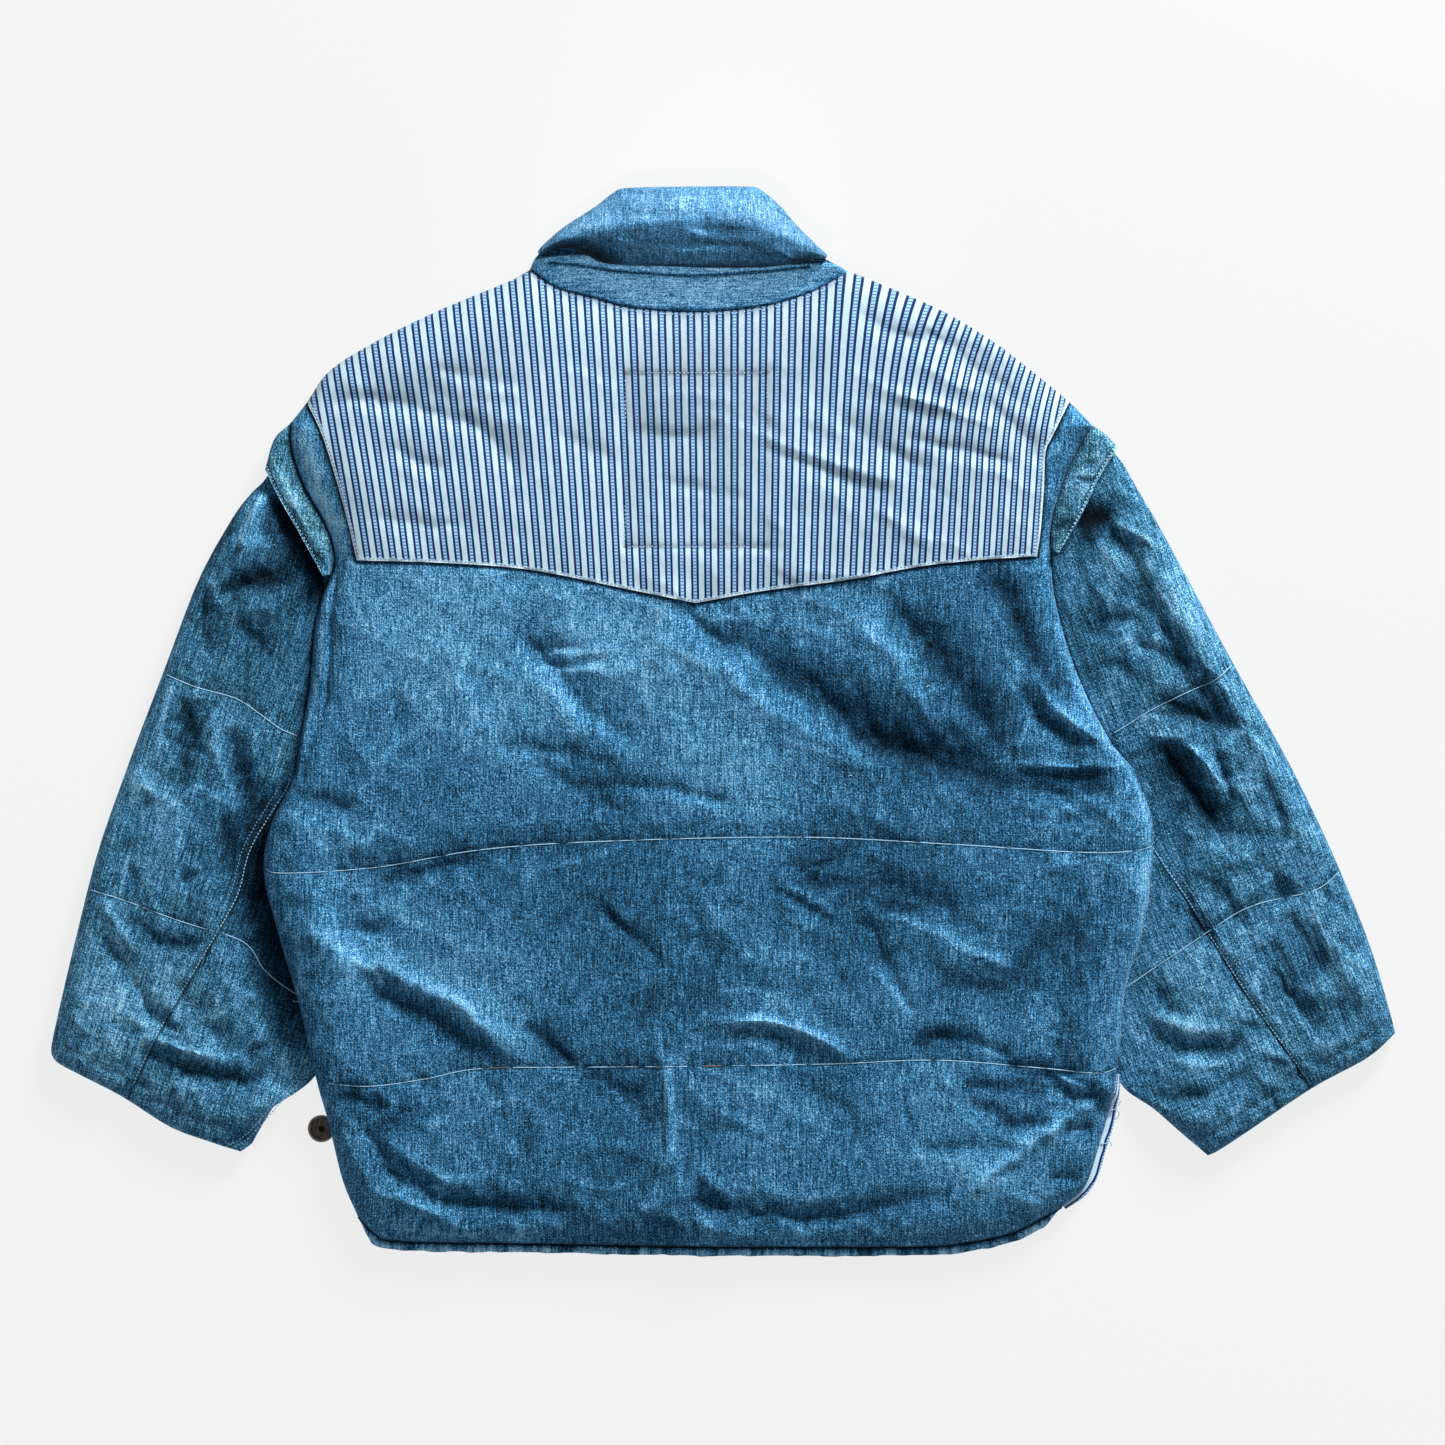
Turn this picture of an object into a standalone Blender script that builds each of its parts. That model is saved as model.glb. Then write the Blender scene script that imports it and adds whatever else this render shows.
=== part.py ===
"""An oversized padded denim jacket, laid flat on its front with its back upwards.

Sizes are in millimetres and become metres where a mesh is made. +X runs to the right
along the hem, +Y towards the collar, and +Z up from the surface that the jacket lies on.
Every cut piece is a wall: a grid of outer points and a grid of inner points on one plan.
"""
from collections import namedtuple

import bpy
import numpy as np

MM = 0.001

# Cloth and seams
SEAM = 0.3                # space between two pieces at a seam
ARMHOLE_SEAM = 0.7        # space between a sleeve head and the body
UNDER_TUCK = 1.5          # the lower layers stop this much short of the upper one there
LEAST_WALL = 3.6          # no padded wall gets thinner than this

# Body, measured up from the lower of its two layers
FRONT_EDGE = 3.4          # thickness of a front at its seams
FRONT_WALL = 8.0          # thickness of a front where its padding is full
BACK_EDGE = 3.6
BACK_WALL = 13.5
HOLLOW = 2.2              # slack between front and back
PUFF_REACH = 42.0         # from a seam to where the padding is full
YOKE_CLEAR = 0.4          # the yoke lies this far above the back
YOKE_CLOTH = 1.3
BINDING_WIDTH = 6.4
FACING_CLOTH = 1.3

# Sleeves
SLEEVE_WIDTH = 150.0      # about half way down
SLEEVE_HEIGHT = 22.0
SLEEVE_HEAD_HEIGHT = 7.4
SLEEVE_CUFF_HEIGHT = 9.5
SLEEVE_TUCKED = 8.4       # height of a sleeve where the body lies on it
HEAD_REACH = 75.0
CUFF_REACH = 46.0
SLEEVE_SIDE_REACH = 17.0
SLEEVE_SLACK = 1.4
SLEEVE_SIDE_WALL = 7.0
SLEEVE_UNDER_REACH = 9.0  # from the sleeve's side to where its underside rests flat
TUCK_MARGIN = 9.0         # the sleeve stays low this far beyond the body's side
TUCK_RUN = 42.0
SEAM_FURTHEST = 0.975     # a sleeve's long seam stays this far from its inner edge
UNDER_SHARE = 0.33        # share of its height that the lower wall takes
SIDE_LEVEL = 0.4          # share of its height at which a flattened sleeve turns over

# The body is held up where it lies on a sleeve
BODY_LIFT = 9.9
LIFT_MARGIN = 8.0
LIFT_RUN = 34.0
LIFT_TOP = {-1: 20.0, 1: 34.0}          # for the left and right side
LIFT_BOTTOM = {-1: -318.0, 1: -322.0}
LIFT_FADE = 40.0

# Shoulder caps
CAP_CLOTH = 3.2
CAP_UNDER_CLOTH = 2.5
CAP_TURN = 3.0            # from the fold to where the cap's inside is fully open
CAP_SEAM_HEIGHT = 11.6
CAP_RIM_HEIGHT = 17.4
CAP_LIFT = 3.2            # a sleeve is this far up where a cap passes under it
CAP_LIFT_REACH = 46.0     # from the sleeve's head to where it begins to come down again
CAP_LIFT_RUN = 26.0
CAP_BELOW = 40.0          # the sleeve stays up this far below a cap's lower end

# Collar
BAND_CLOTH = 2.9
BAND_LOW = 9.4
BAND_HIGH = 13.6
BAND_FRONT_LIFT = 4.5
FALL_LIP = 19.0
FALL_CREST = 37.0
FALL_RIM = 13.0
FALL_CLOSED = (8.3, 8.9)  # the two inner faces where the fall is thin
FALL_OPEN = (4.0, 14.3)   # and at its folded top
FRONT_OPENING = 0.04      # half of the gap at the centre front, as a share of the collar

# Buttons
SIDE_BUTTON_AT = (-293.0, -297.0)
SIDE_BUTTON_RADIUS = 10.0
SIDE_BUTTON_THICKNESS = 3.6
FRONT_BUTTON_RADIUS = 9.5
FRONT_BUTTON_THICKNESS = 2.4
FRONT_BUTTON_HEIGHTS = (235.0, 125.0, 15.0, -95.0, -205.0)
CHANNEL_HEIGHT = 3.4      # the fronts are this far up over their buttons
CHANNEL_HALF_WIDTH = 26.0
CHANNEL_RUN = 22.0
SLIT_INSET = 9.0          # the fronts stop short of the back at the side slits
SLIT_TOP = -268.0
SLIT_REACH = 60.0         # the inset fades out this far in from the side
SLIT_DROP = 1.2           # a front is this much thinner there
SLIT_COLUMNS = 3          # a front's binding leaves out these columns at the slit
SLIT_FADE = 14.0
FACING_TOP = -270.0
FACING_TUCKED = 5.0       # the facing reaches this far in under the back's edge

# Padding is drawn down at a line of quilting
QUILT_DEPTH = 7.5
QUILT_REACH = 15.0

# Denim, ticking, button and binding colours in linear light
MID_DENIM = (0.048, 0.135, 0.225)
LIGHT_DENIM = (0.105, 0.260, 0.400)
DEEP_DENIM = (0.036, 0.100, 0.165)
TICKING = (0.270, 0.410, 0.540)
CAP_DENIM = (0.080, 0.170, 0.240)
HORN = (0.030, 0.028, 0.030)

# Side outlines of the body, from the hem up to the shoulder tip
LEFT_SIDE = [(-266, -361), (-277, -335), (-287, -295), (-299, -247), (-309, -203), (-323, -156),
             (-334, -110), (-329, -76), (-317, -52), (-311.5, -39)]
LEFT_ARMHOLE = [(-311.5, -39), (-307, -11), (-301, 30), (-298, 65), (-292, 91), (-284, 112),
                (-284, 126), (-291, 146), (-306, 172), (-315, 200), (-315.5, 217)]
RIGHT_SIDE = [(247, -354), (264, -338), (274, -309), (283, -276), (288, -240), (292, -196),
              (303, -162), (311, -119), (312, -72), (298, -34)]
RIGHT_ARMHOLE = [(298, -34), (280, -12), (258, 35), (243, 84), (239, 118), (240, 147),
                 (252, 184), (269, 216)]

# Lines across the body. Each has its heights at the two sides, the stretches between
# them, and where the four lines of columns cross it.
Across = namedtuple("Across", "left_y right_y stretches columns_x")
HEM = Across(-361, -354,
             [[(-254, -373), (-235, -379), (-129, -381), (-2, -383), (139, -383), (177, -380), (213, -372)]],
             (-215, -95, 75, 190))
LOWER_QUILT = Across(-261, -251,
                     [[(-259, -265), (-218, -260), (-174, -252), (-85, -251), (66, -249), (153, -246),
                       (223, -251), (271, -255)]],
                     (-235, -100, 80, 212))
UPPER_QUILT = Across(-107, -92,
                     [[(-319, -110), (-252, -106), (-174, -93), (-85, -87), (53, -84), (162, -89),
                       (259, -95), (296, -94)]],
                     (-258, -108, 86, 228))
YOKE_EDGE = Across(118, 118,
                   [[(-266, 117), (-201, 115), (-139, 110), (-69, 96), (-20, 86)],
                    [(-20, 86), (30, 95), (91, 103), (153, 114), (228, 120)]],
                   (-266, -115, 90, 228))
SHOULDERS = Across(217, 216,
                   [[(-303, 233), (-286, 256), (-251, 278), (-206, 300), (-153, 322), (-141, 329)],
                    [(-141, 329), (-122, 316), (-93, 308), (-66, 301), (-19, 298), (27, 302), (65, 313),
                     (91, 328)],
                    [(91, 328), (107, 322), (158, 300), (195, 278), (223, 257), (252, 233)]],
                   (-303, -141, 91, 252))
BODY_LINES = [HEM, LOWER_QUILT, UPPER_QUILT, YOKE_EDGE, SHOULDERS]
YOKE_LEFT = [(-266, 117), (-272, 143), (-280, 173), (-291, 208), (-303, 233)]
YOKE_RIGHT = [(228, 120), (231, 141), (233, 170), (234, 195), (239, 207), (252, 233)]
BODY_COLUMNS = (4, 6, 10, 6, 4)
BODY_ROWS = (6, 8, 10, 10)
YOKE_BAND = 3             # the band of rows that the yoke covers

# Lines across each sleeve, and its two long edges
Sleeve = namedtuple("Sleeve", "outer inner upper_quilt lower_quilt quilt_ends cuff seam under_seam folds")
SLEEVE_ROWS = (6, 8, 6)
UNDER_COLUMNS = 7

# A fold is raised, or sunk where its height is below 0, along a line
Fold = namedtuple("Fold", "height reach line")
BACK_FOLDS = [
    Fold(-5.5, 15, [(-10, 62), (50, 22), (99, -7), (162, -27), (225, -52)]),
    Fold(-5.0, 13, [(118, 89), (160, 44), (198, -7), (207, -25)]),
    Fold(4.0, 13, [(91, 69), (135, 24), (162, -7)]),
    Fold(-4.5, 13, [(184, 105), (220, 59), (234, 33)]),
    Fold(-4.5, 16, [(-151, 65), (-116, 22), (-73, -9)]),
    Fold(-3.5, 15, [(-128, -32), (-73, -65)]),
    Fold(-4.0, 12, [(211, -31), (280, -31)]),
    Fold(-4.5, 14, [(68, -120), (153, -130), (180, -154)]),
    Fold(3.5, 13, [(113, -137), (184, -168), (209, -177)]),
    Fold(4.0, 16, [(-306, -143), (-245, -179), (-178, -215), (-142, -240)]),
    Fold(-3.0, 13, [(-252, -199), (-190, -233)]),
    Fold(-5.0, 14, [(-258, -291), (-218, -329), (-152, -342), (-107, -346)]),
    Fold(3.0, 12, [(-245, -304), (-192, -338)]),
    Fold(3.5, 15, [(-47, -228), (-39, -308), (-2, -365)]),
    Fold(-4.0, 13, [(-26, -348), (66, -360), (174, -341)]),
    Fold(-3.0, 14, [(-100, -257), (-55, -297)]),
    Fold(3.5, 15, [(269, -273), (177, -343)]),
    Fold(-2.5, 13, [(-287, 235), (-201, 222), (-182, 218)]),
    Fold(-2.5, 13, [(100, 298), (153, 278), (220, 228)]),
    Fold(-2.5, 14, [(-242, 192), (-213, 181), (-155, 204)]),
    Fold(-2.0, 12, [(-72, 214), (-2, 204)]),
]
LEFT_SLEEVE = Sleeve(
    outer=[(-316, 207), (-323, 199), (-328, 186), (-335, 175), (-344, 166), (-358, 147), (-382, 103),
           (-407, 38), (-432, -28), (-455, -94), (-472, -160), (-488, -229), (-489.7, -243)],
    inner=[(-316.5, -51), (-323, -74), (-320, -105), (-306, -145), (-295, -185), (-291, -220), (-297, -259),
           (-323, -285), (-349, -314)],
    upper_quilt=[(-407, 35), (-383, 25), (-355, 17), (-338, 6), (-323, -5), (-309, -11)],
    lower_quilt=[(-462, -122), (-438, -129), (-395, -145), (-350, -160), (-334, -181), (-315, -196),
                 (-293, -207)],
    quilt_ends=(-74, -207),
    cuff=[(-489.7, -243), (-484, -249), (-467, -258), (-438, -273), (-403, -295), (-374, -306), (-349, -314)],
    seam=[(-312, -39), (-318, -51), (-343, -93), (-353, -128), (-378, -173), (-405, -218), (-434, -276)],
    under_seam=(1.18, 1.14, 1.10, 0.90),
    folds=[
        Fold(3.5, 13, [(-333, 172), (-347, 134), (-366, 98)]),
        Fold(-5.0, 14, [(-321, 118), (-352, 92)]),
        Fold(-3.0, 13, [(-374, 89), (-374, 51)]),
        Fold(-3.5, 13, [(-388, 4), (-391, -41)]),
        Fold(-3.0, 12, [(-358, -14), (-347, -54)]),
        Fold(-3.0, 13, [(-448, -164), (-418, -209), (-408, -224)]),
        Fold(-4.0, 13, [(-413, -243), (-374, -256), (-321, -250)]),
        Fold(3.0, 12, [(-415, -226), (-355, -240)]),
    ])
RIGHT_SLEEVE = Sleeve(
    outer=[(269.5, 207), (279, 201), (290, 190), (302, 169), (315, 147), (339, 103), (374, 38),
           (411, -28), (443, -94), (470, -160), (486, -212), (489.8, -227)],
    inner=[(282.5, -15), (293, -34), (301, -57), (303, -84), (297, -116), (285, -154), (276, -200), (279, -238),
           (290.5, -266), (313, -282), (335, -301), (353, -316)],
    upper_quilt=[(371, 42), (357, 30), (337, 21), (311, 8), (297, -1), (284, -9)],
    lower_quilt=[(450, -108), (429, -123), (380, -136), (331, -168), (296, -192), (276, -203)],
    quilt_ends=(-78, -203),
    cuff=[(489.8, -227), (469, -245), (429, -267), (380, -300), (360, -313), (353, -316)],
    seam=[(297, -60), (312, -92), (335, -127), (351, -153), (380, -199), (407, -237), (432, -272)],
    under_seam=(1.18, 1.30, 1.40, 1.45),
    folds=[
        Fold(4.0, 15, [(302, 125), (320, 90), (356, 37)]),
        Fold(-4.0, 13, [(272, 150), (290, 138)]),
        Fold(-3.5, 12, [(258, 79), (302, 73)]),
        Fold(-3.5, 13, [(307, 104), (337, 46), (366, 32)]),
        Fold(-4.5, 14, [(320, -18), (366, -54), (380, -81)]),
        Fold(-3.0, 12, [(389, -96), (407, -127)]),
        Fold(-3.0, 13, [(414, -145), (436, -181)]),
        Fold(-3.5, 13, [(299, -176), (331, -212)]),
        Fold(-3.5, 13, [(311, -226), (371, -237)]),
        Fold(-3.0, 12, [(300, -273), (366, -259)]),
    ])

# A cap runs from the fold over the shoulder tip down to its lower end on the back
Cap = namedtuple("Cap", "fold rim lower_y")
LEFT_CAP = Cap(fold=[(-327, 206), (-333.5, 184)],
               rim=[(-333.5, 184), (-323, 163), (-306, 133), (-291, 106)],
               lower_y=108)
RIGHT_CAP = Cap(fold=[(279, 209), (287.5, 200)],
                rim=[(287.5, 200), (274, 178), (260, 149), (243.5, 122)],
                lower_y=126)

# Collar outlines, from left to right
BAND_TOP = [(-137.5, 335), (-126, 337), (-105, 338), (-84, 338), (-38, 338), (9, 337), (30, 335.5),
            (44, 332), (56, 331.5), (68, 332), (83, 332)]
FALL_FREE = [(-134, 339), (-128, 342.5), (-114, 345), (-100, 340), (-84, 333), (-38, 331), (9, 330),
             (36, 331), (55, 334), (66, 337), (75, 337)]
FALL_TOP = [(-135, 342), (-131, 347), (-116, 360), (-93, 375), (-80, 385), (-70, 388.5), (-28, 389.5),
            (18, 389.5), (29, 386), (42, 375), (53, 362), (65, 350), (76, 339.5)]
COLLAR_COLUMNS = 18


# Lines on the plan

def smooth(points, steps=10):
    """A Catmull-Rom line through the points."""
    knots = np.array(points, float)
    knots = np.vstack([2 * knots[0] - knots[1], knots, 2 * knots[-1] - knots[-2]])
    q = np.linspace(0, 1, steps, endpoint=False)[:, None]
    stretches = []
    for a, b, c, d in zip(knots, knots[1:], knots[2:], knots[3:]):
        stretches.append(0.5 * (2 * b + (c - a) * q + (2 * a - 5 * b + 4 * c - d) * q ** 2
                                + (3 * b - a - 3 * c + d) * q ** 3))
    return np.vstack(stretches + [knots[-2:-1]])


def shares(line):
    """How far along the line each of its points is, from 0 to 1."""
    steps = np.hypot(*np.diff(line, axis=0).T)
    return np.concatenate([[0], np.cumsum(steps)]) / steps.sum()


def length_of(line):
    return np.hypot(*np.diff(line, axis=0).T).sum()


def along(line, q):
    """Points at the shares q of the line's length."""
    at = shares(line)
    return np.stack([np.interp(q, at, line[:, 0]), np.interp(q, at, line[:, 1])], axis=-1)


def moved_out(line, distance):
    """The line moved to its left, seen along it, by the distance."""
    step = np.gradient(line, axis=0)
    step /= np.hypot(step[:, 0], step[:, 1])[:, None]
    return line + np.reshape(distance, (-1, 1)) * np.stack([-step[:, 1], step[:, 0]], axis=1)


def nearest_index(line, axis, value):
    """Index of the point whose coordinate on the axis is nearest to the value."""
    return int(np.argmin(np.abs(line[:, axis] - value)))


def distance_to(x, y, line):
    """Distance from each plan point to the nearest stretch of the line."""
    point = np.stack([x, y], axis=-1)
    best = np.full(np.shape(x), np.inf)
    for a, b in zip(line, line[1:]):
        run = b - a
        length = max(run @ run, 1e-9)
        q = np.clip((point - a) @ run / length, 0, 1)
        gap = point - a - q[..., None] * run
        best = np.minimum(best, np.hypot(gap[..., 0], gap[..., 1]))
    return best


def eased(count):
    """Shares from 0 to 1 that lie closer together at both ends."""
    even = np.linspace(0, 1, count + 1)
    return 0.5 * even + 0.25 * (1 - np.cos(np.pi * even))


def patch(bottom, top, left, right, s, t):
    """Plan points of a Coons patch between four lines, a row for each t."""
    low, high = along(bottom, s)[None], along(top, s)[None]
    near, far = along(left, t)[:, None], along(right, t)[:, None]
    s, t = s[None, :, None], t[:, None, None]
    corners = ((1 - s) * (1 - t) * bottom[0] + s * (1 - t) * bottom[-1]
               + (1 - s) * t * top[0] + s * t * top[-1])
    return (1 - t) * low + t * high + (1 - s) * near + s * far - corners


# Heights

def bulge(distance, reach):
    """A round rise from 0 at a seam to 1 at the reach."""
    q = np.clip(distance / reach, 0, 1)
    return np.sqrt(1 - (1 - q) ** 2)


def ramp(distance, reach):
    """A soft step from 0 to 1 over the reach."""
    q = np.clip(distance / reach, 0, 1)
    return q * q * (3 - 2 * q)


def relief(x, y, quilting, folds):
    """Change of height made by lines of quilting and by folds."""
    height = np.zeros(np.shape(x))
    for line in quilting:
        height -= QUILT_DEPTH * np.exp(-(distance_to(x, y, line) / QUILT_REACH) ** 2)
    for fold in folds:
        height += fold.height * np.exp(-(distance_to(x, y, smooth(fold.line, 4)) / fold.reach) ** 2)
    return height


# Plan of the body

def body_net():
    """The crossing lines of the body: its lines across, each split in five stretches."""
    left = np.vstack([smooth(LEFT_SIDE)[:-1], smooth(LEFT_ARMHOLE)])
    right = np.vstack([smooth(RIGHT_SIDE)[:-1], smooth(RIGHT_ARMHOLE)])
    across, left_at, right_at = [], [], []
    for line in BODY_LINES:
        left_at.append(nearest_index(left, 1, line.left_y))
        right_at.append(nearest_index(right, 1, line.right_y))
        stretches = [list(stretch) for stretch in line.stretches]
        stretches[0].insert(0, tuple(left[left_at[-1]]))
        stretches[-1].append(tuple(right[right_at[-1]]))
        whole = np.vstack([smooth(stretch) for stretch in stretches])
        stops = [0] + [nearest_index(whole, 0, x) for x in line.columns_x] + [len(whole) - 1]
        across.append([whole[a:b + 1] for a, b in zip(stops, stops[1:])])
    upright = []
    for band in range(len(BODY_ROWS)):
        low, high = across[band], across[band + 1]
        sides = [left[left_at[band]:left_at[band + 1] + 1]]
        sides += [np.array([low[i][0], high[i][0]]) for i in range(1, len(BODY_COLUMNS))]
        sides += [right[right_at[band]:right_at[band + 1] + 1]]
        upright.append(sides)
    upright[YOKE_BAND][1] = smooth([across[YOKE_BAND][1][0]] + YOKE_LEFT[1:-1] + [across[YOKE_BAND + 1][1][0]])
    upright[YOKE_BAND][4] = smooth([across[YOKE_BAND][4][0]] + YOKE_RIGHT[1:-1] + [across[YOKE_BAND + 1][4][0]])
    return across, upright, left, right


def body_plan(across, upright):
    """Plan points of the whole body, rows from the hem up and columns from the left."""
    rows = []
    for band, row_count in enumerate(BODY_ROWS):
        t = eased(row_count)
        cells = []
        for i, column_count in enumerate(BODY_COLUMNS):
            s = np.linspace(0, 1, column_count + 1)
            cell = patch(across[band][i], across[band + 1][i], upright[band][i], upright[band][i + 1], s, t)
            cells.append(cell if i == 0 else cell[:, 1:])
        whole = np.hstack(cells)
        rows.append(whole if band == 0 else whole[1:])
    return np.vstack(rows)


class Body:
    """Plan and heights of the body's two layers."""

    def __init__(self):
        across, upright, self.left, self.right = body_net()
        self.plan = body_plan(across, upright)
        top = np.vstack(across[-1])
        hem = np.vstack(across[0])
        self.outline = np.vstack([self.left, top, self.right[::-1], hem[::-1]])
        self.quilting = [np.vstack(across[1]), np.vstack(across[2])]
        self.middle = sum(BODY_COLUMNS) // 2
        self.centre = self.plan[:, self.middle]

        self.under_rows = halved(self.plan.shape[0])
        self.under_plan = self.plan[self.under_rows].copy()
        at_sleeve = self.under_plan[:, 0, 1] > LEFT_ARMHOLE[0][1] - 1
        self.under_plan[at_sleeve, 0, 0] += UNDER_TUCK
        self.under_plan[at_sleeve, -1, 0] -= UNDER_TUCK

    def edge(self, x, y):
        return distance_to(x, y, self.outline)

    def lift(self, x, y):
        """Height of the body's underside: it lies on the inner parts of the sleeves."""
        height = np.zeros(np.shape(x))
        for sleeve, side in ((LEFT_SLEEVE, -1), (RIGHT_SLEEVE, 1)):
            inner = smooth(sleeve.inner)[::-1]
            inside = (np.interp(y, inner[:, 1], inner[:, 0]) - x) * side
            across = 1 - ramp(inside - LIFT_MARGIN, LIFT_RUN)
            below_top = ramp(LIFT_TOP[side] - y, LIFT_FADE)
            above_bottom = ramp(y - LIFT_BOTTOM[side], LIFT_FADE)
            height = np.maximum(height, BODY_LIFT * across * below_top * above_bottom)
        return height

    def channel(self, x, y):
        """The fronts ride up a little over the buttons of the opening."""
        centre_x = np.interp(y, self.centre[:, 1], self.centre[:, 0])
        return CHANNEL_HEIGHT * (1 - ramp(np.abs(x - centre_x) - CHANNEL_HALF_WIDTH, CHANNEL_RUN))

    def front_under(self, x, y):
        return np.maximum(self.lift(x, y), self.channel(x, y))

    def front_over(self, x, y):
        return (self.lift(x, y) + 0.6 * self.channel(x, y) + FRONT_EDGE
                + (FRONT_WALL - FRONT_EDGE) * bulge(self.edge(x, y), PUFF_REACH))

    def back_under(self, x, y):
        return self.front_over(x, y) + 3 * SEAM + HOLLOW * bulge(self.edge(x, y), PUFF_REACH)

    def back_over(self, x, y):
        under = self.back_under(x, y)
        edge = self.edge(x, y)
        puff = BACK_EDGE + (BACK_WALL - BACK_EDGE) * bulge(edge, PUFF_REACH)
        shaped = under + puff + relief(x, y, self.quilting, BACK_FOLDS) * ramp(edge, 16)
        return np.maximum(shaped, under + LEAST_WALL)


# Solids

def cloth(name, colour, roughness=0.88):
    """A matt woven material."""
    material = bpy.data.materials.new(name)
    material.use_nodes = True
    shader = material.node_tree.nodes["Principled BSDF"]
    shader.inputs["Base Color"].default_value = (*colour, 1)
    shader.inputs["Roughness"].default_value = roughness
    shader.inputs["Metallic"].default_value = 0
    material.diffuse_color = (*colour, 1)
    return material


def add_solid(name, points, faces, material):
    """An object of triangles, turned to face outwards."""
    points = np.array(points, float) * MM
    faces = np.array(faces)
    a, b, c = points[faces[:, 0]], points[faces[:, 1]], points[faces[:, 2]]
    if np.einsum("ij,ij->", a, np.cross(b, c)) < 0:
        faces = faces[:, ::-1]
    mesh = bpy.data.meshes.new(name)
    mesh.from_pydata(points.tolist(), [], faces.tolist())
    mesh.materials.append(material)
    mesh.shade_smooth()
    mesh.set_sharp_from_angle(angle=0.9)
    solid = bpy.data.objects.new(name, mesh)
    bpy.context.collection.objects.link(solid)
    return solid


def halved(count):
    """Every second index of a row of points, with the last one."""
    return sorted(set(range(0, count, 2)) | {count - 1})


def grid_faces(index, turned):
    """Two triangles for each cell, always split along the same diagonal."""
    a, b = index[:-1, :-1].ravel(), index[:-1, 1:].ravel()
    c, d = index[1:, 1:].ravel(), index[1:, :-1].ravel()
    faces = np.vstack([np.stack([a, b, c], 1), np.stack([a, c, d], 1)])
    return faces[:, ::-1] if turned else faces


def rim_faces(outer, inner, turned):
    """Triangles between two lines of (place, index) pairs, where inner places are among the outer ones."""
    faces = []
    for (start, low), (end, high) in zip(inner, inner[1:]):
        between = [index for place, index in outer if start <= place <= end]
        faces += [(low, a, b) for a, b in zip(between, between[1:])]
        faces.append((low, between[-1], high))
    return [face[::-1] for face in faces] if turned else faces


def add_wall(name, outer, inner, material, rows=None, columns=None):
    """A closed wall between two grids of points; the inner one may use fewer rows and columns."""
    row_count, column_count = outer.shape[:2]
    rows = list(range(row_count)) if rows is None else rows
    columns = list(range(column_count)) if columns is None else columns
    top = np.arange(row_count * column_count).reshape(row_count, column_count)
    low = top.size + np.arange(len(rows) * len(columns)).reshape(len(rows), len(columns))
    faces = grid_faces(top, False).tolist() + grid_faces(low, True).tolist()
    for top_line, low_line, turned in ((top[0], low[0], True), (top[-1], low[-1], False)):
        faces += rim_faces(list(enumerate(top_line)), list(zip(columns, low_line)), turned)
    for top_line, low_line, turned in ((top[:, 0], low[:, 0], False), (top[:, -1], low[:, -1], True)):
        faces += rim_faces(list(enumerate(top_line)), list(zip(rows, low_line)), turned)
    points = np.vstack([outer.reshape(-1, 3), inner.reshape(-1, 3)])
    return add_solid(name, points, faces, material)


def with_height(plan, z):
    return np.concatenate([plan, np.broadcast_to(z, plan.shape[:-1])[..., None]], axis=-1)


# Body pieces

def add_back(body):
    """The back is one padded panel, quilted along two lines."""
    x, y = body.plan[..., 0], body.plan[..., 1]
    outer = with_height(body.plan, body.back_over(x, y))
    plain = body.under_plan
    inner = with_height(plain, body.back_under(plain[..., 0], plain[..., 1]))
    add_wall("back_panel", outer, inner, cloth("denim_back", MID_DENIM), rows=body.under_rows)
    return outer


def add_yoke(back_outer):
    """The ticking yoke lies on the back, on the same points moved out."""
    first_row = sum(BODY_ROWS[:YOKE_BAND])
    columns = slice(BODY_COLUMNS[0], sum(BODY_COLUMNS[:4]) + 1)
    under = back_outer[first_row:, columns].copy()
    under[..., 2] += YOKE_CLEAR
    over = under.copy()
    over[..., 2] += YOKE_CLOTH
    add_wall("back_yoke", over, under, cloth("ticking_yoke", TICKING))


def front_plan(body, columns):
    """Plan of a front, and how much of the slit's inset each point has.

    It is as the back's, but short of it at the side slits, and open at the centre.
    """
    plan = body.under_plan[:, columns].copy()
    outward = 1 if columns[0] else -1
    side = body.left if outward < 0 else body.right
    near = 1 - np.clip(distance_to(plan[..., 0], plan[..., 1], side) / SLIT_REACH, 0, 1)
    inset = near * ramp(SLIT_TOP - plan[..., 1], SLIT_FADE)
    plan[..., 0] -= outward * SLIT_INSET * inset
    centre_column = 0 if outward == 1 else -1
    plan[:, centre_column, 0] += outward * SEAM / 2
    return plan, inset


def add_fronts(body):
    """Two fronts that meet at the centre, flat where they rest."""
    count = body.plan.shape[1]
    for side, columns in (("left", range(0, body.middle + 1)), ("right", range(body.middle, count))):
        plan, inset = front_plan(body, list(columns))
        x, y = plan[..., 0], plan[..., 1]
        outer = with_height(plan, body.front_under(x, y))
        inner = with_height(plan, body.front_over(x, y) - SLIT_DROP * inset)
        add_wall("front_" + side, outer, inner, cloth("denim_front_" + side, MID_DENIM))


def strip_wall(name, near, far, low, high, material):
    """A folded strip along a seam, from its near line to its far line."""
    profile = ((0.0, 0.0, 0.0), (0.5, 0.1, 0.5), (1.0, 0.3, -0.6))
    plan = np.stack([near + (far - near) * q for q, _, _ in profile])
    over = np.stack([high + rise for _, _, rise in profile])
    under = np.stack([low + rise for _, rise, _ in profile])
    add_wall(name, with_height(plan, over), with_height(plan, under), material)


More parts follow.
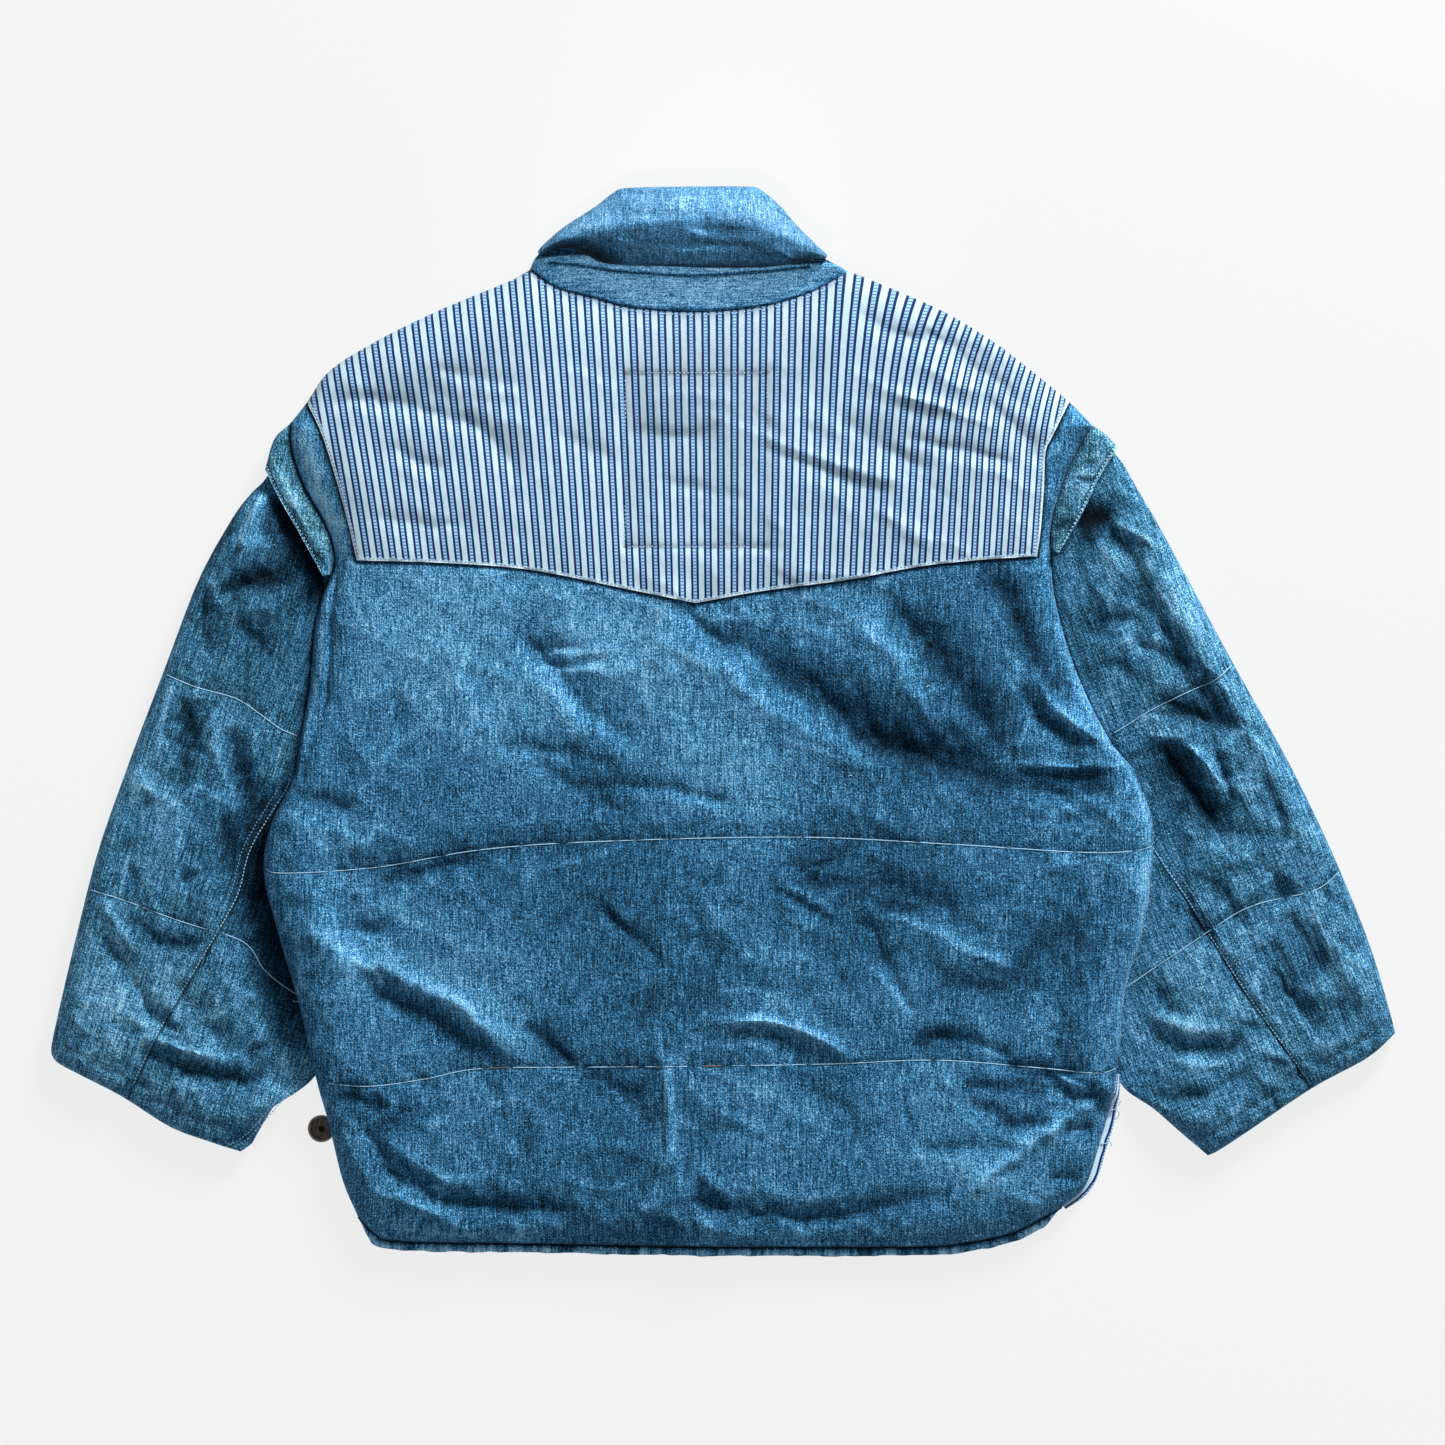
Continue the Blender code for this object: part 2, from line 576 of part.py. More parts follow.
def add_hem(body):
    """A narrow binding closes the hem of the back and of each front."""
    line = body.plan[0]
    outwards = -1
    near = moved_out(line, outwards * SEAM)
    far = moved_out(line, outwards * (SEAM + BINDING_WIDTH))
    x, y = line[:, 0], line[:, 1]
    middle = body.middle
    strip_wall("hem_binding_back", near, far, body.back_under(x, y) + SEAM, body.back_over(x, y),
               cloth("denim_binding_back", DEEP_DENIM))
    parts = {"left": slice(SLIT_COLUMNS, middle), "right": slice(middle + 1, len(line) - SLIT_COLUMNS)}
    for side, part in parts.items():
        strip_wall("hem_binding_front_" + side, near[part], far[part], np.full(len(near[part]), 0.05),
                   body.back_under(x[part], y[part]) - 0.7, cloth("denim_binding_" + side, DEEP_DENIM))


def add_vent_facing(body):
    """A ticking facing shows beyond the back's edge at the right side slit."""
    edge = body.plan[1:, -1]
    edge = along(edge[edge[:, 1] < FACING_TOP], np.linspace(0, 1, 9))
    shown = 4.0 + 2.6 * np.sin(np.linspace(0.4, 2.6, len(edge)))
    tucked = (FACING_TUCKED + SEAM) * ramp(SLIT_TOP - edge[:, 1], SLIT_FADE) - SEAM
    plan = np.stack([moved_out(edge, tucked), moved_out(edge, (tucked - shown) / 2), moved_out(edge, -shown)])
    seam = body.lift(edge[:, 0], edge[:, 1]) + FRONT_EDGE + 2 * SEAM - FACING_CLOTH
    under = np.stack([seam * share for share in (1.0, 0.8, 0.3)])
    add_wall("vent_facing_right", with_height(plan, under + FACING_CLOTH), with_height(plan, under),
             cloth("ticking_facing", TICKING))


# Flattened tubes: sleeves, caps and collar

def ring_side(w):
    """Place across a flattened tube and which layer it is on; w runs 0 to 1 above and 1 to 2 below."""
    w = np.mod(w, 2)
    return np.where(w <= 1, w, 2 - w), w <= 1


class SleeveForm:
    """Plan and heights of one sleeve, from its head to its cuff."""

    def __init__(self, shape, head, cap_lower, side):
        self.shape = shape
        self.head = head
        self.outer, self.inner = smooth(shape.outer), smooth(shape.inner)
        self.outer[0], self.inner[0] = head[0], head[-1]
        self.quilting = [smooth(shape.upper_quilt), smooth(shape.lower_quilt)]
        self.row_lines = [shape.upper_quilt[:-2], shape.lower_quilt[:-1]]
        self.cuff = smooth(shape.cuff)
        self.seam = smooth(shape.seam)
        self.cap_lower = cap_lower
        self.side = side

    def band_lines(self):
        """The three bands of the sleeve as lines across and stretches of both edges."""
        outer_at = [nearest_index(self.outer, 1, line[0][1]) for line in self.row_lines]
        inner_at = [nearest_index(self.inner, 1, y) for y in self.shape.quilt_ends]
        lines = [self.head]
        for line, start, end in zip(self.row_lines, outer_at, inner_at):
            lines.append(smooth([tuple(self.outer[start])] + line[1:] + [tuple(self.inner[end])]))
        lines.append(self.cuff)
        return lines, [0] + outer_at + [len(self.outer) - 1], [0] + inner_at + [len(self.inner) - 1]

    def plan(self, places):
        """Plan points for a table of places across, with a line for each row of the sleeve."""
        lines, outer_at, inner_at = self.band_lines()
        rows = []
        for band, count in enumerate(SLEEVE_ROWS):
            for t in eased(count)[1 if band else 0:]:
                row = patch(lines[band], lines[band + 1],
                            self.outer[outer_at[band]:outer_at[band + 1] + 1],
                            self.inner[inner_at[band]:inner_at[band + 1] + 1], places[len(rows)], np.array([t]))
                rows.append(row[0])
        return np.array(rows)

    def seam_places(self):
        """Where the long seam crosses each row, as a share of the way across."""
        across = np.linspace(0, 1, 161)
        rows = self.plan([across] * (sum(SLEEVE_ROWS) + 1))
        gaps = distance_to(rows[..., 0], rows[..., 1], self.seam)
        return np.minimum(across[np.argmin(gaps, axis=1)], SEAM_FURTHEST)

    def height(self, x, y):
        """Full height of the stuffed sleeve over its underside."""
        from_head = distance_to(x, y, self.head)
        from_cuff = distance_to(x, y, self.cuff)
        grown = SLEEVE_HEAD_HEIGHT + (SLEEVE_HEIGHT - SLEEVE_HEAD_HEIGHT) * ramp(from_head, HEAD_REACH)
        ended = SLEEVE_CUFF_HEIGHT + (SLEEVE_HEIGHT - SLEEVE_CUFF_HEIGHT) * bulge(from_cuff, CUFF_REACH)
        beyond_body = (x - self.body_side(y)) * self.side
        tucked = SLEEVE_TUCKED + (SLEEVE_HEIGHT - SLEEVE_TUCKED) * ramp(beyond_body - TUCK_MARGIN, TUCK_RUN)
        above_cuff = ramp(y - (self.inner[:, 1].min() + 30), 30)
        below_head = 1 - ramp(y + 30, 40)
        tucked = SLEEVE_HEIGHT + (tucked - SLEEVE_HEIGHT) * above_cuff * below_head
        return np.minimum(np.minimum(grown, ended), tucked)

    def body_side(self, y):
        line = smooth(LEFT_SIDE if self.side < 0 else RIGHT_SIDE)
        return np.interp(y, line[:, 1], line[:, 0])

    def underside(self, x, y):
        """The sleeve rests on the cap's lower layer near the shoulder tip."""
        from_head = distance_to(x, y, self.head)
        near_head = 1 - ramp(from_head - CAP_LIFT_REACH, CAP_LIFT_RUN)
        return CAP_LIFT * near_head * ramp(y - (self.cap_lower - CAP_BELOW), 22)

    def surfaces(self, plan, w, inside):
        """Outer or inner points of the tube at ring places w."""
        x, y = plan[..., 0], plan[..., 1]
        _, above = ring_side(w)
        low = self.underside(x, y)
        height = self.height(x, y)
        side_gap = np.minimum(distance_to(x, y, self.outer), distance_to(x, y, self.inner))
        level = low + UNDER_SHARE * (height - low)
        slack = SLEEVE_SLACK * (height - low) / SLEEVE_HEIGHT * bulge(side_gap - SLEEVE_SIDE_WALL, 24)
        if inside:
            return with_height(plan, np.where(above, level + slack, level))
        rise = bulge(side_gap, SLEEVE_SIDE_REACH)
        shaped = relief(x, y, self.quilting, self.shape.folds) * ramp(side_gap, 20) * ramp(height - 8, 8)
        over = low + (height - low) * (SIDE_LEVEL + (1 - SIDE_LEVEL) * rise) + shaped
        over = np.where(rise > 0.9, np.maximum(over, np.minimum(level + slack + LEAST_WALL, height)), over)
        under = low + (height - low) * SIDE_LEVEL * (1 - bulge(side_gap, SLEEVE_UNDER_REACH))
        return with_height(plan, np.where(above, over, under))

    def add_piece(self, name, ring_of_row, material):
        """One cut piece of the sleeve, between two ring places on each row."""
        count = sum(SLEEVE_ROWS) + 1
        rings = np.array([ring_of_row(k) for k in range(count)])
        places, _ = ring_side(rings)
        sides = self.plan(np.tile([0.0, 1.0], (count, 1)))
        width = np.hypot(*(sides[:, 1] - sides[:, 0]).T)
        inset = np.clip(SLEEVE_SIDE_WALL / np.maximum(width, 40), 0, 0.2)[:, None]
        rows = halved(count)
        inner_plan = self.plan(inset + places * (1 - 2 * inset))[rows]
        outer = self.surfaces(self.plan(places), rings, False)
        inner = self.surfaces(inner_plan, rings[rows], True)
        add_wall(name, outer, inner, material, rows=rows)


def add_sleeve(body, name, shape, edge, side, cap_lower):
    """A two-piece sleeve: the outer piece and the narrower under piece."""
    underarm = nearest_index(edge, 1, shape.inner[0][1])
    last = len(edge) - 2
    head = moved_out(edge[underarm:last + 1], -side * ARMHOLE_SEAM)[::-1]
    fine = shares(head)
    shared_rows = {underarm, last} | {k for k in halved(len(edge)) if underarm < k < last}
    coarse = fine[sorted(last - k for k in shared_rows)]
    form = SleeveForm(shape, head, cap_lower, side)
    count = sum(SLEEVE_ROWS)
    seam_at = form.seam_places()
    stations = np.linspace(0, count, len(shape.under_seam))
    under_at = np.interp(np.arange(count + 1), stations, shape.under_seam)
    under_at[0] = 2 - coarse[-2]
    gap = SEAM / 2 / SLEEVE_WIDTH

    def outer_ring(k):
        below = (2 - under_at[k] - gap) * coarse[1:-1] / coarse[-2]
        above = fine[:-1] if k == 0 else fine[:-1] * seam_at[k]
        return np.concatenate([-below[::-1], above, [seam_at[k] - gap]])

    def under_ring(k):
        return np.linspace(seam_at[k] + gap, under_at[k] - gap, UNDER_COLUMNS)

    form.add_piece("sleeve_%s_outer" % name, outer_ring, cloth("denim_sleeve_" + name, MID_DENIM))
    form.add_piece("sleeve_%s_under" % name, under_ring, cloth("denim_under_" + name, MID_DENIM))
    return head


def add_cap(name, shape, head):
    """A shoulder cap wraps over the sleeve head, above and below it."""
    lower = nearest_index(head, 1, shape.lower_y)
    tip = head[0] + (head[0] - head[1]) * 0.75
    seam_side = np.vstack([tip, head[:lower + 1]])
    fold = smooth([tuple(tip)] + shape.fold)
    rim = smooth(shape.rim)
    end = np.array([seam_side[-1], rim[-1]])
    length = length_of(seam_side)
    places = np.insert(shares(seam_side), 1, CAP_TURN / length)
    across = np.linspace(0, 1, 5)
    plan_back = patch(seam_side, rim, fold, end, places, across)
    inset = CAP_UNDER_CLOTH / length
    squeezed = inset + places * (1 - inset)
    plan_inside = patch(seam_side, rim, fold, end, squeezed, across)
    t = across[:, None]
    turn = bulge(places * length, 2 * CAP_TURN)[None]
    open_inside = np.clip(places * length / CAP_TURN, 0, 1)[None]
    high = CAP_SEAM_HEIGHT + (CAP_RIM_HEIGHT - CAP_SEAM_HEIGHT) * t
    middle = 0.45 * high
    over = middle + (high - middle) * turn
    under = middle * (1 - turn)
    closed = (CAP_UNDER_CLOTH + 1.4) * (1 - open_inside)
    inside_over = (high - CAP_CLOTH) * open_inside + closed
    inside_under = CAP_UNDER_CLOTH * open_inside + closed
    outer = np.concatenate([with_height(plan_back, under)[:, :0:-1], with_height(plan_back, over)], axis=1)
    inner = np.concatenate([with_height(plan_inside, inside_under)[:, :0:-1],
                            with_height(plan_inside, inside_over)], axis=1)
    add_wall("cap_" + name, outer, inner, cloth("denim_cap_" + name, CAP_DENIM))


def collar_ring(count):
    """Ring places of the collar: open at the centre front, round both ends, across the back."""
    back = np.linspace(0, 1, count + 1)
    half = np.linspace(0, 0.5 - FRONT_OPENING, count // 2 + 1)[1:]
    return np.concatenate([-half[::-1], back, 1 + half])


def add_collar_band(body):
    """The band stands between the neck seam and the fall."""
    top_row = body.plan[-1]
    first = BODY_COLUMNS[0] + BODY_COLUMNS[1]
    neck = moved_out(top_row[first:first + BODY_COLUMNS[2] + 1], SEAM + 0.1)
    top = smooth(BAND_TOP)
    back = shares(neck)
    half = back[back <= 0.5 - FRONT_OPENING]
    rings = np.concatenate([-half[:0:-1], back, 2 - back[back >= 0.5 + FRONT_OPENING][-2::-1]])
    places, above = ring_side(rings)
    t = np.linspace(0, 1, 6)
    left, right = np.array([neck[0], top[0]]), np.array([neck[-1], top[-1]])
    plan = patch(neck, top, left, right, places, t)
    inset = 0.018
    inside = patch(neck, top, left, right, inset + places * (1 - 2 * inset), t)
    up = ramp(t, 0.7)[:, None]
    turn = bulge(np.minimum(places, 1 - places), 0.04)[None]
    high = BAND_LOW + (BAND_HIGH - BAND_LOW) * up
    low = BAND_FRONT_LIFT * up
    middle = (high + low) / 2
    half_height = (high - low) / 2
    facing = np.where(above, 1, -1)
    outer_z = middle + facing * half_height * (0.4 + 0.6 * turn)
    inner_z = middle + facing * (half_height - BAND_CLOTH) * turn
    add_wall("collar_band", with_height(plan, outer_z), with_height(inside, inner_z),
             cloth("denim_collar_band", LIGHT_DENIM))


def add_collar_fall():
    """The fall is a thick padded roll at the back of the neck and a flat leaf in front."""
    free, top = smooth(FALL_FREE), smooth(FALL_TOP)
    places, above = ring_side(collar_ring(COLLAR_COLUMNS))
    t = np.array([0, 0.1, 0.24, 0.4, 0.58, 0.76, 0.9, 1.0])
    left, right = np.array([free[0], top[0]]), np.array([free[-1], top[-1]])
    plan = patch(free, top, left, right, places, t)
    inset = 0.03
    inside = patch(free, top, left, right, inset + places * (1 - 2 * inset), t)

    def heights(points, from_inside):
        x, y = points[..., 0], points[..., 1]
        from_free, from_top = distance_to(x, y, free), distance_to(x, y, top)
        if from_inside:
            opened = ramp(from_top, 24)
            low, high = (closed + (wide - closed) * opened for closed, wide in zip(FALL_CLOSED, FALL_OPEN))
            return np.where(above, high, low)
        over = np.minimum(FALL_LIP + (FALL_CREST - FALL_LIP) * bulge(from_free, 18),
                          FALL_RIM + (FALL_CREST - FALL_RIM) * bulge(from_top, 30))
        return np.where(above, over, 2.0 * (1 - bulge(from_top, 8)))

    rows = halved(len(t))
    outer = with_height(plan, heights(plan, False))
    inner = with_height(inside[rows], heights(inside[rows], True))
    add_wall("collar_fall", outer, inner, cloth("denim_collar_fall", LIGHT_DENIM), rows=rows)


# Buttons

def add_disc(name, centre, base, radius, thickness, sides, material):
    """A turned button with a raised rim."""
    profile = ((0.88, 0.0), (1.0, 0.5), (0.9, 1.0), (0.66, 0.75))
    angles = np.linspace(0, 2 * np.pi, sides, endpoint=False)
    points, faces = [], []
    for share, level in profile:
        for angle in angles:
            points.append((centre[0] + radius * share * np.cos(angle),
                           centre[1] + radius * share * np.sin(angle), base + thickness * level))
    for ring in range(len(profile) - 1):
        for k in range(sides):
            a, b = ring * sides + k, ring * sides + (k + 1) % sides
            faces += [(a, b, b + sides), (a, b + sides, a + sides)]
    last = (len(profile) - 1) * sides
    faces += [(0, k + 1, k) for k in range(1, sides - 1)]
    faces += [(last, last + k, last + k + 1) for k in range(1, sides - 1)]
    add_solid(name, points, faces, material)


def add_buttons(body):
    """One button shows at the left slit; five more lie under the front opening."""
    add_disc("side_button", SIDE_BUTTON_AT, 0.4, SIDE_BUTTON_RADIUS, SIDE_BUTTON_THICKNESS, 24,
             cloth("horn_side_button", HORN, 0.4))
    for number, y in enumerate(FRONT_BUTTON_HEIGHTS, start=1):
        x = np.interp(y, body.centre[:, 1], body.centre[:, 0]) + FRONT_BUTTON_RADIUS + 2
        add_disc("front_button_%d" % number, (x, y), 0.1, FRONT_BUTTON_RADIUS, FRONT_BUTTON_THICKNESS, 12,
                 cloth("horn_front_button_%d" % number, HORN, 0.4))


def main():
    for old in list(bpy.data.objects):
        bpy.data.objects.remove(old)
    body = Body()
    back_outer = add_back(body)
    add_yoke(back_outer)
    add_fronts(body)
    add_hem(body)
    add_vent_facing(body)
    left_head = add_sleeve(body, "left", LEFT_SLEEVE, body.plan[:, 0], -1, LEFT_CAP.lower_y)
    right_head = add_sleeve(body, "right", RIGHT_SLEEVE, body.plan[:, -1], 1, RIGHT_CAP.lower_y)
    add_cap("left", LEFT_CAP, left_head)
    add_cap("right", RIGHT_CAP, right_head)
    add_collar_band(body)
    add_collar_fall()
    add_buttons(body)


main()
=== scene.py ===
"""Looks of the padded denim jacket: fine cloth, folds, stitches, finishes, light and camera.

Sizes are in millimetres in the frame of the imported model, and become metres where a mesh
is made. The jacket lies on its front with its back upwards, its neck towards +Y.
"""
from collections import namedtuple

import bpy
import numpy as np
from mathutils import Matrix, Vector


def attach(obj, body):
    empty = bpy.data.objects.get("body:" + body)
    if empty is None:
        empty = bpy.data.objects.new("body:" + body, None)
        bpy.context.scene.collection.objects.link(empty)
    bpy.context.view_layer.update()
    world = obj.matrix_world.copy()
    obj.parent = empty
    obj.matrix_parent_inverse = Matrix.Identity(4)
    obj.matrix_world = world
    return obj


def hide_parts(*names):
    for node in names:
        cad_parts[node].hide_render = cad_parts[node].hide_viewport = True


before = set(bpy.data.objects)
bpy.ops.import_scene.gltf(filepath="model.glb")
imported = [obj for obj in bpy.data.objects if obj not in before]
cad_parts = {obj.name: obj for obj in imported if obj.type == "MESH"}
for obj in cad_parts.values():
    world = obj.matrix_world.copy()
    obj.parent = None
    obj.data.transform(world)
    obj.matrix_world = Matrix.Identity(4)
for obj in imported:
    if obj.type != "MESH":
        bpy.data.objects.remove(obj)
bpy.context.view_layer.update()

MM = 0.001

# Camera: straight above, with the photo's frame
PHOTO_PIXELS = 1445
PIXEL = 0.73                  # millimetres on the floor for one pixel of the photo
PHOTO_CENTRE = (-0.4, -0.7)
CAMERA_HEIGHT = 4200.0
SENSOR = 36.0

# Cloth and seams
SEAM = 0.3
ARMHOLE_SEAM = 0.12
FRONT_EDGE = 3.4
FRONT_WALL = 8.0
BACK_EDGE = 3.6
BACK_WALL = 13.5
LEAST_WALL = 3.0
HOLLOW = 2.2
PUFF_REACH = 42.0
YOKE_CLEAR = 0.35
YOKE_CLOTH = 1.25
YOKE_SUNK = 0.8               # the back is this much lower under the yoke
BINDING_WIDTH = 6.4
FACING_CLOTH = 1.2

# Sleeves
SLEEVE_WIDTH = 150.0
SLEEVE_HEIGHT = 22.0
SLEEVE_HEAD_HEIGHT = 7.4
SLEEVE_CUFF_HEIGHT = 9.5
SLEEVE_TUCKED = 8.4
HEAD_REACH = 75.0
CUFF_REACH = 46.0
SLEEVE_SIDE_REACH = 17.0
SLEEVE_SLACK = 1.4
SLEEVE_SIDE_WALL = 7.0
SLEEVE_UNDER_REACH = 9.0
TUCK_MARGIN = 9.0
TUCK_RUN = 42.0
SEAM_FURTHEST = 0.975
UNDER_SHARE = 0.33
SIDE_LEVEL = 0.4

# The body is held up where it lies on a sleeve
BODY_LIFT = 9.9
LIFT_MARGIN = 8.0
LIFT_RUN = 34.0
LIFT_TOP = {-1: 20.0, 1: 34.0}
LIFT_BOTTOM = {-1: -318.0, 1: -322.0}
LIFT_FADE = 40.0

# Shoulder caps
CAP_CLOTH = 3.2
CAP_UNDER_CLOTH = 2.5
CAP_TURN = 3.0
CAP_SEAM_HEIGHT = 11.6
CAP_RIM_HEIGHT = 17.4
CAP_LIFT = 3.2
CAP_LIFT_REACH = 46.0
CAP_LIFT_RUN = 26.0
CAP_BELOW = 40.0
CAP_STITCHED = 0.93           # place of its stitched line, as a share of the way to the rim

# Collar
BAND_CLOTH = 2.9
BAND_LOW = 9.4
BAND_HIGH = 13.6
BAND_FRONT_LIFT = 4.5
BAND_INSET = 0.018            # how far the inner face stays from each end, as a share of the width
FALL_INSET = 0.03
FALL_LIP = 16.0
FALL_CREST = 36.5
FALL_RIM = 11.0
FALL_CLOSED = (8.3, 8.9)
FALL_OPEN = (4.0, 14.3)
FRONT_OPENING = 0.04

# Buttons and slits
SIDE_BUTTON_AT = (-293.0, -297.0)
Button = namedtuple("Button", "base radius thickness")
SIDE_BUTTON = Button(0.4, 10.0, 3.6)
FRONT_BUTTON = Button(0.1, 9.5, 2.4)
THREAD_SEAT = 0.72            # how high the thread lies in a button, as a share of its thickness
FRONT_BUTTON_HEIGHTS = (235.0, 125.0, 15.0, -95.0, -205.0)
CHANNEL_HEIGHT = 3.4
CHANNEL_HALF_WIDTH = 26.0
CHANNEL_RUN = 22.0
SLIT_INSET = 9.0
SLIT_TOP = -268.0
SLIT_REACH = 60.0
SLIT_DROP = 1.2
SLIT_FADE = 14.0
SLIT_SHARE = 0.062            # the fronts' hems leave out this share of the back's at each side
FACING_TOP = -256.0
FACING_TUCKED = 5.0
FACING_WARP = -24.3           # place across the ticking's warp at the facing's seam
FACING_SPREAD = 12.0          # and how much further it is at the facing's other edge

# Grid sizes
BODY_COLUMNS = (40, 54, 92, 54, 40)
BODY_ROWS = (54, 68, 88, 90)
COARSE = 6                    # hidden inner faces use every sixth line of the grid
FRONT_STEP = 4
YOKE_BAND = 3
SLEEVE_ROWS = (74, 90, 64)
SLEEVE_TOP_COLUMNS = 100
SLEEVE_BELOW_COLUMNS = 22
UNDER_COLUMNS = 66
COLLAR_COLUMNS = 150

# Outlines of the body, from the hem up to the shoulder tips
LEFT_SIDE = [(-266, -361), (-277, -335), (-287, -295), (-299, -247), (-309, -203), (-323, -156),
             (-334, -110), (-329, -76), (-317, -52), (-311.5, -39)]
LEFT_ARMHOLE = [(-311.5, -39), (-307, -11), (-301, 30), (-298, 65), (-292, 91), (-284, 112),
                (-284, 126), (-291, 146), (-306, 172), (-315, 200), (-315.5, 217)]
RIGHT_SIDE = [(247, -354), (264, -338), (274, -309), (283, -276), (288, -240), (292, -196),
              (303, -162), (311, -119), (312, -72), (298, -34)]
RIGHT_ARMHOLE = [(298, -34), (280, -12), (258, 35), (243, 84), (239, 118), (240, 147),
                 (252, 184), (269, 216)]

# Lines across the body, as in the part's source
Across = namedtuple("Across", "left_y right_y stretches columns_x")
HEM = Across(-361, -354,
             [[(-254, -373), (-235, -379), (-129, -381), (-2, -383), (139, -383), (177, -380), (213, -372)]],
             (-215, -95, 75, 190))
LOWER_QUILT = Across(-261, -251,
                     [[(-259, -265), (-218, -260), (-174, -252), (-85, -251), (66, -249), (153, -246),
                       (223, -251), (271, -255)]],
                     (-235, -100, 80, 212))
UPPER_QUILT = Across(-107, -92,
                     [[(-319, -110), (-252, -106), (-174, -93), (-85, -87), (53, -84), (162, -89),
                       (259, -95), (296, -94)]],
                     (-258, -108, 86, 228))
YOKE_EDGE = Across(118, 118,
                   [[(-266, 117), (-201, 115), (-139, 110), (-69, 96), (-20, 86)],
                    [(-20, 86), (30, 95), (91, 103), (153, 114), (228, 120)]],
                   (-266, -115, 90, 228))
SHOULDERS = Across(217, 216,
                   [[(-303, 233), (-286, 256), (-251, 278), (-206, 300), (-153, 322), (-141, 329)],
                    [(-141, 329), (-122, 316), (-93, 308), (-66, 301), (-19, 298), (27, 302), (65, 313),
                     (91, 328)],
                    [(91, 328), (107, 322), (158, 300), (195, 278), (223, 257), (252, 233)]],
                   (-303, -141, 91, 252))
BODY_LINES = [HEM, LOWER_QUILT, UPPER_QUILT, YOKE_EDGE, SHOULDERS]
YOKE_LEFT = [(-266, 117), (-272, 143), (-280, 173), (-291, 208), (-303, 233)]
YOKE_RIGHT = [(228, 120), (231, 141), (233, 170), (234, 195), (239, 207), (252, 233)]

# A crease is raised, or sunk where its height is below 0. Its two reaches are to its left
# and right, seen along its line.
Crease = namedtuple("Crease", "height left right line")


def folds(*rows):
    """Creases from rows of a height, a left and a right reach and a line."""
    return [Crease(*row) for row in rows]


def thin_folds(*rows):
    """Crisp thin creases from rows of a height and a line."""
    return [Crease(height, *FINE_REACHES, line) for height, line in rows]


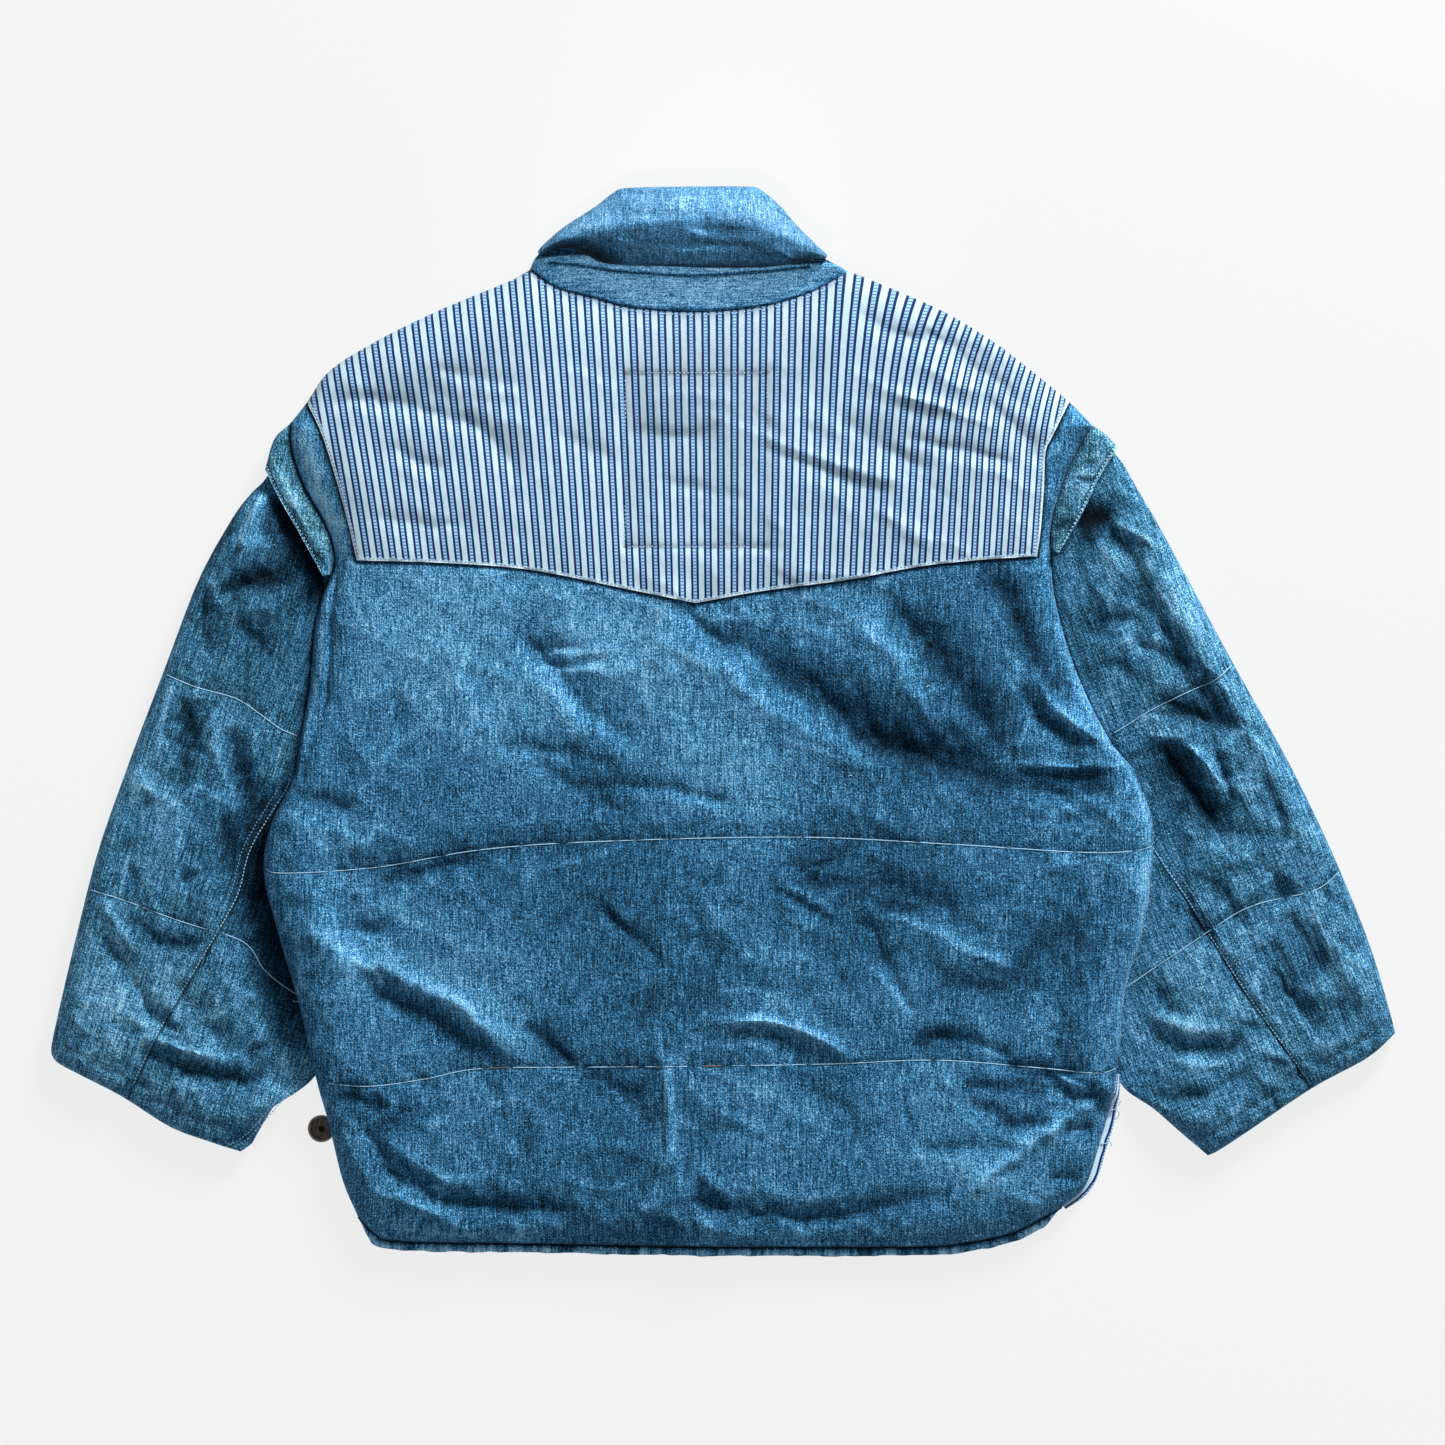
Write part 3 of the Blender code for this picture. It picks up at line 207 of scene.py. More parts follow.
FINE_REACHES = (1.7, 2.1)
# Thin folds are worn lighter where raised and painted darker as shade where sunk
FINE_WEAR_AND_SHADE = 0.085             # lighter for each millimetre of a thin fold's height
TROUGH_SHARPNESS = 1.2
RIDGE_SHARPNESS = 1.15
FOLD_JAG = 0.15               # how uneven the sides of a fold are, as a share of its reach
FOLD_DEPTH = 1.2
SLEEVE_FOLD_DEPTH = 1.3
BACK_CREASES = folds(
    (-8.5, 24, 8, [(-14, 66), (21, 48), (50, 22), (80, 6), (99, -9), (128, -22), (162, -32), (230, -56)]),
    (3.0, 9, 13, [(-40, 60), (5, 34), (40, 4), (85, -18), (130, -36)]),
    (-6.5, 19, 8, [(112, 94), (135, 69), (156, 45), (178, 17), (194, -7), (206, -27)]),
    (4.0, 8, 12, [(91, 69), (122, 51), (135, 24), (162, -7)]),
    (-5.6, 14, 7, [(184, 108), (204, 93), (217, 59), (233, 30)]),
    (3.6, 8, 6, [(226, 34), (242, 8), (256, -4), (280, -14)]),
    (-4.0, 8, 5, [(214, 28), (225, 6), (249, -11), (274, -17)]),
    (2.4, 4, 4, [(208, -29), (233, -32), (284, -33)]),
    (-3.2, 4, 6, [(210, -33), (246, -38), (284, -41)]),
    (-4.0, 9, 9, [(215, -48), (246, -52), (284, -49)]),
    (2.2, 5, 5, [(238, -44), (262, -56), (288, -74)]),
    (-4.2, 9, 6, [(-34, 88), (-8, 62), (16, 43)]),
    (-4.8, 15, 8, [(-156, 80), (-136, 52), (-114, 26), (-90, 3), (-62, -16)]),
    (1.4, 5, 7, [(-140, 36), (-116, 10), (-92, -10)]),
    (-2.6, 5, 4, [(-150, 58), (-130, 52), (-98, 54)]),
    (-2.2, 4, 4, [(-144, 44), (-118, 40), (-84, 44)]),
    (-3.4, 9, 7, [(-168, -20), (-145, -20), (-119, -23), (-72, -34)]),
    (-4.2, 13, 9, [(-140, -27), (-104, -50), (-62, -69)]),
    (-2.6, 7, 4, [(-122, -47), (-54, -48), (-15, -54), (26, -65)]),
    (2.2, 12, 12, [(-205, 60), (-190, 20), (-182, -30)]),
    (-2.0, 9, 9, [(-248, 40), (-236, 8), (-232, -34)]),
    (-3.6, 8, 7, [(-318, -52), (-295, -57), (-266, -66)]),
    (2.6, 8, 7, [(-320, -70), (-285, -78), (-255, -92)]),
    (-3.4, 9, 7, [(-262, -118), (-217, -109), (-176, -97)]),
    (-3.6, 14, 9, [(52, -118), (118, -120), (153, -131), (192, -163)]),
    (1.3, 7, 12, [(104, -134), (153, -153), (184, -169), (218, -182)]),
    (-2.2, 9, 11, [(120, -163), (160, -182), (205, -205)]),
    (-2.8, 5, 5, [(30, -116), (55, -131), (84, -147)]),
    (-2.0, 4, 5, [(96, -144), (108, -153), (120, -164)]),
    (-2.2, 5, 6, [(44, -106), (70, -103), (97, -94)]),
    (2.0, 4, 5, [(36, -124), (52, -138), (60, -156)]),
    (-2.6, 4, 6, [(104, -140), (122, -178), (140, -217)]),
    (3.0, 5, 7, [(-8, -217), (41, -219), (70, -230), (98, -249)]),
    (-2.6, 6, 8, [(0, -228), (38, -230), (66, -242)]),
    (-3.2, 7, 6, [(134, -234), (160, -229), (190, -231)]),
    (-3.4, 7, 6, [(180, -232), (197, -242), (219, -254)]),
    (-4.4, 7, 6, [(230, -254), (254, -271), (280, -271)]),
    (3.0, 5, 5, [(236, -256), (250, -262), (267, -268)]),
    (-2.6, 5, 6, [(166, -262), (208, -266), (244, -265)]),
    (-4.0, 9, 7, [(168, -268), (190, -282), (211, -292), (252, -291)]),
    (4.6, 6, 8, [(274, -276), (245, -292), (226, -304), (207, -320), (166, -350)]),
    (-3.4, 5, 6, [(240, -299), (258, -296), (276, -293)]),
    (-3.6, 5, 4, [(234, -331), (250, -331), (264, -334)]),
    (2.4, 4, 5, [(196, -336), (214, -346), (234, -352)]),
    (-2.6, 5, 6, [(142, -313), (178, -308), (216, -311)]),
    (-4.6, 8, 9, [(-36, -345), (17, -355), (66, -361), (114, -353), (188, -336)]),
    (2.4, 5, 5, [(-22, -322), (0, -342), (22, -358)]),
    (2.4, 5, 5, [(-24, -360), (0, -370), (26, -380)]),
    (5.0, 9, 9, [(-312, -138), (-274, -173), (-245, -179), (-206, -201), (-183, -213), (-141, -249)]),
    (-3.2, 7, 6, [(-282, -150), (-265, -152), (-246, -157)]),
    (-4.4, 8, 9, [(-260, -194), (-220, -211), (-190, -233), (-172, -248)]),
    (-3.0, 7, 7, [(-146, -217), (-125, -233), (-105, -253)]),
    (-2.2, 4, 5, [(-94, -133), (-76, -148), (-58, -164)]),
    (-3.4, 8, 7, [(-278, -273), (-255, -278), (-224, -285)]),
    (-6.4, 10, 8, [(-266, -288), (-251, -311), (-241, -326), (-220, -335), (-203, -347), (-160, -352),
                         (-104, -354)]),
    (3.4, 6, 5, [(-250, -298), (-235, -312), (-215, -326), (-195, -336), (-170, -335)]),
    (3.6, 6, 6, [(-262, -338), (-238, -346), (-215, -354), (-197, -364), (-174, -377)]),
    (2.6, 9, 8, [(-277, -296), (-266, -318), (-256, -334)]),
    (-3.2, 9, 10, [(-170, -262), (-146, -300), (-152, -340)]),
    (-3.0, 10, 9, [(-105, -255), (-66, -273), (-52, -302)]),
    (3.2, 7, 9, [(-48, -222), (-39, -268), (-39, -308), (-28, -346), (2, -367)]),
    (-2.8, 6, 6, [(-28, -347), (-12, -351), (5, -351)]),
    (-1.8, 8, 8, [(-20, -140), (-8, -170), (-14, -205)]),
    (-2.2, 8, 8, [(60, -268), (90, -285), (100, -315)]),
)
YOKE_CREASES = folds(
    (-4.8, 12, 5, [(-292, 231), (-260, 234), (-245, 230), (-217, 226), (-189, 217), (-176, 208)]),
    (-3.2, 9, 4, [(-212, 259), (-182, 250), (-140, 239)]),
    (1.6, 3, 4, [(-180, 246), (-164, 243), (-144, 238)]),
    (-3.2, 8, 5, [(-242, 202), (-220, 187), (-200, 181)]),
    (-3.8, 8, 6, [(-192, 223), (-176, 212), (-155, 191), (-148, 172)]),
    (-2.4, 9, 7, [(-116, 210), (-98, 200), (-78, 184)]),
    (-3.2, 5, 10, [(-70, 211), (-30, 208), (-2, 214)]),
    (-4.6, 11, 6, [(90, 305), (124, 282), (153, 278), (174, 265), (194, 251), (228, 223)]),
    (-2.6, 4, 4, [(126, 207), (159, 200), (214, 187)]),
    (2.6, 4, 4, [(118, 241), (153, 230), (200, 213)]),
    (2.6, 4, 4, [(28, 208), (56, 198), (83, 187), (132, 172)]),
    (-2.4, 6, 4, [(24, 200), (54, 190), (84, 178), (126, 166)]),
    (2.4, 4, 5, [(108, 157), (132, 142), (156, 128)]),
    (-3.6, 9, 6, [(82, 219), (118, 197), (155, 180)]),
    (-3.4, 8, 6, [(183, 243), (210, 214), (232, 187)]),
    (2.0, 5, 5, [(140, 262), (170, 244), (196, 236)]),
    (-2.0, 7, 7, [(-255, 150), (-215, 142), (-180, 146)]),
    (1.6, 5, 6, [(-60, 232), (-20, 238), (25, 226)]),
    (-2.2, 6, 7, [(-50, 175), (-15, 168), (20, 160)]),
)
# Small wrinkles are scattered round a place, mostly along one heading in degrees
Wrinkles = namedtuple("Wrinkles", "count x y spread_x spread_y heading turn length height")
BACK_WRINKLES = [
    Wrinkles(24, 130, -160, 100, 60, -30, 28, 58, 1.3), Wrinkles(26, 215, -290, 60, 52, -15, 40, 40, 1.5),
    Wrinkles(16, 60, -330, 110, 38, 10, 40, 46, 1.2), Wrinkles(16, -215, -310, 60, 55, -35, 35, 42, 1.3),
    Wrinkles(20, 150, 0, 110, 80, -42, 25, 52, 1.2), Wrinkles(18, 250, -45, 45, 42, -8, 22, 42, 1.5),
    Wrinkles(14, -60, 20, 120, 70, -48, 25, 50, 0.8), Wrinkles(10, -240, -90, 60, 100, -20, 40, 42, 0.9),
    Wrinkles(12, -110, -300, 90, 60, -35, 35, 42, 1.0), Wrinkles(8, -60, -180, 110, 60, -30, 30, 44, 0.8),
]
YOKE_WRINKLES = [
    Wrinkles(18, 120, 195, 110, 75, -25, 16, 56, 1.6), Wrinkles(12, -190, 200, 90, 50, -25, 22, 44, 1.3),
    Wrinkles(8, 0, 150, 60, 40, -20, 26, 38, 0.8),
]
# Crumpled facets between the folds: their size, how deep they are, and the wear on their edges
LARGE_FACET = (64, 30)
SMALL_FACET = (26, 13)
LARGE_RISE = 3.6
SMALL_RISE = 0.9
FACET_MEAN = 0.22
FACET_BEND = 0.22             # how far the facets are bent, as a share of their length
EDGE_SHARE = 0.07
EDGE_WEAR = 0.16
YOKE_CALM = (-296, 250, 100)  # left, right and bottom of the part whose facets are lower
CALM_FADE = 24
YOKE_CRUMPLED = 0.45          # what is left of the facets there
WRINKLE_REACH = 2.7
BACK_WRINKLE_SHARE = 0.6
WRINKLE_WEAR_AND_SHADE = 3.0            # wrinkles are worn paler on their ridges and painted darker as shade in their troughs, more than folds of their height

# Crisp thin folds, pale where the cloth is worn, and darker with painted shade where they are sunk. The last
# four of the back lie on the yoke
BACK_FINE = thin_folds(
    (2.3, [(2, -217), (30, -217), (50, -222), (72, -231), (92, -245)]),
    (2.3, [(172, -165), (190, -170), (209, -178)]),
    (1.3, [(118, -139), (146, -149), (170, -161), (180, -168)]),
    (1.4, [(98, -149), (112, -156), (124, -164)]),
    (2.0, [(106, -176), (118, -190), (128, -203), (138, -214)]),
    (1.0, [(38, -113), (60, -102), (90, -96), (122, -92)]),
    (1.1, [(36, -118), (52, -122), (72, -134), (86, -144)]),
    (2.3, [(186, -237), (198, -242), (210, -248)]), (1.5, [(224, -196), (234, -208), (244, -222)]),
    (2.0, [(242, -257), (254, -262), (266, -267)]), (1.1, [(42, -12), (60, -18), (80, -25), (102, -36)]),
    (1.6, [(210, -31), (240, -33), (262, -32), (286, -32)]),
    (2.2, [(238, 20), (250, 4), (262, -6), (282, -15)]),
    (1.5, [(-272, -171), (-260, -178), (-248, -185)]),
    (1.8, [(-216, -189), (-190, -206), (-170, -226), (-150, -248)]),
    (-1.6, [(-92, -127), (-78, -144), (-60, -158), (-40, -176)]),
    (1.0, [(-142, -111), (-116, -104), (-92, -98), (-70, -90)]),
    (1.3, [(-48, -220), (-44, -250), (-36, -292)]),
    (1.2, [(-160, -260), (-150, -285), (-145, -308)]), (1.0, [(-94, -258), (-70, -280), (-61, -302)]),
    (-1.3, [(130, -262), (134, -285), (141, -307)]), (-1.5, [(-146, -221), (-126, -233), (-106, -250)]),
    (1.2, [(-128, 52), (-100, 50), (-72, 54)]), (1.2, [(-142, 40), (-110, 37), (-84, 41)]),
    (1.0, [(-60, 66), (-30, 50), (0, 30)]), (1.0, [(240, -56), (256, -66), (272, -78)]),
    (1.3, [(120, -320), (150, -316), (190, -322)]), (1.2, [(30, -338), (56, -346), (90, -344)]),
    (1.2, [(-120, -330), (-90, -338), (-60, -336)]), (1.4, [(-250, -316), (-226, -332), (-196, -344)]),
    (1.2, [(-28, 228), (3, 218), (30, 208), (50, 197), (78, 188), (105, 179)]),
    (1.2, [(83, 260), (105, 250), (125, 238), (153, 230), (171, 226)]),
    (1.2, [(117, 151), (127, 141), (139, 132), (153, 124)]),
    (0.9, [(-117, 257), (-96, 250), (-76, 240)]),
)
RIGHT_SLEEVE_FINE = thin_folds(
    (1.9, [(280, 145), (296, 138), (314, 128)]), (1.6, [(302, 4), (312, 4), (322, 1)]),
    (1.8, [(306, -7), (316, -12), (332, -10)]), (1.8, [(298, -30), (310, -27), (324, -24)]),
    (1.8, [(306, -46), (320, -48)]), (1.5, [(336, -14), (350, -30), (361, -47)]),
    (1.0, [(364, -39), (380, -40), (394, -41)]), (1.0, [(268, 101), (280, 92), (298, 85)]),
    (1.2, [(262, 62), (280, 58), (300, 58)]), (1.2, [(300, 118), (316, 96), (330, 72)]),
    (1.4, [(306, -208), (330, -220), (360, -222)]), (1.3, [(330, -246), (352, -250), (380, -243)]),
    (1.3, [(386, -150), (400, -172), (414, -196)]), (1.2, [(420, -120), (434, -150), (446, -182)]),
)
LEFT_SLEEVE_FINE = thin_folds(
    (2.0, [(-331, 172), (-341, 155), (-352, 134), (-363, 110)]),
    (1.4, [(-352, 134), (-338, 120), (-322, 104)]),
    (1.3, [(-400, 30), (-408, 0), (-412, -32)]), (1.3, [(-372, -12), (-362, -40), (-352, -66)]),
    (1.3, [(-446, -150), (-432, -176), (-420, -200)]), (1.4, [(-420, -226), (-392, -238), (-360, -246)]),
    (1.2, [(-370, -180), (-352, -196), (-330, -204)]), (1.2, [(-430, -90), (-436, -112), (-440, -132)]),
    (1.2, [(-388, -108), (-368, -104), (-350, -98)]),
)
# Painted shade in the valleys of the folds, as amounts of tone
BACK_PAINTED_SHADE = folds(
    (-0.26, 15, 14, [(20, 58), (50, 38), (84, 20), (104, -2), (132, -20), (172, -34), (218, -46)]),
    (-0.24, 13, 14, [(124, 90), (146, 62), (170, 40), (190, 14), (203, -18)]),
    (-0.34, 9, 9, [(180, 110), (206, 92), (218, 66), (232, 40), (256, 10)]),
    (-0.16, 7, 6, [(216, 32), (230, 6), (250, -9), (278, -16)]),
    (-0.14, 8, 8, [(208, -38), (246, -43), (288, -47)]),
    (-0.14, 10, 10, [(176, -44), (205, -58), (230, -70)]),
    (-0.30, 9, 9, [(142, -190), (176, -190), (200, -189), (232, -183)]),
    (-0.26, 15, 15, [(206, -176), (240, -158), (276, -146)]),
    (-0.34, 7, 7, [(134, -231), (160, -230), (188, -227)]),
    (-0.32, 5, 5, [(196, -242), (225, -250), (250, -256), (282, -272)]),
    (-0.28, 5, 5, [(168, -263), (206, -266), (240, -267)]),
    (-0.26, 4, 4, [(198, -291), (222, -291), (244, -289)]),
    (-0.25, 7, 7, [(44, -103), (76, -97), (104, -90)]),
    (-0.16, 13, 13, [(130, -116), (190, -122), (250, -119)]),
    (-0.22, 6, 5, [(50, -116), (90, -122), (120, -130), (156, -142)]),
    (-0.20, 6, 6, [(30, -255), (80, -258), (114, -256)]),
    (-0.22, 6, 6, [(-260, -118), (-226, -112), (-196, -100), (-160, -92), (-110, -82)]),
    (-0.32, 6, 6, [(-256, -190), (-236, -203), (-216, -216)]),
    (-0.26, 8, 8, [(-222, -202), (-190, -226), (-158, -252)]),
    (-0.26, 5, 5, [(-146, -218), (-124, -234), (-104, -252)]),
    (-0.25, 8, 8, [(-282, -270), (-250, -284), (-216, -292)]),
    (-0.18, 9, 9, [(-72, -207), (-36, -205), (0, -198)]),
    (-0.16, 8, 8, [(-104, -254), (-74, -264), (-52, -280)]),
)

# How dark the painted shade is along each side of the stitched rectangle: top, right, bottom, left
RECTANGLE_SHADE = (0.40, 0.14, 0.40, 0.14)
STITCHED_RECTANGLE = [(-71, 253), (32, 253), (32, 127), (-71, 127), (-71, 253)]
LEFT_SIDE_SEAM = [(-281, 103), (-285, 81), (-286, 49), (-289, 16), (-296, -9), (-307, -40)]
RIGHT_SIDE_SEAM = [(246, 74), (258, 35), (280, -12), (297, -33)]

# The heading is that of the facets in degrees, and the grain is that of the warp in radians
Sleeve = namedtuple("Sleeve", "outer inner upper_quilt lower_quilt quilt_ends cuff seam under_seam heading"
                              " grain creases thin wrinkles")
LEFT_SLEEVE = Sleeve(
    outer=[(-316, 207), (-323, 199), (-328, 186), (-335, 175), (-344, 166), (-358, 147), (-382, 103),
           (-407, 38), (-432, -28), (-455, -94), (-472, -160), (-488, -229), (-489.7, -243)],
    inner=[(-316.5, -51), (-323, -74), (-320, -105), (-306, -145), (-295, -185), (-291, -220), (-297, -259),
           (-323, -285), (-349, -314)],
    upper_quilt=[(-407, 35), (-383, 25), (-355, 17), (-338, 6), (-323, -5), (-309, -11)],
    lower_quilt=[(-462, -122), (-438, -129), (-395, -145), (-350, -160), (-334, -181), (-315, -196),
                 (-293, -207)],
    quilt_ends=(-74, -207),
    cuff=[(-489.7, -243), (-484, -249), (-467, -258), (-438, -273), (-403, -295), (-374, -306),
          (-349, -314)],
    seam=[(-312, -39), (-318, -51), (-343, -93), (-353, -128), (-378, -173), (-405, -218), (-434, -276)],
    under_seam=(1.18, 1.14, 1.10, 0.90),
    heading=-62,
    grain=0.27,
    thin=LEFT_SLEEVE_FINE,
    creases=folds(
        (5.0, 13, 2.6, [(-333, 184), (-342, 152), (-353, 116), (-368, 98), (-373, 82)]),
        (-7.5, 11, 5, [(-368, 93), (-341, 100), (-320, 101), (-296, 90)]),
        (-6.0, 8, 7, [(-326, 160), (-308, 126), (-292, 96)]),
        (2.6, 5, 5, [(-351, 137), (-340, 131), (-326, 123)]),
        (2.6, 8, 7, [(-352, 78), (-334, 84), (-314, 76)]),
        (-3.6, 9, 8, [(-374, 98), (-377, 70), (-374, 44)]),
        (-4.0, 8, 7, [(-354, 72), (-335, 54), (-312, 34)]),
        (-4.6, 9, 8, [(-386, 18), (-391, -18), (-392, -54)]),
        (3.2, 6, 7, [(-372, 8), (-368, -20), (-362, -50)]),
        (-4.4, 9, 8, [(-360, -4), (-352, -34), (-343, -66)]),
        (-3.4, 7, 7, [(-366, -70), (-360, -90), (-352, -110)]),
        (-2.8, 5, 5, [(-400, -119), (-376, -108), (-352, -99)]),
        (3.2, 7, 7, [(-453, -126), (-440, -147), (-426, -170)]),
        (-4.2, 8, 7, [(-438, -135), (-412, -159), (-372, -165)]),
        (-4.6, 9, 7, [(-455, -154), (-429, -186), (-418, -209), (-400, -234)]),
        (-6.0, 9, 8, [(-426, -236), (-391, -251), (-370, -258), (-345, -262), (-308, -249)]),
        (4.2, 7, 7, [(-426, -227), (-390, -238), (-346, -250)]),
        (-3.4, 6, 6, [(-378, -218), (-366, -235), (-355, -250)]),
        (2.8, 9, 8, [(-405, 60), (-420, 10), (-433, -30)]),
        (-3.0, 8, 9, [(-418, -50), (-435, -92), (-444, -122)]),
        (2.8, 7, 7, [(-395, -60), (-398, -95), (-392, -130)]),
        (-3.2, 6, 7, [(-325, -130), (-316, -160), (-306, -185)]),
        (-3.2, 7, 7, [(-318, -215), (-330, -235), (-350, -246)]),
        (-2.4, 6, 6, [(-400, -188), (-386, -206), (-366, -212)]),
    ),
    wrinkles=[
        Wrinkles(22, -365, 60, 50, 80, -70, 50, 38, 1.3), Wrinkles(26, -390, -90, 60, 100, -60, 45, 38, 1.3),
        Wrinkles(24, -400, -230, 70, 45, -25, 35, 38, 1.4),
    ])
RIGHT_SLEEVE = Sleeve(
    outer=[(269.5, 207), (279, 201), (290, 190), (302, 169), (315, 147), (339, 103), (374, 38),
           (411, -28), (443, -94), (470, -160), (486, -212), (489.8, -227)],
    inner=[(282.5, -15), (293, -34), (301, -57), (303, -84), (297, -116), (285, -154), (276, -200),
           (279, -238), (290.5, -266), (313, -282), (335, -301), (353, -316)],
    upper_quilt=[(371, 42), (357, 30), (337, 21), (311, 8), (297, -1), (284, -9)],
    lower_quilt=[(450, -108), (429, -123), (380, -136), (331, -168), (296, -192), (276, -203)],
    quilt_ends=(-78, -203),
    cuff=[(489.8, -227), (469, -245), (429, -267), (380, -300), (360, -313), (353, -316)],
    seam=[(297, -60), (312, -92), (335, -127), (351, -153), (380, -199), (407, -237), (432, -272)],
    under_seam=(1.18, 1.30, 1.40, 1.45),
    heading=-38,
    grain=-0.38,
    thin=RIGHT_SLEEVE_FINE,
    creases=folds(
        (3.2, 12, 7, [(298, 122), (326, 89), (343, 54), (360, 28), (378, 0), (391, -26), (412, -70),
                            (428, -104)]),
        (-6.0, 8, 7, [(254, 138), (265, 149), (274, 149), (284, 142)]),
        (3.0, 8, 4, [(277, 146), (297, 138), (316, 127)]),
        (-3.4, 6, 5, [(274, 142), (290, 131), (297, 120), (304, 107), (312, 94)]),
        (-5.0, 7, 8, [(299, 108), (318, 70), (333, 48), (339, 22)]),
        (3.4, 7, 7, [(262, 108), (276, 92), (284, 70)]),
        (-4.0, 7, 7, [(252, 84), (276, 76), (310, 74)]),
        (-3.4, 6, 6, [(260, 38), (276, 40), (296, 43)]),
        (-3.0, 6, 5, [(294, 60), (315, 50), (340, 38)]),
        (-6.0, 9, 8, [(343, 30), (360, 8), (376, -8)]),
        (-3.4, 8, 5, [(314, 3), (340, 3), (364, -2)]),
        (-6.6, 10, 8, [(316, -10), (334, -38), (349, -60), (360, -81), (371, -100)]),
        (3.2, 5, 5, [(326, -8), (346, -26), (364, -47)]),
        (-4.0, 4, 5, [(355, -10), (363, -38), (374, -60)]),
        (-4.0, 6, 6, [(393, -38), (403, -64), (408, -90)]),
        (-3.6, 8, 8, [(385, -96), (398, -112), (411, -134)]),
        (-3.6, 8, 8, [(410, -138), (425, -163), (440, -188)]),
        (2.8, 4, 4, [(292, -30), (310, -28), (326, -24)]),
        (2.8, 4, 4, [(303, -57), (323, -57), (343, -56)]),
        (2.8, 4, 4, [(310, -62), (323, -78), (348, -83)]),
        (-3.6, 4, 5, [(308, -66), (318, -76), (326, -90)]),
        (2.2, 4, 4, [(306, -10), (322, -11), (338, -11)]),
        (-4.4, 9, 8, [(294, -168), (315, -194), (339, -221)]),
        (-4.8, 8, 7, [(300, -218), (340, -237), (384, -235)]),
        (3.2, 7, 6, [(300, -208), (338, -224), (374, -224)]),
        (-4.4, 8, 7, [(286, -268), (335, -275), (388, -252)]),
        (3.0, 9, 9, [(430, -130), (448, -170), (462, -205)]),
        (-3.2, 8, 8, [(395, -160), (412, -200), (436, -232)]),
        (2.8, 6, 6, [(325, -150), (322, -190), (330, -225)]),
        (-3.0, 6, 6, [(385, -210), (372, -238), (352, -262)]),
        (-3.0, 7, 7, [(352, -112), (372, -140), (384, -160)]),
    ),
    wrinkles=[
        Wrinkles(26, 305, 70, 50, 80, -55, 35, 40, 1.4), Wrinkles(26, 345, -60, 60, 70, -12, 40, 38, 1.5),
        Wrinkles(22, 400, -160, 60, 60, -55, 35, 40, 1.3), Wrinkles(20, 350, -250, 60, 40, -15, 35, 38, 1.3),
    ])
LEFT_SECOND_SEAM = [(-299, -246), (-323, -271), (-347, -298), (-361, -307)]

# seam_dark is how dark the painted shade along the cap's armhole seam is
Cap = namedtuple("Cap", "fold rim lower_y seam_dark")
LEFT_CAP = Cap(fold=[(-327, 206), (-333.5, 184)],
               rim=[(-333.5, 184), (-323, 163), (-306, 133), (-291, 106)],
               lower_y=108, seam_dark=0.45)
RIGHT_CAP = Cap(fold=[(279, 209), (287.5, 200)],
                rim=[(287.5, 200), (274, 178), (260, 149), (243.5, 122)],
                lower_y=126, seam_dark=0.10)

# The cap's relief is painted lighter where raised, partly as wear, and darker where sunk, as painted shade
CAP_WEAR_AND_SHADE = 0.16
CAP_CREASES = folds(
    (-1.3, 1.6, 1.6, [(262, 189.5), (267, 188), (271, 188.5)]),
    (-1.5, 1.8, 1.8, [(255, 178), (262, 175.5), (272, 175)]),
    (1.0, 1.6, 1.6, [(254, 181), (263, 179), (272, 179)]),
    (-1.2, 2.0, 2.0, [(262, 160), (268, 163), (276, 170)]),
    (1.3, 3.5, 3.5, [(-326, 186), (-318, 168), (-304, 142), (-296, 126)]),
    (-1.2, 2.5, 3.0, [(-318, 162), (-306, 140), (-297, 122)]),
    (-1.0, 1.6, 1.6, [(-294, 118), (-290, 112), (-287, 108)]),
    (-1.0, 1.6, 1.6, [(-299, 124), (-294, 119), (-288, 118)]),
)
# Painted shadow at the caps' lower parts and painted light on their upper parts, as amounts of tone
CAP_PAINTED_LIGHT_AND_SHADE = folds(
    (-0.60, 4, 4, [(240, 142), (248, 144), (257, 148)]),
    (0.25, 12, 12, [(268, 196), (276, 190), (282, 186)]),
    (0.16, 5, 5, [(-324, 192), (-316, 172), (-302, 146)]),
    (-0.34, 5, 7, [(-316, 156), (-304, 134), (-293, 114)]),
    (0.16, 9, 8, [(254, 186), (262, 170), (262, 158)]),
)

BAND_TOP = [(-137.5, 335), (-126, 337), (-105, 338), (-84, 338), (-38, 338), (9, 337), (30, 335.5),
            (44, 332), (56, 331.5), (68, 332), (83, 332)]
BAND_SEAM = [(-126, 334), (-103, 332), (-73, 327.5), (-19, 324.5), (28, 327.5), (62, 331)]
BAND_FOLD = [(-136.5, 338), (-127, 346), (-108, 352), (-84, 352), (-38, 350), (9, 350), (40, 347), (58, 343),
             (70, 339), (80, 334)]
BAND_INSIDE_DROP = 3.0
# Painted light that lifts the band out of the shadow of the fall
BAND_PAINTED_LIGHT = 0.22
FALL_TURN = [(-134, 341), (-118, 349), (-100, 356), (-66, 362), (-28, 365), (12, 363), (40, 355), (74, 340)]
FALL_FREE = [(-134, 339), (-128, 342.5), (-114, 345), (-100, 340), (-84, 333), (-38, 331), (9, 330),
             (36, 331), (55, 334), (66, 337), (75, 337)]
FALL_TOP = [(-135, 342), (-131, 347), (-116, 360), (-93, 375), (-80, 385), (-70, 388.5), (-28, 389.5),
            (18, 389.5), (29, 386), (42, 375), (53, 362), (65, 350), (76, 339.5)]
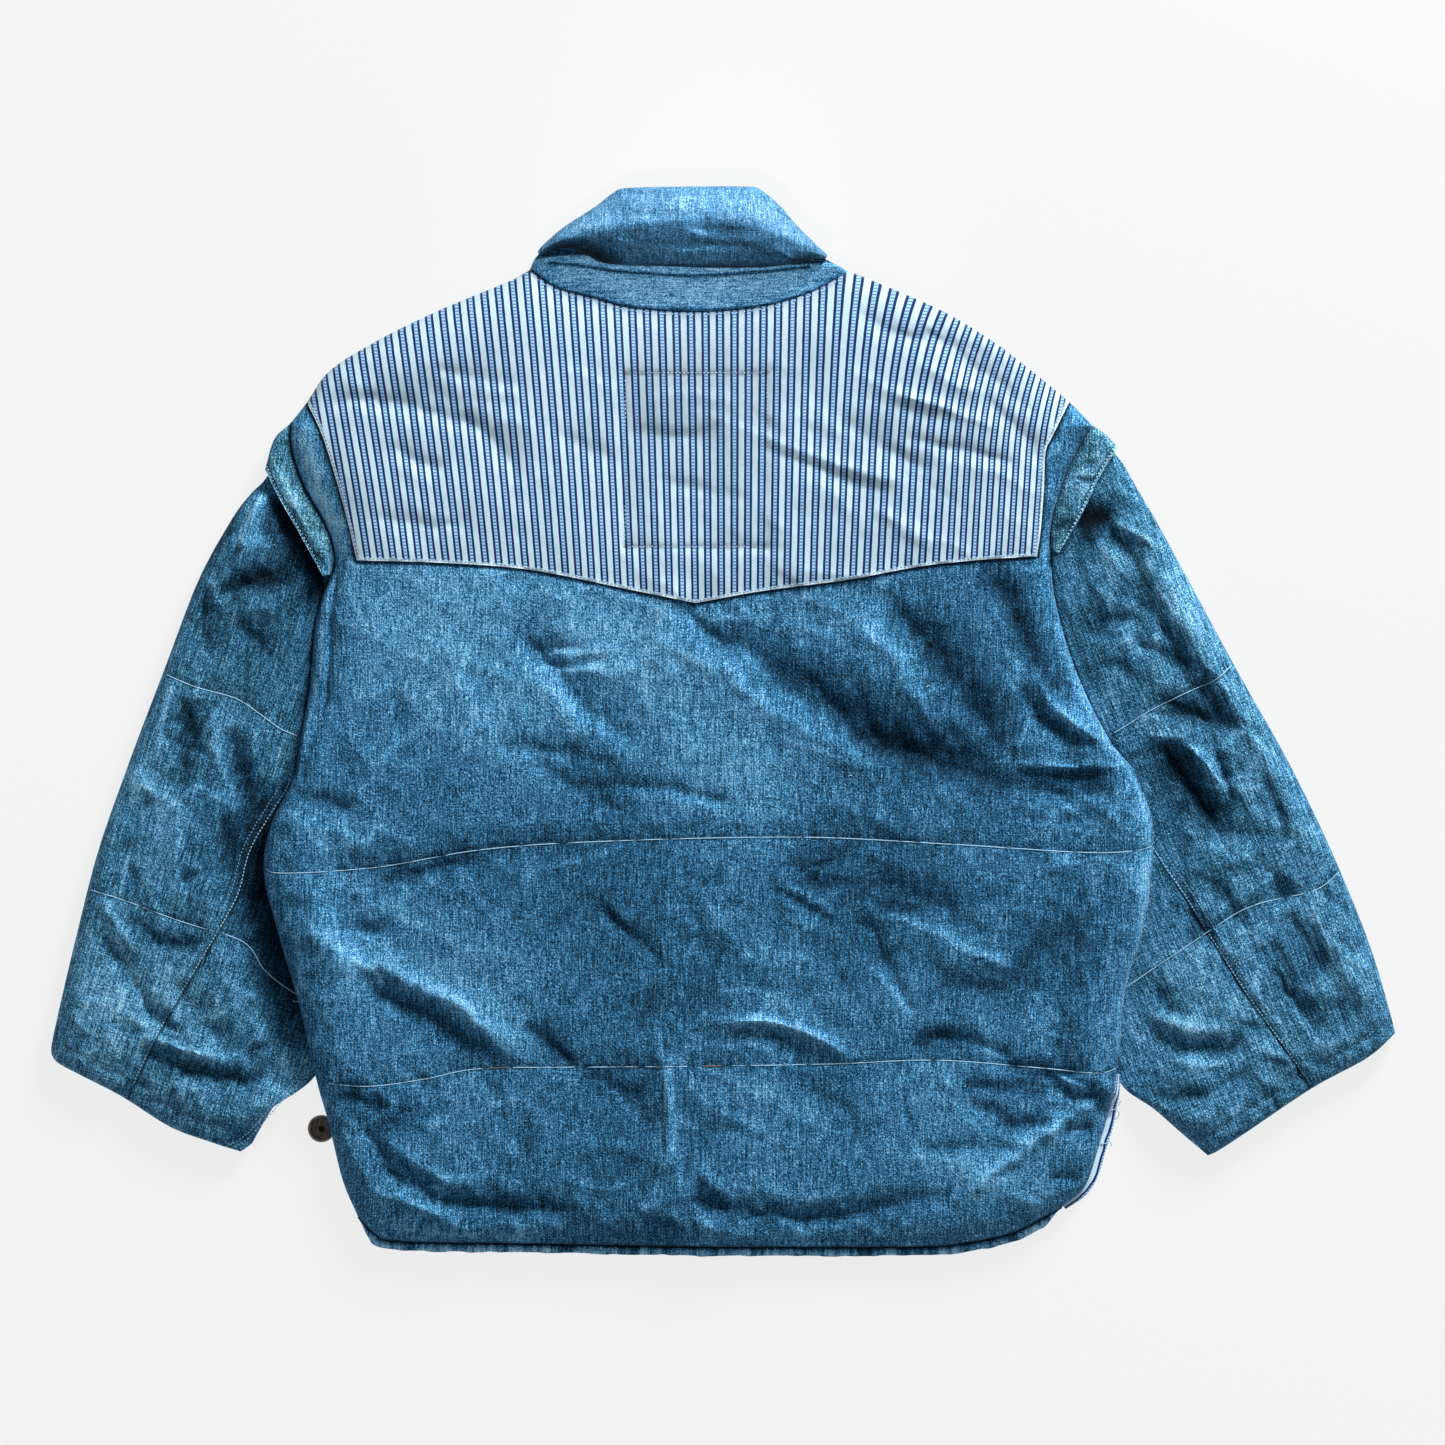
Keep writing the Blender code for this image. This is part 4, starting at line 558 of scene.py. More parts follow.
COLLAR_CREASES = folds(
    (1.8, 3, 4, [(-32, 361), (-10, 352), (12, 350), (38, 351)]),
    (-2.4, 5, 4, [(-20, 365), (5, 356), (44, 357)]),
    (2.2, 4, 3, [(34, 346), (50, 339), (73, 338)]),
    (-2.6, 4, 4, [(40, 350), (58, 343), (76, 342)]),
    (-3.0, 9, 8, [(-95, 364), (-50, 366), (30, 362)]),
    (-1.6, 3, 3, [(-47, 386), (-48, 376), (-52, 366)]),
    (-1.6, 3, 3, [(-8, 387), (-10, 376), (-6, 368)]),
    (1.4, 4, 4, [(-30, 388), (-32, 376), (-28, 366)]),
    (-2.0, 6, 5, [(-120, 351), (-98, 352), (-80, 346)]),
    (1.6, 5, 5, [(-60, 343), (-20, 341), (20, 341)]),
    (-1.5, 4, 4, [(-40, 350), (-5, 345), (25, 344)]),
)

# Painted shadow under the fall's free edge, painted shade in its hollows and painted highlights along its
# creases, as amounts of tone
FALL_PAINTED_LIGHT_AND_SHADE = folds(
    (-0.80, 3, 3, [(-134, 339), (-120, 343.5), (-106, 342), (-90, 336), (-70, 332.5)]),
    (-0.50, 1.5, 1.5, [(-70, 332), (-38, 331), (9, 330), (36, 331), (60, 335)]),
    (0.34, 1.4, 1.4, [(-30, 358), (-20, 355), (-8, 351.5)]),
    (0.30, 1.4, 1.4, [(-34, 341), (-18, 342), (0, 345)]),
    (0.50, 1.3, 1.3, [(36, 344.5), (44, 340.5), (52, 336)]),
    (-0.45, 1.6, 1.6, [(40, 340), (52, 335), (70, 338)]),
    (-0.20, 3, 4, [(-70, 349), (-30, 347), (10, 347), (48, 349)]),
    (0.08, 4, 3, [(-60, 341), (-20, 340), (20, 340)]),
    (0.16, 2, 2, [(-26, 357), (-2, 350), (18, 348), (34, 350)]),
    (-0.30, 6, 5, [(-128, 341), (-112, 345), (-92, 342), (-78, 336)]),
    (-0.12, 2, 2, [(-47, 386), (-49, 378), (-48, 368)]),
    (-0.12, 2, 2, [(-4, 388), (-6, 380), (-2, 371)]),
    (0.12, 2, 2, [(-26, 388), (-28, 378), (-25, 367)]),
)

# Broad lighter and darker places, partly the denim's wash and partly painted light and shade: how much
# lighter, reach and place
WashAndLight = namedtuple("WashAndLight", "amount reach x y")
BACK_WASH_AND_LIGHT = [
    WashAndLight(0.16, 75, -215, 70), WashAndLight(0.20, 60, -90, 55), WashAndLight(-0.16, 60, 110, -20), WashAndLight(-0.04, 70, 230, 20),
    WashAndLight(0.12, 50, 10, -30), WashAndLight(-0.12, 60, -250, -60), WashAndLight(-0.18, 60, -90, -120),
    WashAndLight(-0.20, 60, 100, -125),
    WashAndLight(-0.10, 90, -20, -200), WashAndLight(0.10, 50, -190, -190), WashAndLight(-0.16, 70, -60, -340),
    WashAndLight(0.10, 55, 190, -330),
    WashAndLight(0.12, 40, -275, 160), WashAndLight(0.05, 50, -60, 12), WashAndLight(0.10, 40, 60, 60), WashAndLight(-0.10, 60, 260, -150),
]
YOKE_WASH_AND_LIGHT = [WashAndLight(0.14, 70, -230, 180), WashAndLight(-0.24, 80, -12, 270), WashAndLight(0.10, 70, -60, 130),
             WashAndLight(0.08, 50, 220, 160)]
SLEEVE_WASH_AND_LIGHT = [
    WashAndLight(-0.18, 60, -350, 110), WashAndLight(-0.12, 50, -330, 40), WashAndLight(0.10, 60, -420, -60),
    WashAndLight(0.16, 50, -440, -220),
    WashAndLight(0.14, 40, -425, -185), WashAndLight(0.14, 45, -330, -240), WashAndLight(-0.10, 45, -360, -110),
    WashAndLight(-0.12, 45, 290, 135), WashAndLight(0.18, 45, 300, 90), WashAndLight(0.08, 50, 345, 45), WashAndLight(-0.10, 45, 430, -165),
    WashAndLight(0.16, 48, 338, -220), WashAndLight(-0.10, 40, 310, -60), WashAndLight(-0.06, 50, 280, -150),
]

# Painted shade and shadow on the sleeves: in their hollows, under the caps and beside the body, in the tone
# of the cloth: an amount in place of a height
SLEEVE_PAINTED_SHADE = folds(
    (-1.35, 2, 7, [(-328, 166), (-311, 137), (-299, 116), (-291, 98), (-289, 78)]),
    (-0.34, 3, 10, [(-336, 184), (-350, 160), (-364, 136), (-376, 110)]),
    (-0.28, 10, 8, [(-352, -4), (-346, -40), (-340, -70)]),
    (-0.22, 8, 8, [(-388, 14), (-393, -20), (-392, -56)]),
    (-0.28, 8, 8, [(-440, -138), (-410, -160), (-372, -166)]),
    (-0.24, 8, 8, [(-420, -238), (-384, -256), (-330, -256)]),
    (-0.34, 9, 7, [(-362, 98), (-338, 106), (-308, 100)]),
    (-0.22, 5, 5, [(-334, 152), (-322, 128), (-312, 108)]),
    (-0.95, 5, 22, [(-316, -45), (-331, -80), (-333, -115), (-319, -160), (-305, -205), (-296, -245)]),
    (-0.30, 9, 4, [(-285, 80), (-292, 50), (-300, 10), (-309, -32)]),
    (-1.15, 6, 9, [(256, 153), (263, 152), (271, 150), (281, 146)]),
    (-0.45, 6, 6, [(262, 152), (266, 140), (270, 128)]),
    (-0.20, 6, 6, [(258, 124), (270, 102), (294, 84)]), (-0.34, 7, 7, [(258, 84), (270, 68), (292, 60)]),
    (-0.36, 5, 5, [(284, 108), (308, 82), (326, 58)]), (-0.30, 6, 6, [(262, 42), (290, 42), (316, 28)]),
    (-0.36, 6, 6, [(316, 58), (336, 44), (344, 26)]), (-0.40, 8, 8, [(312, 16), (340, 12), (372, -4)]),
    (-0.60, 9, 9, [(318, -12), (332, -32), (346, -54), (360, -76)]),
    (-0.30, 4, 4, [(359, -18), (366, -40), (374, -62)]),
    (-0.26, 9, 9, [(294, -168), (315, -194), (339, -221)]),
    (-0.26, 8, 8, [(400, -150), (416, -184), (436, -220)]),
    (-0.34, 3, 6, [(240, 116), (246, 90), (258, 60), (274, 20)]),
)
# Painted highlights and worn pale lines along the body's edges and seams, and painted light on the body's
# left edge by the armhole, in the tone of the cloth
EDGE_HIGHLIGHTS_AND_WEAR = folds(
    (0.55, 8, 12, [(-309, 219), (-303, 195), (-294, 168), (-283, 140), (-276, 120)]),
    (0.28, 2.5, 2.5, [(240, 82), (254, 34), (276, -12), (294, -36), (307, -72), (306, -118), (298, -160)]),
    (0.22, 3, 3, [(-280, 108), (-289, 84), (-293, 49), (-298, 10), (-306, -30)]),
    (0.20, 4, 4, [(-262, -352), (-240, -366), (-200, -372), (-120, -374)]),
    (0.40, 2.5, 3, [(306, -96), (305, -142), (294, -189), (289, -235), (287, -256)]),
)


# Lines on the plan

def smooth(points, steps=10):
    """A Catmull-Rom line through the points."""
    knots = np.array(points, float)
    knots = np.vstack([2 * knots[0] - knots[1], knots, 2 * knots[-1] - knots[-2]])
    q = np.linspace(0, 1, steps, endpoint=False)[:, None]
    stretches = []
    for a, b, c, d in zip(knots, knots[1:], knots[2:], knots[3:]):
        stretches.append(0.5 * (2 * b + (c - a) * q + (2 * a - 5 * b + 4 * c - d) * q ** 2
                                + (3 * b - a - 3 * c + d) * q ** 3))
    return np.vstack(stretches + [knots[-2:-1]])


def length_of(line):
    return np.hypot(*np.diff(line, axis=0).T).sum()


def shares(line):
    """How far along the line each of its points is, from 0 to 1."""
    steps = np.hypot(*np.diff(line, axis=0).T)
    return np.concatenate([[0], np.cumsum(steps)]) / steps.sum()


def along(line, q):
    """Points at the shares q of the line's length."""
    at = shares(line)
    return np.stack([np.interp(q, at, line[:, 0]), np.interp(q, at, line[:, 1])], axis=-1)


def moved_out(line, distance):
    """The line moved to its left, seen along it, by the distance."""
    step = np.gradient(line, axis=0)
    step /= np.hypot(step[:, 0], step[:, 1])[:, None]
    return line + np.reshape(distance, (-1, 1)) * np.stack([-step[:, 1], step[:, 0]], axis=1)


def nearest_index(line, axis, value):
    return int(np.argmin(np.abs(line[:, axis] - value)))


def distance_to(x, y, line):
    """Distance from each plan point to the nearest stretch of the line."""
    best = np.full(np.shape(x), np.inf)
    for (ax, ay), (bx, by) in zip(line, line[1:]):
        run_x, run_y = bx - ax, by - ay
        q = np.clip(((x - ax) * run_x + (y - ay) * run_y) / max(run_x ** 2 + run_y ** 2, 1e-9), 0, 1)
        best = np.minimum(best, (x - ax - q * run_x) ** 2 + (y - ay - q * run_y) ** 2)
    return np.sqrt(best)


def beside(x, y, line, reach):
    """The points within reach of the line: which they are, how far along it, and how far to its left."""
    low, high = line.min(axis=0) - reach, line.max(axis=0) + reach
    chosen = np.flatnonzero((x > low[0]) & (x < high[0]) & (y > low[1]) & (y < high[1]))
    px, py = x[chosen], y[chosen]
    best = np.full(len(chosen), np.inf)
    travelled, side = np.zeros(len(chosen)), np.ones(len(chosen))
    start = 0.0
    for (ax, ay), (bx, by) in zip(line, line[1:]):
        run_x, run_y = bx - ax, by - ay
        length = max(np.hypot(run_x, run_y), 1e-6)
        q = np.clip(((px - ax) * run_x + (py - ay) * run_y) / length ** 2, 0, 1)
        gap = np.hypot(px - ax - q * run_x, py - ay - q * run_y)
        nearer = gap < best
        best[nearer] = gap[nearer]
        travelled[nearer] = start + q[nearer] * length
        side[nearer] = np.sign(run_x * (py - ay) - run_y * (px - ax))[nearer]
        start += length
    close = best < reach
    return chosen[close], travelled[close], (best * side)[close], start


def fade(value, reach, middle=0):
    """1 at the middle, and less the further from it, over the reach."""
    return np.exp(-((value - middle) / reach) ** 2)


def near(x, y, line, reach, power=2):
    """1 on the line, and less the further from it, over the reach."""
    return np.exp(-(distance_to(x, y, line) / reach) ** power)


def split(plan):
    """The x and the y of a grid of plan points."""
    return plan[..., 0], plan[..., 1]


def eased(count):
    """Shares from 0 to 1 that lie closer together at both ends."""
    even = np.linspace(0, 1, count + 1)
    return 0.5 * even + 0.25 * (1 - np.cos(np.pi * even))


def patch(bottom, top, left, right, s, t):
    """Plan points of a Coons patch between four lines, a row for each t."""
    low, high = along(bottom, s)[None], along(top, s)[None]
    west, east = along(left, t)[:, None], along(right, t)[:, None]
    s, t = s[None, :, None], t[:, None, None]
    corners = ((1 - s) * (1 - t) * bottom[0] + s * (1 - t) * bottom[-1]
               + (1 - s) * t * top[0] + s * t * top[-1])
    return (1 - t) * low + t * high + (1 - s) * west + s * east - corners


def coarse(count, step=COARSE):
    """Every few indices of a row of points, with the last one."""
    return sorted(set(range(0, count, step)) | {count - 1})


# Heights

def bulge(distance, reach):
    """A round rise from 0 at a seam to 1 at the reach."""
    q = np.clip(distance / reach, 0, 1)
    return np.sqrt(1 - (1 - q) ** 2)


def ramp(distance, reach):
    """A soft step from 0 to 1 over the reach."""
    q = np.clip(distance / reach, 0, 1)
    return q * q * (3 - 2 * q)


def rumple(x, y, size, seed):
    """Smooth noise from -1 to 1 over the plan, with bumps of about the size."""
    table = np.random.RandomState(seed).uniform(-1, 1, (64, 64))
    u, v = x / size + 900.3, y / size + 700.7
    i, j = np.floor(u).astype(int), np.floor(v).astype(int)
    f, g = u - i, v - j
    f, g = f ** 3 * (f * (6 * f - 15) + 10), g ** 3 * (g * (6 * g - 15) + 10)
    i, j = i % 64, j % 64
    i2, j2 = (i + 1) % 64, (j + 1) % 64
    return ((1 - f) * (1 - g) * table[i, j] + f * (1 - g) * table[i2, j]
            + (1 - f) * g * table[i, j2] + f * g * table[i2, j2])


def crumple(x, y, length, width, heading, seed):
    """Facets of crumpled cloth: a bowl from 0 to about 1 for each, and how near its sharp edge is."""
    turn = np.radians(heading)
    bent_x = x + FACET_BEND * length * rumple(x, y, 40, seed)
    bent_y = y + FACET_BEND * length * rumple(x, y, 36, seed + 1)
    u = (bent_x * np.cos(turn) + bent_y * np.sin(turn)) / length
    v = (bent_y * np.cos(turn) - bent_x * np.sin(turn)) / width
    centres = np.random.RandomState(seed).uniform(0.05, 0.95, (2, 64, 64))
    i, j = np.floor(u).astype(int), np.floor(v).astype(int)
    nearest, second = np.full(np.shape(x), np.inf), np.full(np.shape(x), np.inf)
    for a in (-1, 0, 1):
        for b in (-1, 0, 1):
            cell = (i + a) % 64, (j + b) % 64
            gap = (u - i - a - centres[0][cell]) ** 2 + (v - j - b - centres[1][cell]) ** 2
            second = np.minimum(second, np.maximum(nearest, gap))
            nearest = np.minimum(nearest, gap)
    return nearest, fade(np.sqrt(second) - np.sqrt(nearest), EDGE_SHARE)


def crumpled(x, y, heading, seed):
    """Large and small facets together: their height and the wear on their edges."""
    large, large_edge = crumple(x, y, *LARGE_FACET, heading, seed)
    small, small_edge = crumple(x, y, *SMALL_FACET, heading + 14, seed + 5)
    here = ramp(rumple(x, y, 58, seed + 9) + 0.55, 0.9)
    there = ramp(rumple(x, y, 34, seed + 10) + 0.35, 0.7)
    height = LARGE_RISE * (large - FACET_MEAN) * here + SMALL_RISE * (small - FACET_MEAN) * there
    return height, EDGE_WEAR * (large_edge * here + 0.6 * small_edge * there)


def crease_heights(x, y, creases):
    """Heights of the listed creases, which fade out at both ends of their lines."""
    height = np.zeros(x.size)
    for number, crease in enumerate(creases):
        reach = 2.6 * max(crease.left, crease.right)
        chosen, travelled, off, length = beside(x.ravel(), y.ravel(), smooth(crease.line, 6), reach)
        q = travelled / length
        jag = rumple(travelled + 0.6 * off, 0.8 * off, 8, number)
        off = off + FOLD_JAG * (crease.left + crease.right) * jag
        wander = 1 + 0.22 * np.sin(9 * q + 1.7 * number)
        wide = np.where(off > 0, crease.left, crease.right) * wander
        crisp = TROUGH_SHARPNESS if crease.height < 0 else RIDGE_SHARPNESS
        height[chosen] += crease.height * (1 - (2 * q - 1) ** 4) * np.exp(-(np.abs(off) / wide) ** crisp)
    return height.reshape(x.shape)


# A seam has a narrow groove, a wide valley, and puckers across it
Seam = namedtuple("Seam", "line groove groove_reach valley valley_reach pucker pitch pucker_reach")


def scattered(groups, seed):
    """Small creases for groups of wrinkles, uneven in place, length, height and bend."""
    chance = np.random.RandomState(seed)
    creases = []
    for group in groups:
        for _ in range(group.count):
            centre = np.array([group.x + group.spread_x * chance.uniform(-1, 1),
                               group.y + group.spread_y * chance.uniform(-1, 1)])
            angle = np.radians(group.heading + group.turn * chance.uniform(-1, 1))
            run, side = np.array([np.cos(angle), np.sin(angle)]), np.array([-np.sin(angle), np.cos(angle)])
            half = 0.5 * group.length * chance.uniform(0.45, 1.35)
            bend = 0.3 * half * chance.uniform(-1, 1)
            height = group.height * chance.uniform(0.5, 1.3) * (-1 if chance.uniform() < 0.55 else 1)
            reaches = WRINKLE_REACH * chance.uniform(0.7, 1.5, 2)
            line = [centre - half * run, centre + bend * side, centre + half * run]
            creases.append(Crease(height, *reaches, line))
    return creases


def seam_heights(x, y, seams):
    height = np.zeros(x.size)
    for number, seam in enumerate(seams):
        reach = 2.4 * max(seam.groove_reach, seam.valley_reach, seam.pucker_reach)
        chosen, travelled, off, _ = beside(x.ravel(), y.ravel(), seam.line, reach)
        ripple = rumple(travelled + 0.35 * off, np.where(off > 0, 40.0, 90.0), seam.pitch, 11 + number)
        height[chosen] -= seam.groove * fade(off, seam.groove_reach)
        height[chosen] -= seam.valley * fade(off, seam.valley_reach)
        height[chosen] += seam.pucker * ripple * np.exp(-(np.abs(off) / seam.pucker_reach) ** 1.5)
    return height.reshape(x.shape)


def washed_and_lit(x, y, places):
    """Tone of the wash and of painted light and shade: lighter above 0, darker below."""
    tone = np.zeros(x.shape)
    for place in places:
        tone += place.amount * np.exp(-((x - place.x) ** 2 + (y - place.y) ** 2) / place.reach ** 2)
    return tone


# Plan of the body

def rectangle_sides(count):
    """The four sides of the rectangle that is stitched on the yoke, each as a row of points."""
    ends = zip(STITCHED_RECTANGLE, STITCHED_RECTANGLE[1:])
    return [along(np.array(pair), np.linspace(0, 1, count)) for pair in ends]


def body_net():
    """The crossing lines of the body: its lines across, each split in five stretches."""
    left = np.vstack([smooth(LEFT_SIDE)[:-1], smooth(LEFT_ARMHOLE)])
    right = np.vstack([smooth(RIGHT_SIDE)[:-1], smooth(RIGHT_ARMHOLE)])
    across, left_at, right_at = [], [], []
    for line in BODY_LINES:
        left_at.append(nearest_index(left, 1, line.left_y))
        right_at.append(nearest_index(right, 1, line.right_y))
        stretches = [list(stretch) for stretch in line.stretches]
        stretches[0].insert(0, tuple(left[left_at[-1]]))
        stretches[-1].append(tuple(right[right_at[-1]]))
        whole = np.vstack([smooth(stretch) for stretch in stretches])
        stops = [0] + [nearest_index(whole, 0, x) for x in line.columns_x] + [len(whole) - 1]
        across.append([whole[a:b + 1] for a, b in zip(stops, stops[1:])])
    upright = []
    for band in range(len(BODY_ROWS)):
        low, high = across[band], across[band + 1]
        sides = [left[left_at[band]:left_at[band + 1] + 1]]
        sides += [np.array([low[i][0], high[i][0]]) for i in range(1, len(BODY_COLUMNS))]
        sides += [right[right_at[band]:right_at[band + 1] + 1]]
        upright.append(sides)
    low, high = across[YOKE_BAND], across[YOKE_BAND + 1]
    upright[YOKE_BAND][1] = smooth([low[1][0]] + YOKE_LEFT[1:-1] + [high[1][0]])
    upright[YOKE_BAND][4] = smooth([low[4][0]] + YOKE_RIGHT[1:-1] + [high[4][0]])
    return across, upright, left, right


def body_plan(across, upright):
    """Plan points of the whole body, rows from the hem up and columns from the left."""
    rows = []
    for band, row_count in enumerate(BODY_ROWS):
        t = eased(row_count)
        cells = []
        for i, column_count in enumerate(BODY_COLUMNS):
            s = np.linspace(0, 1, column_count + 1)
            cell = patch(across[band][i], across[band + 1][i], upright[band][i], upright[band][i + 1], s, t)
            cells.append(cell if i == 0 else cell[:, 1:])
        whole = np.hstack(cells)
        rows.append(whole if band == 0 else whole[1:])
    return np.vstack(rows)


class Body:
    """Plan and heights of the body's layers."""

    def __init__(self):
        across, upright, self.left, self.right = body_net()
        self.plan = body_plan(across, upright)
        top, hem = np.vstack(across[-1]), np.vstack(across[0])
        self.outline = np.vstack([self.left, top, self.right[::-1], hem[::-1]])[::3]
        self.outline = np.vstack([self.outline, self.outline[:1]])
        self.upper_quilt, self.lower_quilt = np.vstack(across[2]), np.vstack(across[1])
        self.middle = sum(BODY_COLUMNS) // 2
        self.centre = self.plan[:, self.middle]
        self.first_yoke_row = sum(BODY_ROWS[:YOKE_BAND])
        self.yoke_columns = slice(BODY_COLUMNS[0], sum(BODY_COLUMNS[:4]) + 1)
        yoke = self.plan[self.first_yoke_row:, self.yoke_columns]
        self.yoke_outline = np.vstack([yoke[0], yoke[1:, -1], yoke[-1, ::-1][1:], yoke[::-1, 0][1:]])
        self.seams = self.make_seams(yoke)
        self.wrinkles = scattered(BACK_WRINKLES, 81) + scattered(YOKE_WRINKLES, 82)

    def make_seams(self, yoke):
        seams = [Seam(self.upper_quilt, 0.6, 2.0, 1.6, 11, 0.6, 6.5, 9),
                 Seam(self.lower_quilt, 0.6, 2.0, 1.5, 11, 0.6, 6.0, 9),
                 Seam(yoke[0], 0, 2.0, 0.3, 7, 0.4, 6.0, 8),
                 Seam(smooth(LEFT_SIDE_SEAM), 1.8, 2.2, 1.2, 7, 0.7, 7.0, 9),
                 Seam(smooth(RIGHT_SIDE_SEAM), 1.6, 2.0, 1.0, 6, 0.6, 7.0, 8)]
        seams += [Seam(side, 0.7, 1.6, 0.5, 5, 0.25, 7.0, 6) for side in rectangle_sides(30)]
        edges = (self.left, self.right, self.plan[-1], self.plan[0])
        return seams + [Seam(edge[::2], 0, 1, 0, 1, 0.55, 7.5, 12) for edge in edges]

    def edge(self, x, y):
        return distance_to(x, y, self.outline)

    def lift(self, x, y):
        """Height of the body's underside: it lies on the inner parts of the sleeves."""
        height = np.zeros(np.shape(x))
        for sleeve, side in ((LEFT_SLEEVE, -1), (RIGHT_SLEEVE, 1)):
            inner = smooth(sleeve.inner)[::-1]
            inside = (np.interp(y, inner[:, 1], inner[:, 0]) - x) * side
            across = 1 - ramp(inside - LIFT_MARGIN, LIFT_RUN)
            below_top = ramp(LIFT_TOP[side] - y, LIFT_FADE)
            above_bottom = ramp(y - LIFT_BOTTOM[side], LIFT_FADE)
            height = np.maximum(height, BODY_LIFT * across * below_top * above_bottom)
        return height

    def channel(self, x, y):
        """The fronts ride up a little over the buttons of the opening."""
        centre_x = np.interp(y, self.centre[:, 1], self.centre[:, 0])
        return CHANNEL_HEIGHT * (1 - ramp(np.abs(x - centre_x) - CHANNEL_HALF_WIDTH, CHANNEL_RUN))

    def front_under(self, x, y):
        return np.maximum(self.lift(x, y), self.channel(x, y))

    def front_over(self, x, y, edge):
        return (self.lift(x, y) + 0.6 * self.channel(x, y) + FRONT_EDGE
                + (FRONT_WALL - FRONT_EDGE) * bulge(edge, PUFF_REACH))

    def back_under(self, x, y, edge):
        return self.front_over(x, y, edge) + 3 * SEAM + HOLLOW * bulge(edge, PUFF_REACH)

    def back_over(self, x, y):
        """The back's outer face, and how much each place is raised or sunk by folds."""
        edge = self.edge(x, y)
        under = self.back_under(x, y, edge)
        puff = BACK_EDGE + (BACK_WALL - BACK_EDGE) * bulge(edge, PUFF_REACH)
        rolled = 0.45 + 0.55 * bulge(edge, 3.5)
        folds = FOLD_DEPTH * crease_heights(x, y, BACK_CREASES + YOKE_CREASES) * ramp(edge, 12)
        wrinkled = crease_heights(x, y, self.wrinkles) * BACK_WRINKLE_SHARE
        wrinkled = (wrinkled + crease_heights(x, y, BACK_FINE)) * ramp(edge, 8)
        sewn = seam_heights(x, y, self.seams) * (0.3 + 0.7 * ramp(edge, 6))
        loose = 0.7 * rumple(x, y, 55, 3) + 0.35 * rumple(x + 0.4 * y, y - 0.3 * x, 21, 4)
        fine = 0.16 * rumple(x - 0.5 * y, y + 0.4 * x, 9, 5) + 0.09 * rumple(x, y, 5, 6)
        facets, self.worn = crumpled(x, y, -32, 101)
        left, right, bottom = YOKE_CALM
        at_yoke = ramp(y - bottom, CALM_FADE) * ramp(x - left, CALM_FADE) * ramp(right - x, CALM_FADE)
        facets = facets * (1 - (1 - YOKE_CRUMPLED) * at_yoke)
        shaped = under + puff * rolled + folds + wrinkled + sewn + (loose + fine + facets) * ramp(edge, 14)
        raised = folds + WRINKLE_WEAR_AND_SHADE * wrinkled + sewn + 0.7 * facets
        return np.maximum(shaped, under + np.minimum(LEAST_WALL, puff * rolled)), raised

    def top_height(self, x, y):
        """Height of whatever lies uppermost on the body's plan."""
        return self.back_over(x, y)[0]


# Meshes

def add_object(name, data):
    """A new object of the scene, from its mesh, light or camera."""
    thing = bpy.data.objects.new(name, data)
    bpy.context.collection.objects.link(thing)
    return thing


def add_mesh(name, points, faces, material, values=None):
    """A smooth-shaded object of triangles or quads, turned to face outwards."""
    points = np.array(points, float) * MM
    faces = [tuple(face) for face in faces]
    first = np.array([face[:3] for face in faces])
    a, b, c = points[first[:, 0]], points[first[:, 1]], points[first[:, 2]]
    if np.einsum("ij,ij->", a, np.cross(b, c)) < 0:
        faces = [face[::-1] for face in faces]
    mesh = bpy.data.meshes.new(name)
    mesh.from_pydata(points.tolist(), [], faces)
    mesh.materials.append(material)
    mesh.shade_smooth()
    mesh.set_sharp_from_angle(angle=1.1)
    for key, numbers in (values or {}).items():
        layer = mesh.attributes.new(key, "FLOAT", "POINT")
        layer.data.foreach_set("value", np.asarray(numbers, np.float32).ravel())
    return add_object(name, mesh)


def grid_faces(index, turned):
    """Four-sided faces for the cells of a grid of point indices."""
    cells = np.stack([index[:-1, :-1], index[:-1, 1:], index[1:, 1:], index[1:, :-1]], axis=-1)
    cells = cells.reshape(-1, 4)
    return (cells[:, ::-1] if turned else cells).tolist()


def rim_faces(outer, inner, turned):
    """Triangles between two lines of (place, index) pairs, where inner places are among the outer ones."""
    faces = []
    for (start, low), (end, high) in zip(inner, inner[1:]):
        between = [index for _, index in outer[start:end + 1]]
        faces += [(low, a, b) for a, b in zip(between, between[1:])]
        faces.append((low, between[-1], high))
    return [face[::-1] for face in faces] if turned else faces


def wall_faces(shape, rows, columns):
    """Faces of a closed wall between two grids; the inner one has some rows and columns of the outer one."""
    top = np.arange(shape[0] * shape[1]).reshape(shape)
    low = top.size + np.arange(len(rows) * len(columns)).reshape(len(rows), len(columns))
    faces = grid_faces(top, False) + grid_faces(low, True)
    for top_line, low_line, places, turned in (
            (top[0], low[0], columns, True), (top[-1], low[-1], columns, False),
            (top[:, 0], low[:, 0], rows, False), (top[:, -1], low[:, -1], rows, True)):
        faces += rim_faces(list(enumerate(top_line)), list(zip(places, low_line)), turned)
    return faces


def add_wall(name, outer, inner, material, values, rows=None, columns=None):
    """A closed wall as an object. Values are on the outer grid, and rows and columns are the inner one's."""
    rows = range(outer.shape[0]) if rows is None else rows
    columns = range(outer.shape[1]) if columns is None else columns
    points = np.vstack([outer.reshape(-1, 3), inner.reshape(-1, 3)])
    values = {key: np.concatenate([grid.ravel(), grid[np.ix_(rows, columns)].ravel()])
              for key, grid in values.items()}
    return add_mesh(name, points, wall_faces(outer.shape[:2], rows, columns), material, values)


